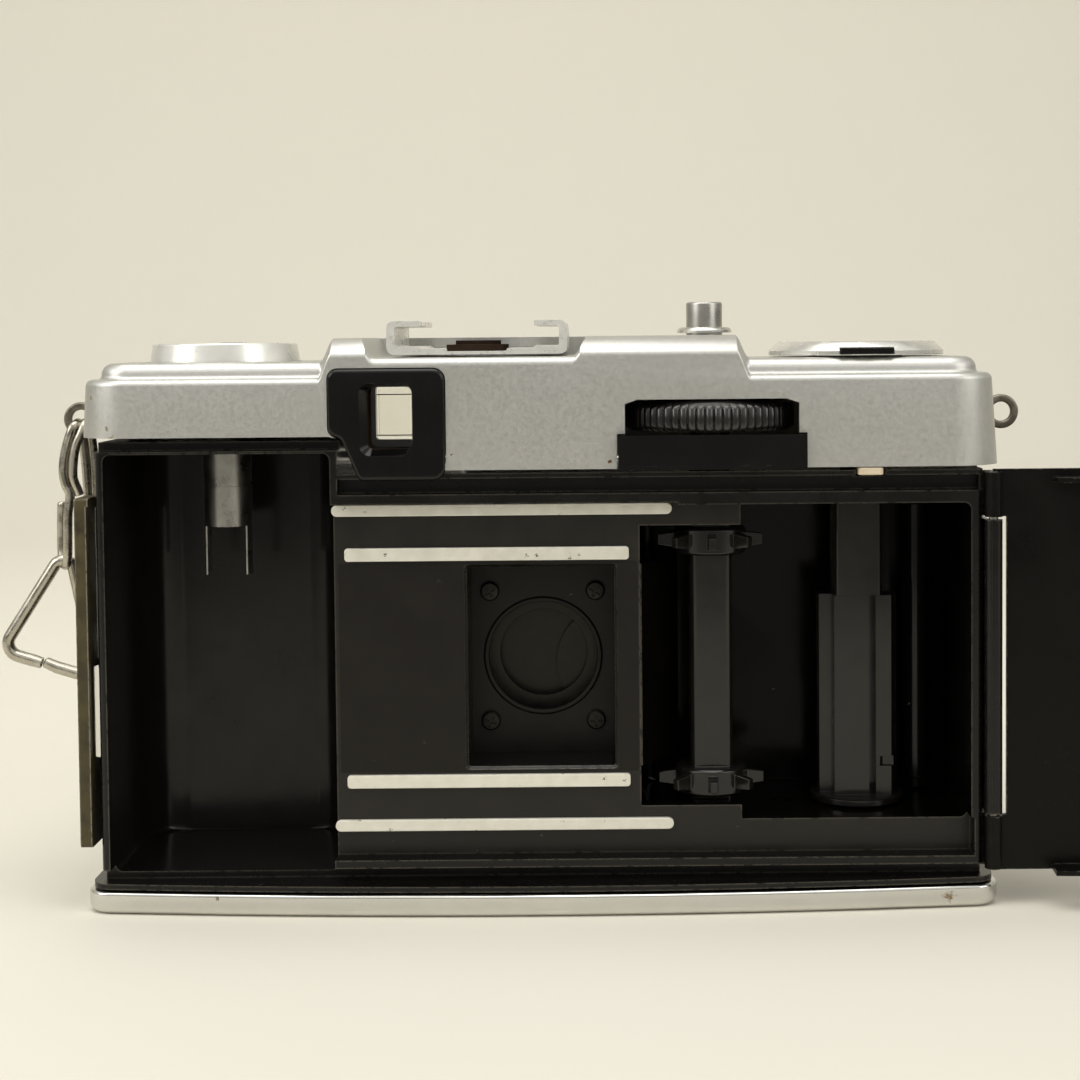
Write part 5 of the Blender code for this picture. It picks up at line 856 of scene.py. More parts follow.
castLook = {
    "half": 53.0, "rear": -12.3, "front": 12.0, "frontCorner": 8.0, "rearCorner": 0.9, "low": 3.2,
    "deck": 52.7, "towerX": -24.0, "towerTop": 56.6, "flangeZ": (2.9, 3.6), "flangeInset": 0.6,
    "plate": -9.5, "recessZ": (6.2, 49.0), "recessEnd": 16.6, "chamberFront": 10.8, "mouth": 0.9,
    "deep": -8.4, "cartridgeX": (-51.9, -24.9), "cartridgeZ": (4.45, 55.2), "cartridgeCorners": (4.8, 5.6),
    "cartridgeFront": 9.8, "takeUpX": (12.0, 51.5), "takeUpZ": (10.2, 48.7), "takeUpCorners": (2.5, 7.0),
    "grooveY": -9.8, "grooveZ": (50.2, 52.05), "bottomGroove": (3.6, 5.2), "towerGroove": 55.55,
    "shelfX": (11.5, 24.2), "shelfTop": 46.0, "shelfLow": 11.9, "shelfY": (-9.5, -7.2), "pinGap": 0.3,
    "gate": (17.8, 24.3), "gateRound": 0.3, "gateChamfer": 0.35, "bore": 15.4, "boreRear": -1.4,
    "bossWall": 0.9, "filmPlateX": (-24.4, 11.75), "filmPlateZ": (16.2, 41.7), "filmPlateRise": 0.06,
    "filmPlateSink": 0.4, "postY": -6.8, "posts": (35.0, 43.0), "post": 1.2, "postX": (-54.8, -52.3),
    "cheek": ((11.0, -9.0), (12.2, -9.0), (16.9, -1.4), (16.9, 20.0), (11.0, 20.0)), "cheekZ": (16.7, 41.3),
    "shieldX": (52.6, 54.3), "shieldY": (-11.2, -9.9), "shieldZ": ((4.8, 11.1), (47.0, 52.4)),
}
railLook = {
    "rise": 0.53, "thick": 0.9, "soft": 0.10,
    "outer": {"x": (-25.1, 15.9), "span": 38.3, "width": 1.4, "round": 0.68},
    "inner": {"x": (-23.6, 10.7), "span": 27.6, "width": 1.6, "round": 0.42},
}
baseLook = {
    "half": 55.0, "rear": -12.9, "rearCorner": 3.2, "frontCorner": 8.0, "bowSteps": 14, "edge": 1.0,
    "lip": 0.35, "rim": 1.2, "floor": 1.0, "gap": 0.3, "threads": 5, "bushBore": 3.0, "bushFlange": 1.2,
    "threadDepth": 0.35, "keyHole": 2.65, "key": 2.4, "keyStop": 3.45, "keyStopZ": (1.3, 1.7),
    "keyStem": 1.0,
}


def roundedPlan(x, y, rear, front, inset=0.0):
    x, y = (x[0] + inset, x[1] - inset), (y[0] + inset, y[1] - inset)
    return roundCorners(oblong(x, y), [max(r - inset, 0.02) for r in (rear, rear, front, front)], 10)


def baseOutline(inset=0.0):
    low, high = nodeSpan("bottom_plate")
    half, front, rear = baseLook["half"] - inset, high.y - inset, baseLook["rear"] + inset
    bow = rear - (low.y + inset)
    corner, big = max(baseLook["rearCorner"] - inset, 0.3), baseLook["frontCorner"] - inset
    straight, steps = half - corner, baseLook["bowSteps"]
    xs = [straight * (i / steps - 1.0) for i in range(1, 2 * steps)]
    points = arcPoints((-straight, rear + corner), corner, 180, 270, 10)
    points += [(x, rear - bow * (1.0 - (x / straight) ** 2)) for x in xs]
    points += arcPoints((straight, rear + corner), corner, 270, 360, 10)
    points += arcPoints((half - big, front - big), big, 0, 90, 10)
    return points + arcPoints((-half + big, front - big), big, 90, 180, 10)


def chamberHollow(x, z, front, corners, mouth):
    rings = []
    deepest = max(corners)
    depths = [-60.0] + [front - deepest + deepest * math.sin(math.radians(a)) for a in range(0, 91, 6)]
    for y in depths:
        insets = []
        for corner in corners:
            into = max(0.0, y - (front - corner))
            insets.append(corner - math.sqrt(max(corner ** 2 - into ** 2, 0.0)))
        outline = oblong((x[0] + insets[0], x[1] - insets[1]), z)
        rings.append(lifted(roundCorners(outline, mouth), y))
    return loft(rings)


def buildCasting(look):
    half, plateY, cz = look["half"], look["plate"], lensAxis[1]
    plan = roundedPlan(about(0.0, half), (look["rear"], look["front"]), look["rearCorner"],
                       look["frontCorner"])
    shell = slab(plan, look["low"], look["deck"])
    tower = slab(plan, look["low"], look["towerTop"])
    carve(tower, block((look["towerX"], far), (-far, far), (-far, far)))
    flange = slab(baseOutline(look["flangeInset"]), *look["flangeZ"])
    size = look["post"] / 2.0
    posts = [block(look["postX"], about(look["postY"], size), about(z, size)) for z in look["posts"]]
    weld(shell, tower, flange, *posts)
    front, mouth, groove = look["chamberFront"], look["mouth"], look["grooveY"]
    takeUp = chamberHollow(look["takeUpX"], look["takeUpZ"], front, look["takeUpCorners"], mouth)
    shelf = look["shelfX"]
    carve(takeUp, block(shelf, look["shelfY"], (look["shelfTop"], far)),
          block(shelf, look["shelfY"], (-far, look["shelfLow"])),
          slab(look["cheek"], *look["cheekZ"]))    # slanted cheek between the gate and the sprocket
    cartridge = look["cartridgeX"]
    floor, roof = look["takeUpZ"]
    tools = [
        chamberHollow(cartridge, look["cartridgeZ"], look["cartridgeFront"], look["cartridgeCorners"],
                      mouth),
        takeUp,
        block((cartridge[1] - 0.3, look["recessEnd"]), (-far, plateY), look["recessZ"]),
        block((look["recessEnd"] - 1.0, half - 1.1), (-far, plateY), (look["recessZ"][0], floor + 0.6)),
        block((-far, far), (-far, groove), look["bottomGroove"]),
        block((look["towerX"], far), (-far, groove), look["grooveZ"]),
        block((-far, look["towerX"] + 0.3), (-far, groove), (look["towerGroove"], far)),
    ]
    pinLow, pinHigh = nodeSpan("counter_reset_pin")
    gap = look["pinGap"]
    tools.append(block((pinLow.x - gap, pinHigh.x + gap), (-far, pinHigh.y + 1.5), (pinLow.z - gap, far)))
    for node, radius, low, high in (
            ("rewind_shaft", 3.7, 50.0, far), ("drive_gear", 2.8, roof - 1.0, far),
            ("spool_gear", 2.3, roof - 1.0, far), ("rewind_release_button", 1.3, -far, floor + 1.0),
            ("film_sprocket", 1.9, floor - 1.9, floor + 1.0),
            ("take_up_spool", 2.3, floor - 1.2, floor + 1.0),
            ("film_guide_roller", 1.1, floor - 1.9, roof + 1.9)):
        tools.append(rod(nodeMiddle(node), radius, low, high, sides=32))
    carve(shell, *tools)
    boss = look["bore"] + look["bossWall"]
    # light stops at the hinge
    shields = [block(look["shieldX"], look["shieldY"], z) for z in look["shieldZ"]]
    weld(shell, rod(lensAxis, boss, look["boreRear"] - look["bossWall"], look["front"] - 0.3, "Y", 72),
         *shields)
    gx, gz = (size / 2.0 for size in look["gate"])
    flare = look["gateChamfer"]
    rings = []
    for y, s in ((-60.0, flare), (plateY, flare), (plateY + flare, 0.0), (look["boreRear"] + 0.3, 0.0)):
        opening = oblong((-gx - s, gx + s), (cz - gz - s, cz + gz + s))
        rings.append(lifted(roundCorners(opening, look["gateRound"] + s), y))
    carve(shell, rod(lensAxis, look["bore"], look["boreRear"], far, "Y", 72), loft(rings))
    finishPiece(shell, "bodyShell", "camera_body", blackEnamel, ["body_casting"], soft=0.24,
                tidy=True)
    for finish in (chamberGloss, sillEnamel, takeUpShadedGloss):
        shell.data.materials.append(finish)
    for face in shell.data.polygons:    # chamber walls are glossier than the frame; the take-up chamber's walls get a darker copy as painted shade
        x, y, z = (c / mm for c in face.center)
        inside = (abs(x) < half - 0.3 and look["deep"] < y < front + 0.1
                  and look["low"] + 0.4 < z < look["towerTop"] - 0.4)
        sill = abs(y - plateY) < 0.1
        face.material_index = (3 if x > 0.0 else 1) if inside else 2 if sill else 0
    face = plateY - railLook["rise"]
    for kind in ("outer", "inner"):
        rail = railLook[kind]
        for side, word in ((-1, "Lower"), (1, "Upper")):
            z = cz + side * rail["span"] / 2.0
            outline = roundCorners(oblong(rail["x"], about(z, rail["width"] / 2.0)), rail["round"], 10)
            bar = slab(outline, face, face + railLook["thick"], "Y")
            finishPiece(bar, kind + word + "Rail", "camera_body", railMetal,
                        soft=railLook["soft"])
    plate = slab(roundCorners(oblong(look["filmPlateX"], look["filmPlateZ"]), look["gateRound"]),
                 plateY - look["filmPlateRise"], plateY + look["filmPlateSink"], "Y")
    carve(plate, block((-gx - flare, gx + flare), (-far, far), (cz - gz - flare, cz + gz + flare)))
    finishPiece(plate, "filmPlate", "camera_body", plateEnamel, soft=0.05)


buildCasting(castLook)
print("casting and rails")


# Bottom plate, tripod bush and rewind release

def buildBase(look):
    lip, top = look["lip"], nodeSpan("bottom_plate")[1].z
    levels = roundOver(look["edge"], 0.0)
    for a in range(0, 91, 22):
        turn = math.radians(a)
        levels.append((lip - lip * math.cos(turn), top - lip + lip * math.sin(turn)))
    plate = loft([lifted(baseOutline(d), z, "Z") for d, z in levels])
    bush, key = nodeSpot("tripod_socket"), nodeSpot("rewind_release_button")
    outer = nodeRadius("tripod_socket")
    stem = outer - look["bushFlange"]
    carve(plate, slab(baseOutline(look["rim"]), look["floor"], far),
          rod(bush, stem + look["gap"], -far, far), rod(key, look["keyHole"], -far, far))
    finishPiece(plate, "basePlate", "camera_body", baseChrome, ["bottom_plate"], soft=0.08,
                tidy=True)
    bore, top = look["bushBore"], nodeSpan("tripod_socket")[1].z
    seat = look["floor"] + look["gap"]
    profile = [(bore + 0.5, 0.0), (stem - 0.2, 0.0), (stem, 0.2), (stem, seat), (outer, seat), (outer, top),
               (bore, top)]
    pitch = (top - 0.6) / look["threads"]
    for k in range(look["threads"]):    # thread crests seen from below
        z = top - 0.1 - k * pitch
        profile += [(bore, z), (bore + look["threadDepth"], z - pitch / 2.0)]
    finishPiece(lathe(profile, bush), "tripodBush", "camera_body", sheetSteel, ["tripod_socket"])
    low, high = (corner.z for corner in nodeSpan("rewind_release_button"))
    r, stop, stem = look["key"], look["keyStop"], look["keyStem"]
    under, over = look["keyStopZ"]
    button = lathe([(0.0, high), (stem, high), (stem, over), (stop, over), (stop, under), (r, under),
                    (r, low + 0.3), (r - 0.3, low), (0.9, low), (0.6, low + 0.25), (0.0, low + 0.3)], key,
                   sides=48)
    finishPiece(button, "rewindReleaseKey", "rewind_release", polishedChrome, ["rewind_release_button"])


buildBase(baseLook)
print("bottom plate")


# Viewfinder: eyepiece block, tunnel, glasses and frame marks

finderLook = {
    "hollowX": (-21.2, -14.85), "hollowZ": (54.9, 63.5), "windowX": (-20.3, -15.0),
    "windowZ": (55.7, 63.05), "hollowDepth": 0.9, "hollowRound": 1.3, "windowRound": 0.7, "faceSoft": 0.45,
    "tunnelWall": 0.5, "marks": (61.5, 56.15), "markWidth": 0.14, "chin": 1.1, "chinBack": -12.45,
}


def buildFinder(look):
    low, high = nodeSpan("eyepiece_frame")
    outline = eyepieceOutline(drop=look["chin"])    # the rear rim hangs below the cover's edge
    rings = [lifted(offsetOutline(outline, -d), y) for d, y in roundOver(look["faceSoft"], low.y)]
    rings.append(lifted(outline, look["chinBack"]))
    frameBlock = weld(loft(rings), slab(eyepieceOutline(), look["chinBack"] - 0.3, high.y, "Y"))
    wide = roundCorners(oblong(look["hollowX"], look["hollowZ"]), look["hollowRound"])
    tight = roundCorners(oblong(look["windowX"], look["windowZ"]), look["windowRound"])
    face = low.y
    depth = look["hollowDepth"]
    hollow = [(offsetOutline(wide, 0.25), face - 1.0), (wide, face + 0.05), (tight, face + depth),
              (tight, far)]
    carve(frameBlock, loft([lifted(*level) for level in hollow]))
    finishPiece(frameBlock, "eyepieceBlock", "camera_body", glossBlack, ["eyepiece_frame"],
                soft=0.08, tidy=True)
    frameBlock.data.materials.append(tunnelBlack)
    (left, right), (base, top) = look["windowX"], look["windowZ"]
    for part in frameBlock.data.polygons:    # the window's own walls are dull
        x, y, z = (c / mm for c in part.center)
        within = left - 0.1 < x < right + 0.1 and base - 0.1 < z < top + 0.1
        part.material_index = 1 if within and y > face + depth else 0
    glassLow, glassHigh = nodeSpan("eyepiece_glass")
    pane = offsetOutline(tight, 0.2)    # its rim sits inside the block
    eyeGlass = slab(pane, glassLow.y + depth, glassHigh.y + depth - 0.3, "Y")
    finishPiece(eyeGlass, "eyepieceGlass", "camera_body", finderGlass, ["eyepiece_glass"])

    bezelLow, bezelHigh = nodeSpan("finder_front_bezel")
    paneLow, paneHigh = nodeSpan("finder_front_glass")
    paneX, paneZ = (paneLow.x, paneHigh.x), (paneLow.z, paneHigh.z)
    frontOpening = oblong((paneX[0] - 0.3, paneX[1] + 0.3), (paneZ[0] - 0.3, paneZ[1] + 0.3))
    bezelOutline = oblong((bezelLow.x, bezelHigh.x), (bezelLow.z, bezelHigh.z))
    bezel = slab(roundCorners(bezelOutline, 0.9), bezelLow.y, bezelHigh.y, "Y")
    flare = loft([lifted(offsetOutline(roundCorners(frontOpening, 0.4), s), y)
                  for y, s in ((0.0, 0.0), (bezelHigh.y - 0.8, 0.0), (bezelHigh.y + 0.2, 0.7), (far, 0.7))])
    finishPiece(carve(bezel, flare), "finderBezel", "camera_body", glossBlack, ["finder_front_bezel"],
                soft=0.12)
    frontGlass = slab(roundCorners(oblong(paneX, paneZ), 0.3), paneLow.y, paneHigh.y, "Y")
    finishPiece(frontGlass, "finderFrontGlass", "camera_body", finderGlass, ["finder_front_glass"],
                soft=0.06)
    near, distant = high.y + 0.1, bezelLow.y - 0.1
    window, wall = oblong(look["windowX"], look["windowZ"]), look["tunnelWall"]
    tunnel = loft([lifted(offsetOutline(window, wall), near),
                   lifted(offsetOutline(frontOpening, wall), distant)])
    bore = loft([lifted(window, near - 0.05), lifted(frontOpening, distant + 0.05)])
    finishPiece(carve(tunnel, bore), "finderTunnel", "camera_body", tunnelBlack,
                soft=0.05)
    for number, z in enumerate(look["marks"], 1):
        bar = block((paneX[0] - 0.2, paneX[1] + 0.2), (paneLow.y - 0.25, paneLow.y - 0.1),
                    about(z, look["markWidth"] / 2.0))
        finishPiece(bar, f"frameMark{number}", "camera_body", tunnelBlack,
                    soft=0.03)


buildFinder(finderLook)
print("viewfinder")


# Accessory shoe with its insulator and contact

shoeLook = {
    "flange": 0.7, "reach": 7.2, "wall": 1.0, "tab": 3.9, "tabTop": 67.52, "bendTop": 67.85, "step": 7.4,
    "middle": 67.2, "round": 0.9, "insulatorLength": (-8.8, 8.0), "padRound": 0.6, "raisedInset": 0.8,
    "raisedHalf": 5.0, "raisedRound": 1.2, "cut": 1.6, "cutDepth": 1.4, "soft": 0.12, "leftTrim": 0.6,
}


def buildShoe(look):
    low, high = nodeSpan("accessory_shoe")
    cx, half = nodeMiddle("accessory_shoe")[0], nodeRadius("accessory_shoe")
    top, wall, flange = high.z, look["wall"], look["flange"]
    reach, bend, tab, step = look["reach"], look["bendTop"], look["tab"], look["step"]
    right = [(half, low.z), (half, top), (reach, top), (reach, top - flange), (half - wall, top - flange),
             (half - wall, bend), (step, bend), (step - 0.5, look["tabTop"]), (tab, look["tabTop"]),
             (tab, look["middle"])]
    radii = [look["round"], look["round"], 0.15, 0.15, 0.3, 0.25, 0.1, 0.1, 0.2, 0.0]
    trim = look["leftTrim"]
    corners = right + [(trim - x, z) for x, z in reversed(right)]
    outline = roundCorners([(cx + x, z) for x, z in corners], radii + radii[::-1], 4)
    shoe = slab(outline, low.y, high.y, "Y")
    padLow, padHigh = nodeSpan("shoe_insulator")
    # the front corners of the flanges are cut
    corner, over = (high.y - look["cutDepth"], far), (top - flange - 0.1, far)
    carve(shoe, block((cx - half - 1, cx - half + trim + look["cut"]), corner, over),
          block((cx + half - look["cut"], cx + half + 1), corner, over))
    finishPiece(shoe, "shoeBracket", "camera_body", shoeSteel, ["accessory_shoe"],
                soft=look["soft"], tidy=True)
    left, right, face = padLow.x, padHigh.x, padHigh.z
    outline = roundCorners(oblong((left, right), look["insulatorLength"]), look["padRound"])
    pad = slab(outline, look["middle"] + 0.02, face - 0.5)
    inset = look["raisedInset"]
    raised = oblong((left + inset, right - inset), about(0.0, look["raisedHalf"]))
    weld(pad, slab(roundCorners(raised, look["raisedRound"]), face - 0.7, face))
    pinLow, pinHigh = nodeSpan("shoe_contact")
    spot, radius = (cx, 0.0), nodeRadius("shoe_contact")
    carve(pad, rod(spot, radius + 0.3, pinLow.z - 0.2, far))
    finishPiece(pad, "shoePad", "camera_body", tunnelBlack, ["shoe_insulator"], soft=0.1,
                tidy=True)
    pin = lathe([(0.0, pinHigh.z), (radius - 0.35, pinHigh.z - 0.02), (radius, pinHigh.z - 0.15),
                 (radius, pinLow.z), (0.0, pinLow.z)], spot, sides=40)
    finishPiece(pin, "shoeContactPin", "camera_body", polishedChrome, ["shoe_contact"])


buildShoe(shoeLook)


# Shutter button and its collar

buttonLook = {
    "radius": 2.25, "rim": 0.28, "hole": 1.05, "holeDepth": 1.6, "stop": 3.2, "stopTop": 67.7, "dish": 0.15,
}


def buildButton(look):
    low, high = nodeSpan("shutter_button")
    spot = nodeSpot("shutter_button")
    r, rim, hole = look["radius"], look["rim"], look["hole"]
    profile = [(0.0, high.z - look["holeDepth"]), (hole, high.z - look["holeDepth"])]
    for k in range(4):    # cable thread
        z = high.z - look["holeDepth"] + 0.2 + 0.3 * k
        profile += [(hole, z), (hole + 0.14, z + 0.15)]
    profile += [(hole + 0.2, high.z - look["dish"]), (r - rim - 0.25, high.z - 0.04)]
    profile += arcPoints((r - rim, high.z - rim), rim, 90, 0, 4)
    profile += [(r, look["stopTop"]), (look["stop"], look["stopTop"]), (look["stop"], low.z), (0.0, low.z)]
    finishPiece(lathe(profile, spot, sides=64), "releaseButton", "release", shaftSteel, ["shutter_button"])
    low, high = nodeSpan("button_collar")
    outer, inner = nodeRadius("button_collar"), r + 0.25
    collar = lathe([(inner, low.z), (outer, low.z), (outer, low.z + 0.3), (outer - 0.25, high.z - 0.1),
                    (outer - 0.6, high.z), (inner + 0.1, high.z), (inner, high.z - 0.1)], spot, sides=64)
    finishPiece(collar, "releaseCollar", "camera_body", sheetSteel, ["button_collar"])


buildButton(buttonLook)
print("shoe and shutter button")


# Rewind knob, folding crank, its handle and the fork shaft

rewindLook = {
    "skirt": (66.1, 66.25), "crankHalf": 1.7, "crankThick": 0.8, "pivot": 6.2, "pivotDrop": 0.5,
    "reach": 12.2, "pin": 0.3, "pinPlay": 0.08, "barrel": 0.62, "gap": 0.3, "handle": 1.6,
    "handleHeight": 0.8, "dimple": 0.7, "dimpleY": (-2.2, 3.6), "dimpleDepth": 0.2, "shaft": 2.95,
    "shoulder": 45.6, "prong": 0.55, "prongDepth": 1.4, "groove": (50.6, 51.0), "grooveDepth": 0.12,
}


def buildRewind(look):
    low, high = nodeSpan("rewind_knob")
    cx, _ = spot = nodeSpot("rewind_knob")
    r = nodeRadius("rewind_knob")
    top, gap = high.z, look["gap"]
    skirt, turn = look["skirt"]
    side = [(r, low.z), (r, skirt), (r - 0.03, turn), (r - 0.36, top - 0.25)]
    profile = [(0.0, low.z)] + side + arcPoints((r - 0.66, top - 0.3), 0.3, 0, 90, 4)
    profile += [(r - 1.5, top), (r - 1.6, top - 0.15), (r - 1.8, top - 0.15), (r - 1.9, top), (0.0, top)]
    knob = lathe(profile, spot, sides=128)
    half = look["crankHalf"] + gap
    slotZ = top - look["crankThick"] - gap
    pivot = (look["pivot"], top - look["pivotDrop"])
    tip = look["pivot"] - look["reach"]
    handle = (cx, tip + look["crankHalf"])
    barrel = look["barrel"] + gap
    slot = roundCorners(oblong(about(cx, half), (tip - gap, far)), [half - 0.02, half - 0.02, 0, 0], 10)
    carve(knob, slab(slot, slotZ, far),
          block(about(cx, half), (pivot[0] - barrel, far), (pivot[1] - barrel, far)),
          rod(handle, look["handle"] + gap, slotZ - look["handleHeight"] - gap, far))
    weld(knob, rod(pivot, look["pin"], cx - half - gap, cx + half + gap, "X", 24))
    finishPiece(knob, "rewindDial", "rewind", knobSilver, ["rewind_knob"], soft=0.07,
                tidy=True)

    wide = look["crankHalf"]
    plan = arcPoints(handle, wide, 180, 360, 16) + [(cx + wide, pivot[0]), (cx - wide, pivot[0])]
    crank = slab(plan, top - look["crankThick"], top)
    weld(crank, rod(pivot, look["barrel"], cx - wide, cx + wide, "X", 32))
    dimple = roundCorners(oblong(about(cx, look["dimple"]), look["dimpleY"]), look["dimple"] - 0.01)
    carve(crank, rod(pivot, look["pin"] + look["pinPlay"], -far, far, "X", 24),
          rod(handle, look["handle"] / 2.0 + 0.2, -far, far), slab(dimple, top - look["dimpleDepth"], far))
    finishPiece(crank, "crankArm", "crank", sheetSteel, ["rewind_crank"], soft=0.10,
                tidy=True)
    under = top - look["crankThick"] - gap / 2.0
    hr, end = look["handle"], under - look["handleHeight"]
    neck = hr / 2.0
    grip = lathe([(0.0, top), (neck - 0.12, top), (neck, top - 0.12), (neck, under), (hr - 0.1, under),
                  (hr, under - 0.15), (hr, end + 0.2), (hr - 0.2, end), (0.0, end)], handle, sides=48)
    finishPiece(grip, "crankGrip", "crank_grip", polishedChrome, ["crank_handle"])

    low, high = nodeSpan("rewind_shaft")
    sr, prong, depth = look["shaft"], look["prong"], look["prongDepth"]
    shaft = lathe([(0.0, high.z), (sr, high.z), (sr, low.z), (0.0, low.z)], spot, sides=64)
    below = (-far, look["shoulder"])
    lower, upper = look["groove"]
    waist = sr - look["grooveDepth"]
    carve(shaft, block((cx - sr + prong, cx + sr - prong), (-far, far), below),
          block((-far, far), (-far, -depth), below), block((-far, far), (depth, far), below),
          lathe([(waist, lower), (far, lower), (far, upper), (waist, upper)], spot))
    finishPiece(shaft, "rewindFork", "rewind", shaftSteel, ["rewind_shaft"], soft=0.10,
                tidy=True)


buildRewind(rewindLook)
print("rewind")


# Film advance: ridged thumbwheel and the guard below it

wheelLook = {
    "ridges": 60, "depth": 0.36, "perRidge": 8, "thick": 3.6, "shaft": 2.5, "dish": (5.0, 7.6),
    "dishDepth": 0.35, "guardPlate": 0.8, "cheek": 1.3, "cheekEnd": -9.0, "lip": 0.45, "lipProud": 0.12,
}


def buildWheel(look):
    low, high = nodeSpan("advance_wheel")
    cx, cy = nodeMiddle("advance_wheel")
    radius = nodeRadius("advance_wheel")
    floor = high.z - look["thick"]
    count = look["ridges"] * look["perRidge"]
    top = high.z
    rings = []
    for inset, z, share in ((0.5, floor, 0.3), (0.1, floor + 0.3, 1.0), (0.0, floor + 0.6, 1.0),
                            (0.0, top - 0.9, 1.0), (0.25, top - 0.55, 0.7), (0.7, top - 0.3, 0.15),
                            (1.3, top, 0.0)):
        ring = []
        for i in range(count):
            a = 2.0 * math.pi * i / count
            dip = 1.0 - abs(math.sin(look["ridges"] * a / 2.0)) ** 0.7
            r = radius - inset - look["depth"] * share * dip
            ring.append((cx + r * math.cos(a), cy + r * math.sin(a), z))
        rings.append(ring)
    wheel = loft(rings)
    weld(wheel, rod((cx, cy), look["shaft"], low.z, floor + 0.5))
    (hub, rim), dish = look["dish"], top - look["dishDepth"]
    carve(wheel, lathe([(hub, dish), (rim, dish), (rim, far), (hub, far)], (cx, cy)))
    finishPiece(wheel, "thumbWheel", "wheel", wheelLitBlack, ["advance_wheel"])

    low, high = nodeSpan("wheel_guard")
    face, back = low.y, low.y + look["guardPlate"]
    outline = roundCorners(oblong((low.x, high.x), (low.z, high.z)), [0.5, 0.5, 0.25, 0.25])
    guard = slab(outline, face, back, "Y")
    cheeks = [block(x, (face + 0.2, look["cheekEnd"]), (low.z, high.z - 0.2))
              for x in ((low.x, low.x + look["cheek"]), (high.x - look["cheek"], high.x))]
    lip = slab(roundCorners(oblong((low.x + 0.2, high.x - 0.2), (low.z, low.z + look["lip"])), 0.2),
               face - look["lipProud"], face + 0.2, "Y")
    weld(guard, lip, *cheeks)
    finishPiece(guard, "wheelGuardBlock", "camera_body", glossBlack, ["wheel_guard"],
                soft=0.14, tidy=True)


buildWheel(wheelLook)


# Sprocket, take-up spool and guide roller

transportLook = {
    "shaft": 5.2, "shaftRound": 1.05, "hub": 4.4, "hubHeight": 3.4, "span": 29.6, "pin": 1.6,
    "teeth": 8, "toothReach": 6.5, "toothWidth": (1.2, 0.85), "toothHeight": (2.0, 1.3),
    "post": 5.9, "postRound": 0.6, "sleeve": 4.95, "sleeveTop": 36.4, "flange": 5.8, "axle": 2.0,
    "neck": 2.4, "slit": (1.2, 2.05), "sideCut": 1.2, "notchZ": (15.0, 16.2), "notchDepth": 0.5,
    "roller": 1.9, "rollerPin": 0.8,
}


def squareBar(centre, side, radius, low, high):
    half = side / 2.0
    x, y = centre
    return slab(roundCorners(oblong(about(x, half), about(y, half)), radius), low, high)


def sprocketTooth(look, centre, z, turn):
    rings = []
    out = Vector((math.cos(turn), math.sin(turn), 0.0))
    across = Vector((-math.sin(turn), math.cos(turn), 0.0))
    for k, reach in enumerate((look["hub"] - 0.5, look["toothReach"])):
        wide, tall = look["toothWidth"][k] / 2.0, look["toothHeight"][k] / 2.0
        foot = Vector((*centre, z)) + out * reach
        outline = oblong((-wide, wide), (-tall, tall))
        rings.append([foot + across * u + Vector((0.0, 0.0, v)) for u, v in outline])
    return loft(rings)


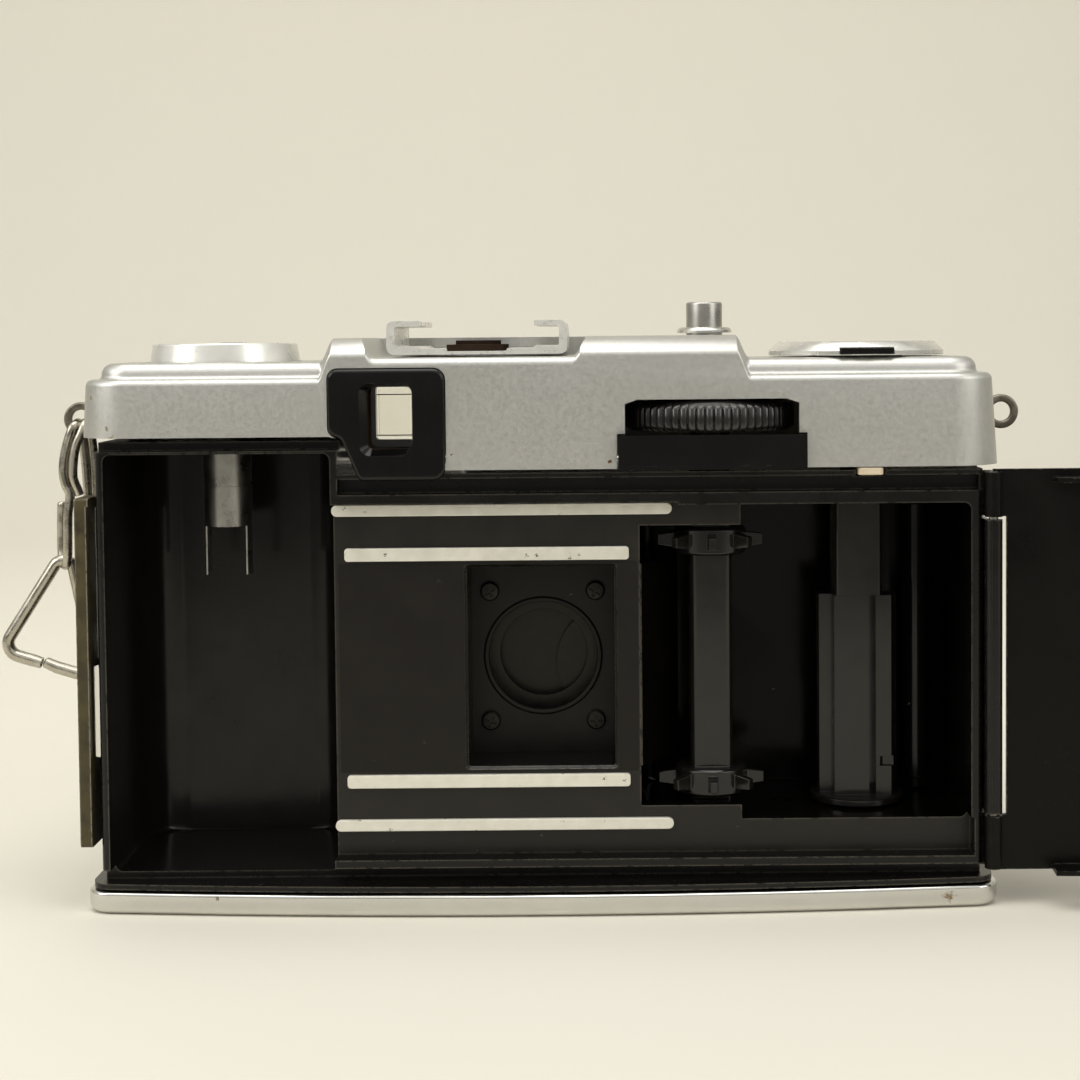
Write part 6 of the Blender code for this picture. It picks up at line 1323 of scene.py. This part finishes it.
def buildTransport(look):
    floor, roof = (castLook["takeUpZ"][0] + 0.2, castLook["takeUpZ"][1] - 0.3)
    low, high = nodeSpan("film_sprocket")
    centre = nodeMiddle("film_sprocket")
    hub, pin, h = look["hub"], look["pin"], look["hubHeight"] / 2.0
    drum = squareBar(centre, look["shaft"], look["shaftRound"], floor + 1.2, roof)
    parts = [rod(centre, pin, low.z, floor + 1.5), rod(centre, look["neck"], roof - 0.5, high.z)]
    turns = [2.0 * math.pi * k / look["teeth"] for k in range(look["teeth"])]
    for side in (-1, 1):
        z = lensAxis[1] + side * look["span"] / 2.0
        parts.append(lathe([(0.0, z - h), (hub - 0.3, z - h), (hub, z - h + 0.3), (hub, z + h - 0.3),
                            (hub - 0.3, z + h), (0.0, z + h)], centre, sides=64))
        parts += [sprocketTooth(look, centre, z, turn) for turn in turns]
    weld(drum, *parts)
    finishPiece(drum, "sprocketDrum", "sprocket", drumLitBlack, ["film_sprocket"], soft=0.14,
                tidy=True)

    low, high = nodeSpan("take_up_spool")
    cx, cy = centre = nodeMiddle("take_up_spool")
    flange, axle, top, flat = look["flange"], look["axle"], look["sleeveTop"], look["post"] / 2.0
    spool = lathe([(0.0, low.z), (axle, low.z), (axle, floor), (flange - 0.2, floor), (flange, floor + 0.2),
                   (flange, floor + 0.8), (flange - 0.25, floor + 1.0), (0.0, floor + 1.0)], centre,
                  sides=72)
    sleeve = rod(centre, look["sleeve"], floor + 0.9, top, sides=72)
    post = squareBar(centre, look["post"], look["postRound"], floor + 0.9, roof)
    sides = []
    slits = []
    for turn in (1, -1):    # the spool looks the same after half a turn
        def box(x, y, z):
            return block(sorted(cx + turn * v for v in x), sorted(cy + turn * v for v in y), z)
        sides += [box((-far, far), (-far, -flat), (floor + 1.0, far)),
                  box((-far, -flat - 0.15), (-far, -look["sideCut"]), (floor + 1.0, far)),
                  box((look["slit"][1], far), (-far, look["notchDepth"] - flat), look["notchZ"])]
        slits.append(box(look["slit"], (-far, -0.6), (floor + 1.0, top + 0.05)))
    weld(carve(sleeve, *sides), post)
    carve(sleeve, *slits)
    weld(spool, sleeve, rod(centre, axle, roof - 0.5, high.z))
    finishPiece(spool, "takeUpDrum", "spool", drumLitBlack, ["take_up_spool"], soft=0.14,
                tidy=True)

    low, high = nodeSpan("film_guide_roller")
    centre = nodeMiddle("film_guide_roller")
    pin, r = look["rollerPin"], look["roller"]
    a, b = floor, roof
    roller = lathe([(0.0, low.z), (pin, low.z), (pin, a), (r - 0.2, a), (r, a + 0.2), (r, a + 1.2),
                    (r - 0.2, a + 1.4), (r - 0.2, b - 1.4), (r, b - 1.2), (r, b - 0.2), (r - 0.2, b),
                    (pin, b), (pin, high.z), (0.0, high.z)], centre, sides=40)
    finishPiece(roller, "guideRoller", "roller", glossBlack, ["film_guide_roller"])


buildTransport(transportLook)
print("film transport")


# Numbers for dials and rings, as thin raised mesh

def numberMesh(bm, text, size, matrix):
    font = bpy.data.curves.new("number", "FONT")
    font.body = text
    font.size = size
    font.align_x = "CENTER"
    font.align_y = "CENTER"
    font.extrude = 0.02
    font.resolution_u = 3
    holder = bpy.data.objects.new("number", font)
    bpy.context.scene.collection.objects.link(holder)
    graph = bpy.context.evaluated_depsgraph_get()
    mesh = bpy.data.meshes.new_from_object(holder.evaluated_get(graph))
    mesh.transform(matrix)
    bm.from_mesh(mesh)
    bpy.data.objects.remove(holder)
    bpy.data.meshes.remove(mesh)


# Frame counter: bezel, glass, dial with numbers, index and reset pin

counterLook = {
    "top": 9.6, "window": 6.4, "tabHalf": 3.3, "tabRise": 0.12, "tabTop": 0.72, "numberSize": 1.7,
    "numbers": (0, 10, 20, 30, 40, 50, 60, 70), "numberRadius": 4.6, "dots": 40,
}


def buildCounter(look):
    low, high = nodeSpan("counter_bezel")
    spot = nodeSpot("counter_bezel")
    outer, top, window = nodeRadius("counter_bezel"), look["top"], look["window"]
    base, face = low.z, high.z
    bezel = lathe([(window, base), (outer - 0.1, base), (outer, base + 0.1), (outer, face - 1.15),
                   (outer - 0.12, face - 1.0), (top + 0.1, face - 0.08), (top - 0.1, face),
                   (window + 0.5, face), (window, face - 0.3)], spot, sides=128)
    half = look["tabHalf"]
    tab, tabTop = base + look["tabRise"], face - look["tabTop"]
    carve(bezel, block(about(spot[0], half), (-far, -top), (tab, tabTop)))
    finishPiece(bezel, "counterRing", "camera_body", counterSilver, ["counter_bezel"],
                soft=0.06, tidy=True)
    base, face = (corner.z for corner in nodeSpan("counter_window"))
    r = window - 0.3
    glass = lathe([(0.0, base), (r, base), (r, face - 0.25), (r - 0.3, face - 0.05), (0.0, face)], spot,
                  sides=72)
    finishPiece(glass, "counterGlass", "camera_body", dialGlass, ["counter_window"])
    insert = block((spot[0] - half + 0.12, spot[0] + half - 0.12), (-outer + 0.12, -top + 0.05),
                   (tab + 0.02, tabTop - 0.1))
    finishPiece(insert, "counterIndex", "camera_body", glossBlack, soft=0.06)
    base, face = (corner.z for corner in nodeSpan("counter_dial"))
    rd = nodeRadius("counter_dial")
    dial = lathe([(0.0, base), (1.2, base), (1.2, face - 0.7), (rd, face - 0.7), (rd, face - 0.05),
                  (rd - 0.1, face), (1.0, face), (0.8, face - 0.1), (0.0, face - 0.1)], spot, sides=72)
    finishPiece(dial, "counterDisc", "counter", ringBlack, ["counter_dial"])
    bm = bmesh.new()
    middle = Matrix.Translation((spot[0], 0.0, face))
    total = len(look["numbers"])
    for k, number in enumerate(look["numbers"]):
        turn = Matrix.Rotation(2.0 * math.pi * k / total - math.pi / 2.0, 4, "Z")
        out = Matrix.Translation((look["numberRadius"], 0.0, 0.0)) @ Matrix.Rotation(math.pi / 2.0, 4, "Z")
        numberMesh(bm, str(number), look["numberSize"], middle @ turn @ out)
    for k in range(look["dots"]):
        a = 2.0 * math.pi * k / look["dots"]
        away = Matrix.Rotation(a, 4, "Z") @ Matrix.Translation((rd - 0.3, 0.0, 0.0))
        bmesh.ops.create_cone(bm, cap_ends=True, segments=8, radius1=0.12, radius2=0.1, depth=0.04,
                              matrix=middle @ away)
    finishPiece(newPiece(bm), "counterNumbers", "counter", scalePaint)
    low, high = nodeSpan("counter_reset_pin")
    pin = slab(roundCorners(oblong((low.x, high.x), (low.y, high.y)), [0.5, 0.5, 0.2, 0.2]), low.z, high.z)
    finishPiece(pin, "counterResetTab", "reset_pin", creamPlastic, ["counter_reset_pin"],
                soft=0.15)


buildCounter(counterLook)
print("frame counter")


# Lens seen through the gate: mount plate, cross-head screws, baffle, shutter blades

lensLook = {
    "opening": 6.8, "lip": 0.45, "lipRise": 0.25, "slotWidth": 0.32, "slotDepth": 0.28, "slotHalf": 0.75,
    "slotTurn": 25.0, "nextTurn": 31.0, "bladePivot": (2.4, 9.4), "eye": 1.3, "pivotHole": 0.7,
    "bladeEdge": ((8.9, -1.4), 7.27), "bladeReach": 5.8, "baffle": (5.5, 7.1), "baffleY": (1.5, 1.9),
}


def buildMount(look):
    low, high = nodeSpan("lens_mount_plate")
    outer, opening = nodeRadius("lens_mount_plate"), look["opening"]
    rise = low.y - look["lipRise"]
    plate = lathe([(outer, high.y), (outer, low.y), (opening + look["lip"] + 0.2, low.y),
                   (opening + look["lip"], rise), (opening + 0.1, rise), (opening, rise + 0.1),
                   (opening, high.y)], lensAxis, "Y", 96)
    spots = {f"mount_screw_{k}": nodeMiddle(f"mount_screw_{k}", "z") for k in range(1, 5)}
    carve(plate, *[rod(spot, 0.8, -far, far, "Y", 24) for spot in spots.values()])
    finishPiece(plate, "mountPlate", "camera_body", plateEnamel, ["lens_mount_plate"],
                soft=0.05)
    for k, (name, spot) in enumerate(spots.items()):
        (_, head, _), (_, end, _) = nodeSpan(name)
        r = nodeRadius(name)
        screw = lathe([(0.0, end), (0.5, end), (0.5, head + 0.6), (r, head + 0.6), (r, head + 0.3),
                       (r - 0.2, head + 0.06), (0.5, head), (0.0, head)], spot, "Y", 32)
        arms = []
        for square in (0.0, 90.0):
            arm = block(about(0.0, look["slotHalf"]), (-1.0, look["slotDepth"]),
                        about(0.0, look["slotWidth"] / 2.0))
            turn = math.radians(look["slotTurn"] + square + look["nextTurn"] * k)
            arm.data.transform(Matrix.Translation(Vector((spot[0], head, spot[1])) * mm)
                               @ Matrix.Rotation(turn, 4, "Y"))
            arms.append(arm)
        finishPiece(carve(screw, *arms), f"mountScrew{k + 1}", "camera_body", darkSteel, [name],
                    soft=0.03)
    hole, rim = look["baffle"]
    near, deep = look["baffleY"]
    baffle = lathe([(rim, near), (rim, deep), (hole, deep), (hole, near)], lensAxis, "Y", 96)
    finishPiece(baffle, "shutterBaffle", "camera_body", darkSteel, soft=0.05)
    px, pz = look["bladePivot"]
    edge, edgeRadius = look["bladeEdge"]
    reach = look["bladeReach"]
    middle = (0.0, 0.0)
    cut = arcPoints(edge, edgeRadius, 131.4, 210.7, 12)    # the right blade ends in a hollow edge
    outlines = {"right": cut + arcPoints(middle, reach, -61.5, 43.6, 12),
                "left": arcPoints(middle, reach, 50, 310, 24)}
    cz = lensAxis[1]
    for side, word in ((1, "right"), (-1, "left")):
        node = f"shutter_blade_{word}"
        (_, near, _), (_, deep, _) = nodeSpan(node)
        eye = (side * px, cz + pz)
        blade = slab([(x, cz + z) for x, z in outlines[word]], near, deep, "Y")
        arm = [(side * 3.4, cz + 4.2), (side * 5.2, cz + 4.2), (eye[0] + side * 1.2, eye[1]),
               (eye[0] - side * 1.2, eye[1])]
        weld(blade, slab(arm, near, deep, "Y"), rod(eye, look["eye"], near, deep, "Y", 32))
        carve(blade, rod(eye, look["pivotHole"], -far, far, "Y", 24))
        finishPiece(blade, f"blade{word.title()}", f"blade_{word}", darkSteel, [node],
                    soft=0.04)


buildMount(lensLook)
print("mount plate and shutter")


# Strap lugs, bent wire link and triangular ring

strapLook = {
    "eye": 2.15, "hole": 1.2, "thick": 1.0, "eyeRound": 0.28, "neck": 0.8, "base": 2.3, "baseThick": 0.7,
    "wire": 0.58, "ringWire": 0.78, "ringCorners": ((-59.6, 43.4), (-68.35, 29.9), (-56.2, 26.2)),
    "ringRound": (1.3, 1.7, 1.7), "gapAt": 0.42, "gap": 0.3, "step": 0.24,
}
# free cut end, bend at the ring, kinked front strand, twice through the lug, second cut end
linkRoute = [
    (-60.6, 1.15, 48.6), (-60.7, 1.2, 46.5), (-60.75, 1.2, 44.0), (-60.7, 1.1, 42.2), (-60.4, 0.5, 40.95),
    (-59.8, -0.5, 40.75), (-59.4, -1.1, 41.9), (-59.3, -1.2, 44.5), (-59.2, -1.2, 47.4),
    (-58.95, -1.2, 49.0), (-58.95, -1.2, 49.9), (-59.4, -1.2, 50.8), (-59.68, -1.2, 52.2),
    (-59.62, -1.2, 53.8), (-59.25, -1.2, 55.6), (-58.75, -1.25, 57.2), (-58.4, -1.15, 58.1),
    (-58.12, -0.75, 58.4), (-58.06, 0.0, 58.62), (-58.1, 0.8, 58.3), (-57.95, 1.25, 57.0),
    (-57.6, 1.3, 54.0), (-57.4, 1.35, 50.6), (-57.3, 1.4, 48.4), (-56.9, 1.4, 47.5), (-56.45, 1.4, 48.4),
    (-56.4, 1.35, 51.0), (-56.5, 1.35, 54.0), (-56.8, 1.25, 57.0), (-57.14, 0.8, 58.3),
    (-57.14, 0.0, 58.62), (-57.1, -0.75, 58.35), (-57.4, -1.2, 57.3), (-58.05, -1.25, 55.8),
    (-58.4, -1.25, 54.0), (-58.5, -1.2, 51.8), (-58.0, -1.0, 50.2), (-57.85, -0.9, 49.6),
]


def ringBend(corner, before, after, radius, count=10):
    corners = [tuple(spot) for spot in (before, corner, after)]
    return roundCorners(corners, [0.0, radius, 0.0], count)[1:count + 2]


def buildStrap(look):
    for side, word in ((-1, "left"), (1, "right")):
        node = f"strap_lug_{word}"
        low, high = nodeSpan(node)
        r1, r0, c = look["eye"], look["hole"], look["eyeRound"]
        eye = (low.x + r1 if side < 0 else high.x - r1, (low.z + high.z) / 2.0)
        t = look["thick"] / 2.0
        profile = arcPoints((r1 - c, t - c), c, 90, 0, 4) + arcPoints((r1 - c, -t + c), c, 0, -90, 4)
        profile += arcPoints((r0 + c, -t + c), c, 270, 180, 4) + arcPoints((r0 + c, t - c), c, 180, 90, 4)
        lug = lathe(profile, eye, "Y", 48)
        seat = high.x if side < 0 else low.x
        face = seat + side * look["baseThick"]
        neck = block(sorted((seat + side * 0.3, eye[0] - side * (r1 - 0.5))), (-t + 0.05, t - 0.05),
                     about(eye[1], look["neck"]))
        base = lathe([(0.0, seat), (look["base"], seat), (look["base"], face - side * 0.25),
                      (look["base"] - 0.25, face), (0.0, face)], (0.0, eye[1]), "X", 48)
        weld(lug, neck, base)
        finishPiece(lug, f"lug{word.title()}", "camera_body", lugSteel, [node], soft=0.05,
                    tidy=True)

    path = smoothPath(linkRoute, 5)
    finishPiece(wire(path, look["wire"]), "linkWire", "link", wornNickel, ["strap_link"])

    apex, left, right = (Vector(corner) for corner in look["ringCorners"])
    cut = left.lerp(right, look["gapAt"])
    along = (right - left).normalized()
    over = Vector((-along.y, along.x)) * look["step"]    # the two ends are slightly out of line
    start = [tuple(cut + along * look["gap"] + over), tuple(cut + along * 2.0)]
    tip, near, outer = look["ringRound"]
    loop = start + ringBend(right, left, apex, outer) + ringBend(apex, right, left, tip)
    loop += ringBend(left, apex, right, near) + [tuple(cut - along * 1.0), tuple(cut)]
    finishPiece(wire([Vector((u, 0.0, v)) for u, v in loop], look["ringWire"], 16), "triangleRing",
                "triangle", wornNickel, ["strap_triangle"])


buildStrap(strapLook)
print("strap hardware")


# Door latch on the left end

latchLook = {
    "clear": 0.5, "tab": 1.0, "tabZ": (24.0, 34.0), "tabY": (-7.8, -5.0), "postGap": 0.3, "travel": 4.0,
    "hook": 0.25, "grips": 5, "stripX": 1.05, "stripY": (-7.75, -7.5), "stripZ": (30.2, 48.6),
}


def buildLatch(look):
    low, high = nodeSpan("latch_bar")
    inner = high.x
    outer = low.x + look["tab"]
    foot = low.z + look["clear"]
    outline = roundCorners(oblong((low.y, high.y), (foot, high.z)), [0.5, 1.2, 1.6, 0.35])
    bar = slab(outline, outer, inner, "X")
    tab = slab(roundCorners(oblong(look["tabY"], look["tabZ"]), 0.6), low.x, outer + 0.5, "X")
    hook = roundCorners(oblong((low.y, low.y + 1.3), (high.z - 1.0, high.z)), 0.2)
    weld(bar, tab, slab(hook, inner - 0.3, inner + look["hook"], "X"))
    reach = castLook["post"] / 2.0 + look["postGap"]
    tools = [block((outer + 0.4, far), about(castLook["postY"], reach),
                   (z - reach, z + reach + look["travel"])) for z in castLook["posts"]]
    span = look["tabZ"][1] - look["tabZ"][0]
    for k in range(look["grips"]):
        z = look["tabZ"][0] + span * (k + 0.8) / (look["grips"] + 0.6)
        tools.append(slab(circlePoints((low.x - 0.15, z), 0.45, 20), -far, far, "Y"))
    carve(bar, *tools)
    strip = roundCorners(oblong((inner - 0.3, inner + look["stripX"]), look["stripZ"]),
                         [0.1, 0.4, 0.4, 0.1])
    finishPiece(slab(strip, *look["stripY"], "Y"), "latchStrip", "door_latch", railMetal,
                soft=0.05)
    finishPiece(bar, "latchPlate", "door_latch", brownLatch, ["latch_bar"], soft=0.16,
                tidy=True)
    low, high = nodeSpan("latch_catch")
    outline = roundCorners(oblong((low.x, high.x), (low.z, high.z)), [0.25, 0.9, 0.9, 0.25])
    bulge = slab(outline, low.y, high.y, "Y")
    finishPiece(bulge, "latchTongue", "door_latch", polishedChrome, ["latch_catch"],
                soft=0.15)


buildLatch(latchLook)
print("door latch")


# Leatherette on the front and on the door

skinLook = {
    "thick": 0.6, "gap": 0.3, "half": 52.8, "rear": -12.3, "front": 12.0, "corner": 8.0, "rearCorner": 0.9,
    "lensHole": 15.4, "socketHole": 2.9, "hinge": (54.1, -12.5), "open": 176.0, "bow": 2.0, "centre": -15.6,
    "doorInset": 0.35, "doorRound": 2.5, "bowSteps": 40,
}


def buildSkins(look):
    low, high = nodeSpan("front_leather")
    gap, thick = look["gap"], look["thick"]
    plans = [roundedPlan(about(0.0, look["half"]), (look["rear"], look["front"]), look["rearCorner"],
                         look["corner"], -d) for d in (gap, gap + thick)]
    skin = slab(plans[1], low.z, high.z)
    carve(skin, slab(plans[0], -far, far), block((-far, far), (-far, low.y), (-far, far)),
          rod(lensAxis, look["lensHole"], 0.0, far, "Y", 96),
          rod(nodeMiddle("sync_socket", "z"), look["socketHole"], 0.0, far, "Y", 48))
    finishPiece(skin, "frontSkin", "camera_body", leatherette, ["front_leather"], soft=0.18,
                tidy=True)

    hinge = Matrix.Translation(Vector((*look["hinge"], 0.0)) * mm)
    swing = hinge @ Matrix.Rotation(math.radians(look["open"]), 4, "Z") @ hinge.inverted()

    def bowed(x):
        return look["centre"] + look["bow"] * (x / look["half"]) ** 2

    low, high = nodeSpan("door_leather")
    ends = [Vector((x, y, 0.0)) * mm for x in (low.x, high.x) for y in (low.y, high.y)]
    shut = [(swing.inverted() @ end).x for end in ends]
    left, right = min(shut) / mm, max(shut) / mm    # the door's ends when it is closed
    outline = oblong((left + look["doorInset"], right - look["doorInset"]), (low.z, high.z))
    sheet = slab(roundCorners(outline, look["doorRound"], 8), -30.0, 0.0, "Y")
    xs = [left + (right - left) * i / look["bowSteps"] for i in range(look["bowSteps"] + 1)]
    band = [(x, bowed(x) - gap - thick) for x in xs] + [(x, bowed(x) - gap) for x in reversed(xs)]
    combine(sheet, [slab(band, low.z - 1.0, high.z + 1.0)], "INTERSECT")
    sheet.data.transform(swing)
    finishPiece(sheet, "doorSkin", "back_door", leatherette, ["door_leather"], soft=0.15,
                tidy=True)


buildSkins(skinLook)


# Front of the lens: barrel, rings with scales, light cell and glass

frontLook = {
    "sleeve": 16.0, "bore": 9.5, "cell": (10.6, 15.2), "cellRecess": 2.0, "outerFit": 15.1,
    "flangeY": (13.2, 15.4), "bumps": (30, 34, 38, 42), "bumpRise": 0.22,
    "knurls": 72, "knurlSteps": 6, "numberTurn": 17.0,
    "boreSteps": ((0.0, 24.6), (0.0, 25.2), (0.25, 25.3), (0.25, 26.1), (0.1, 26.2), (0.1, 27.0),
                  (0.3, 27.1)),
    "ringFit": 0.25, "scaleStep": 0.3, "split": 0.42, "crown": 1.6,
    "rings": (  # node, body, piece, knurl depth, number size, numbers
        ("aperture_ring", "aperture", "apertureBand", 0.35, 1.9,
         ("2.8", "4", "5.6", "8", "11", "16", "22")),
        ("film_speed_ring", "film_speed", "filmSpeedBand", 0.2, 1.35, ("25", "50", "100", "200", "400")),
    ),
}


def scallopRing(inner, levels, count, steps):
    total = count * steps
    turns = [2.0 * math.pi * i / total for i in range(total)]

    def ring(y, radii):
        x, z = lensAxis
        return [(x + r * math.cos(a), y, z + r * math.sin(a)) for r, a in zip(radii, turns)]

    outlines = [ring(y, [radius - depth * (0.5 - 0.5 * math.cos(count * a)) ** 2 for a in turns])
                for radius, y, depth in levels]
    outlines += [ring(y, [inner] * total) for y in (levels[-1][1], levels[0][1])]
    return loft(outlines, looped=True)


def ringNumbers(words, radius, y, size, spread):
    bm = bmesh.new()
    for k, word in enumerate(words):
        a = math.radians(90.0 + spread * ((len(words) - 1) / 2.0 - k))
        out = Vector((math.cos(a), 0.0, math.sin(a)))
        across = Vector((-math.sin(a), 0.0, math.cos(a)))
        upright = Matrix((across, Vector((0.0, -1.0, 0.0)), out)).transposed().to_4x4()
        spot = Vector((lensAxis[0], y, lensAxis[1])) + out * radius
        numberMesh(bm, word, size, Matrix.Translation(spot) @ upright)
    return newPiece(bm)


def buildLensFront(look):
    axis = lensAxis
    low, high = nodeSpan("lens_barrel")
    front, flange = high.y, nodeRadius("lens_barrel")
    rear, face = look["flangeY"]
    sleeve, bore, fit = look["sleeve"], look["bore"], look["outerFit"]
    c0, c1 = look["cell"]
    cell = front - look["cellRecess"]
    profile = [(sleeve - 0.15, front), (sleeve, front - 0.15), (sleeve, face), (flange - 0.3, face),
               (flange, face - 0.3), (flange, rear + 0.3), (flange - 0.3, rear), (fit, rear), (fit, low.y),
               (bore, low.y)]
    profile += [(bore + out, y) for out, y in look["boreSteps"]]
    profile += [(bore + 0.4, front), (c0 - 0.3, front), (c0 - 0.3, cell), (c1 + 0.3, cell),
                (c1 + 0.3, front)]
    finishPiece(lathe(profile, axis, "Y", 128), "lensBarrelTube", "camera_body", ringBlack, ["lens_barrel"])
    cellPlate = lathe([(c0 + 0.1, cell + 0.02), (c1 - 0.1, cell + 0.02), (c1 - 0.1, cell + 0.2),
                       (c0 + 0.1, cell + 0.2)], axis, "Y", 96)
    finishPiece(cellPlate, "lightCell", "camera_body", cellDark)
    paneLow, paneHigh = nodeSpan("cell_window_ring")
    back, edge, crest = paneLow.y, paneHigh.y - 0.25, paneHigh.y - look["bumpRise"]
    pane = lathe([(c0, back), (c1, back), (c1, edge), (c1 - 0.1, crest), (c0 + 0.1, crest), (c0, edge)],
                 axis, "Y", 96)
    bm = bmesh.new()
    rows = len(look["bumps"])
    for row, count in enumerate(look["bumps"]):
        r = c0 + (c1 - c0) * (row + 0.5) / rows
        size = (c1 - c0) / rows * 0.46
        squash = Matrix.Diagonal((size, look["bumpRise"], size, 1.0))
        for k in range(count):
            a = 2.0 * math.pi * (k + 0.5 * (row % 2)) / count
            spot = Matrix.Translation((axis[0] + r * math.cos(a), crest, axis[1] + r * math.sin(a)))
            bmesh.ops.create_uvsphere(bm, u_segments=10, v_segments=6, radius=1.0, matrix=spot @ squash)
    finishPiece(newPiece(bm), "cellLenslets", "camera_body", dialGlass)
    finishPiece(pane, "cellWindow", "camera_body", dialGlass, ["cell_window_ring"])

    inner, step = sleeve + look["ringFit"], look["scaleStep"]
    for node, body, piece, depth, size, words in look["rings"]:
        (_, rear, _), (_, front, _) = nodeSpan(node)
        r, split = nodeRadius(node), rear + look["split"] * (front - rear)
        levels = ((r - 0.25, rear, 0.0), (r, rear + 0.25, depth), (r, split - 0.2, depth),
                  (r - step, split, 0.0), (r - step, front - 0.2, 0.0), (r - 0.55, front, 0.0))
        band = scallopRing(inner, levels, look["knurls"], look["knurlSteps"])
        finishPiece(band, piece, body, ringSilver, [node])
        marks = ringNumbers(words, r - step, (split + front - 0.2) / 2.0, size, look["numberTurn"])
        finishPiece(marks, piece + "Numbers", body, scaleInk)
    (_, rear, _), (_, front, _) = nodeSpan("front_lens_ring")
    r = nodeRadius("front_lens_ring")
    bezel = lathe([(inner, rear), (r - 0.15, rear), (r, rear + 0.15), (r, rear + 0.8),
                   (r - 0.15, rear + 0.95), (r - 0.15, rear + 1.1), (r, rear + 1.25), (r, front - 1.0),
                   (r - 0.3, front - 0.45), (r - 1.0, front), (sleeve + 0.5, front), (inner, front - 0.2)],
                  axis, "Y", 128)
    finishPiece(bezel, "frontBezel", "camera_body", ringBlack, ["front_lens_ring"])
    for node, piece, crown in (("front_lens_element", "frontGlass", look["crown"]),
                               ("rear_lens_element", "rearGlass", None)):
        (_, rear, _), (_, front, _) = nodeSpan(node)
        r, thick = nodeRadius(node), front - rear
        rim = front - crown if crown else rear + 0.6 * thick
        crown = crown or 0.4 * thick
        turns = [math.radians(t) for t in range(10, 91, 10)]
        dome = [(0.0, front)] + [(r * math.sin(t), rim + crown * math.cos(t)) for t in turns]
        finishPiece(lathe(dome + [(r, rear), (0.0, rear)], axis, "Y", 72), piece, "camera_body", lensGlass,
                    [node])
    (_, rear, _), (_, front, _) = nodeSpan("sync_socket")
    r, spot = nodeRadius("sync_socket"), nodeMiddle("sync_socket", "z")
    half, deep = r / 2.0, rear + 0.5 * (front - rear)
    socket = lathe([(0.0, rear), (r, rear), (r, front - 0.8), (r - 0.25, front - 0.6),
                    (r - 0.25, front - 0.2), (r - 0.45, front), (half + 0.15, front), (half, front - 0.15),
                    (half, deep), (0.55, deep), (0.55, front - 0.45), (0.35, front - 0.3),
                    (0.0, front - 0.3)], spot, "Y", 64)
    finishPiece(socket, "syncTerminal", "camera_body", polishedChrome, ["sync_socket"])


buildLensFront(frontLook)
print("lens front")


# Nodes whose own shape is right get a finish and softer edges

dressedNodes = {
    "shutter_housing": plateEnamel, "hinge_leaf": blackEnamel, "hinge_pin": shaftSteel,
    "door_panel": doorEnamel, "pressure_plate": plateEnamel, "rewind_washer": turnedBrass,
    "drive_gear": turnedBrass, "spool_gear": turnedBrass,
}
for node, look in dressedNodes.items():
    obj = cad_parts[node]
    obj.data.materials.clear()
    obj.data.materials.append(look)
    softenEdges(obj, 0.1)
print("dressed nodes:", len(dressedNodes))
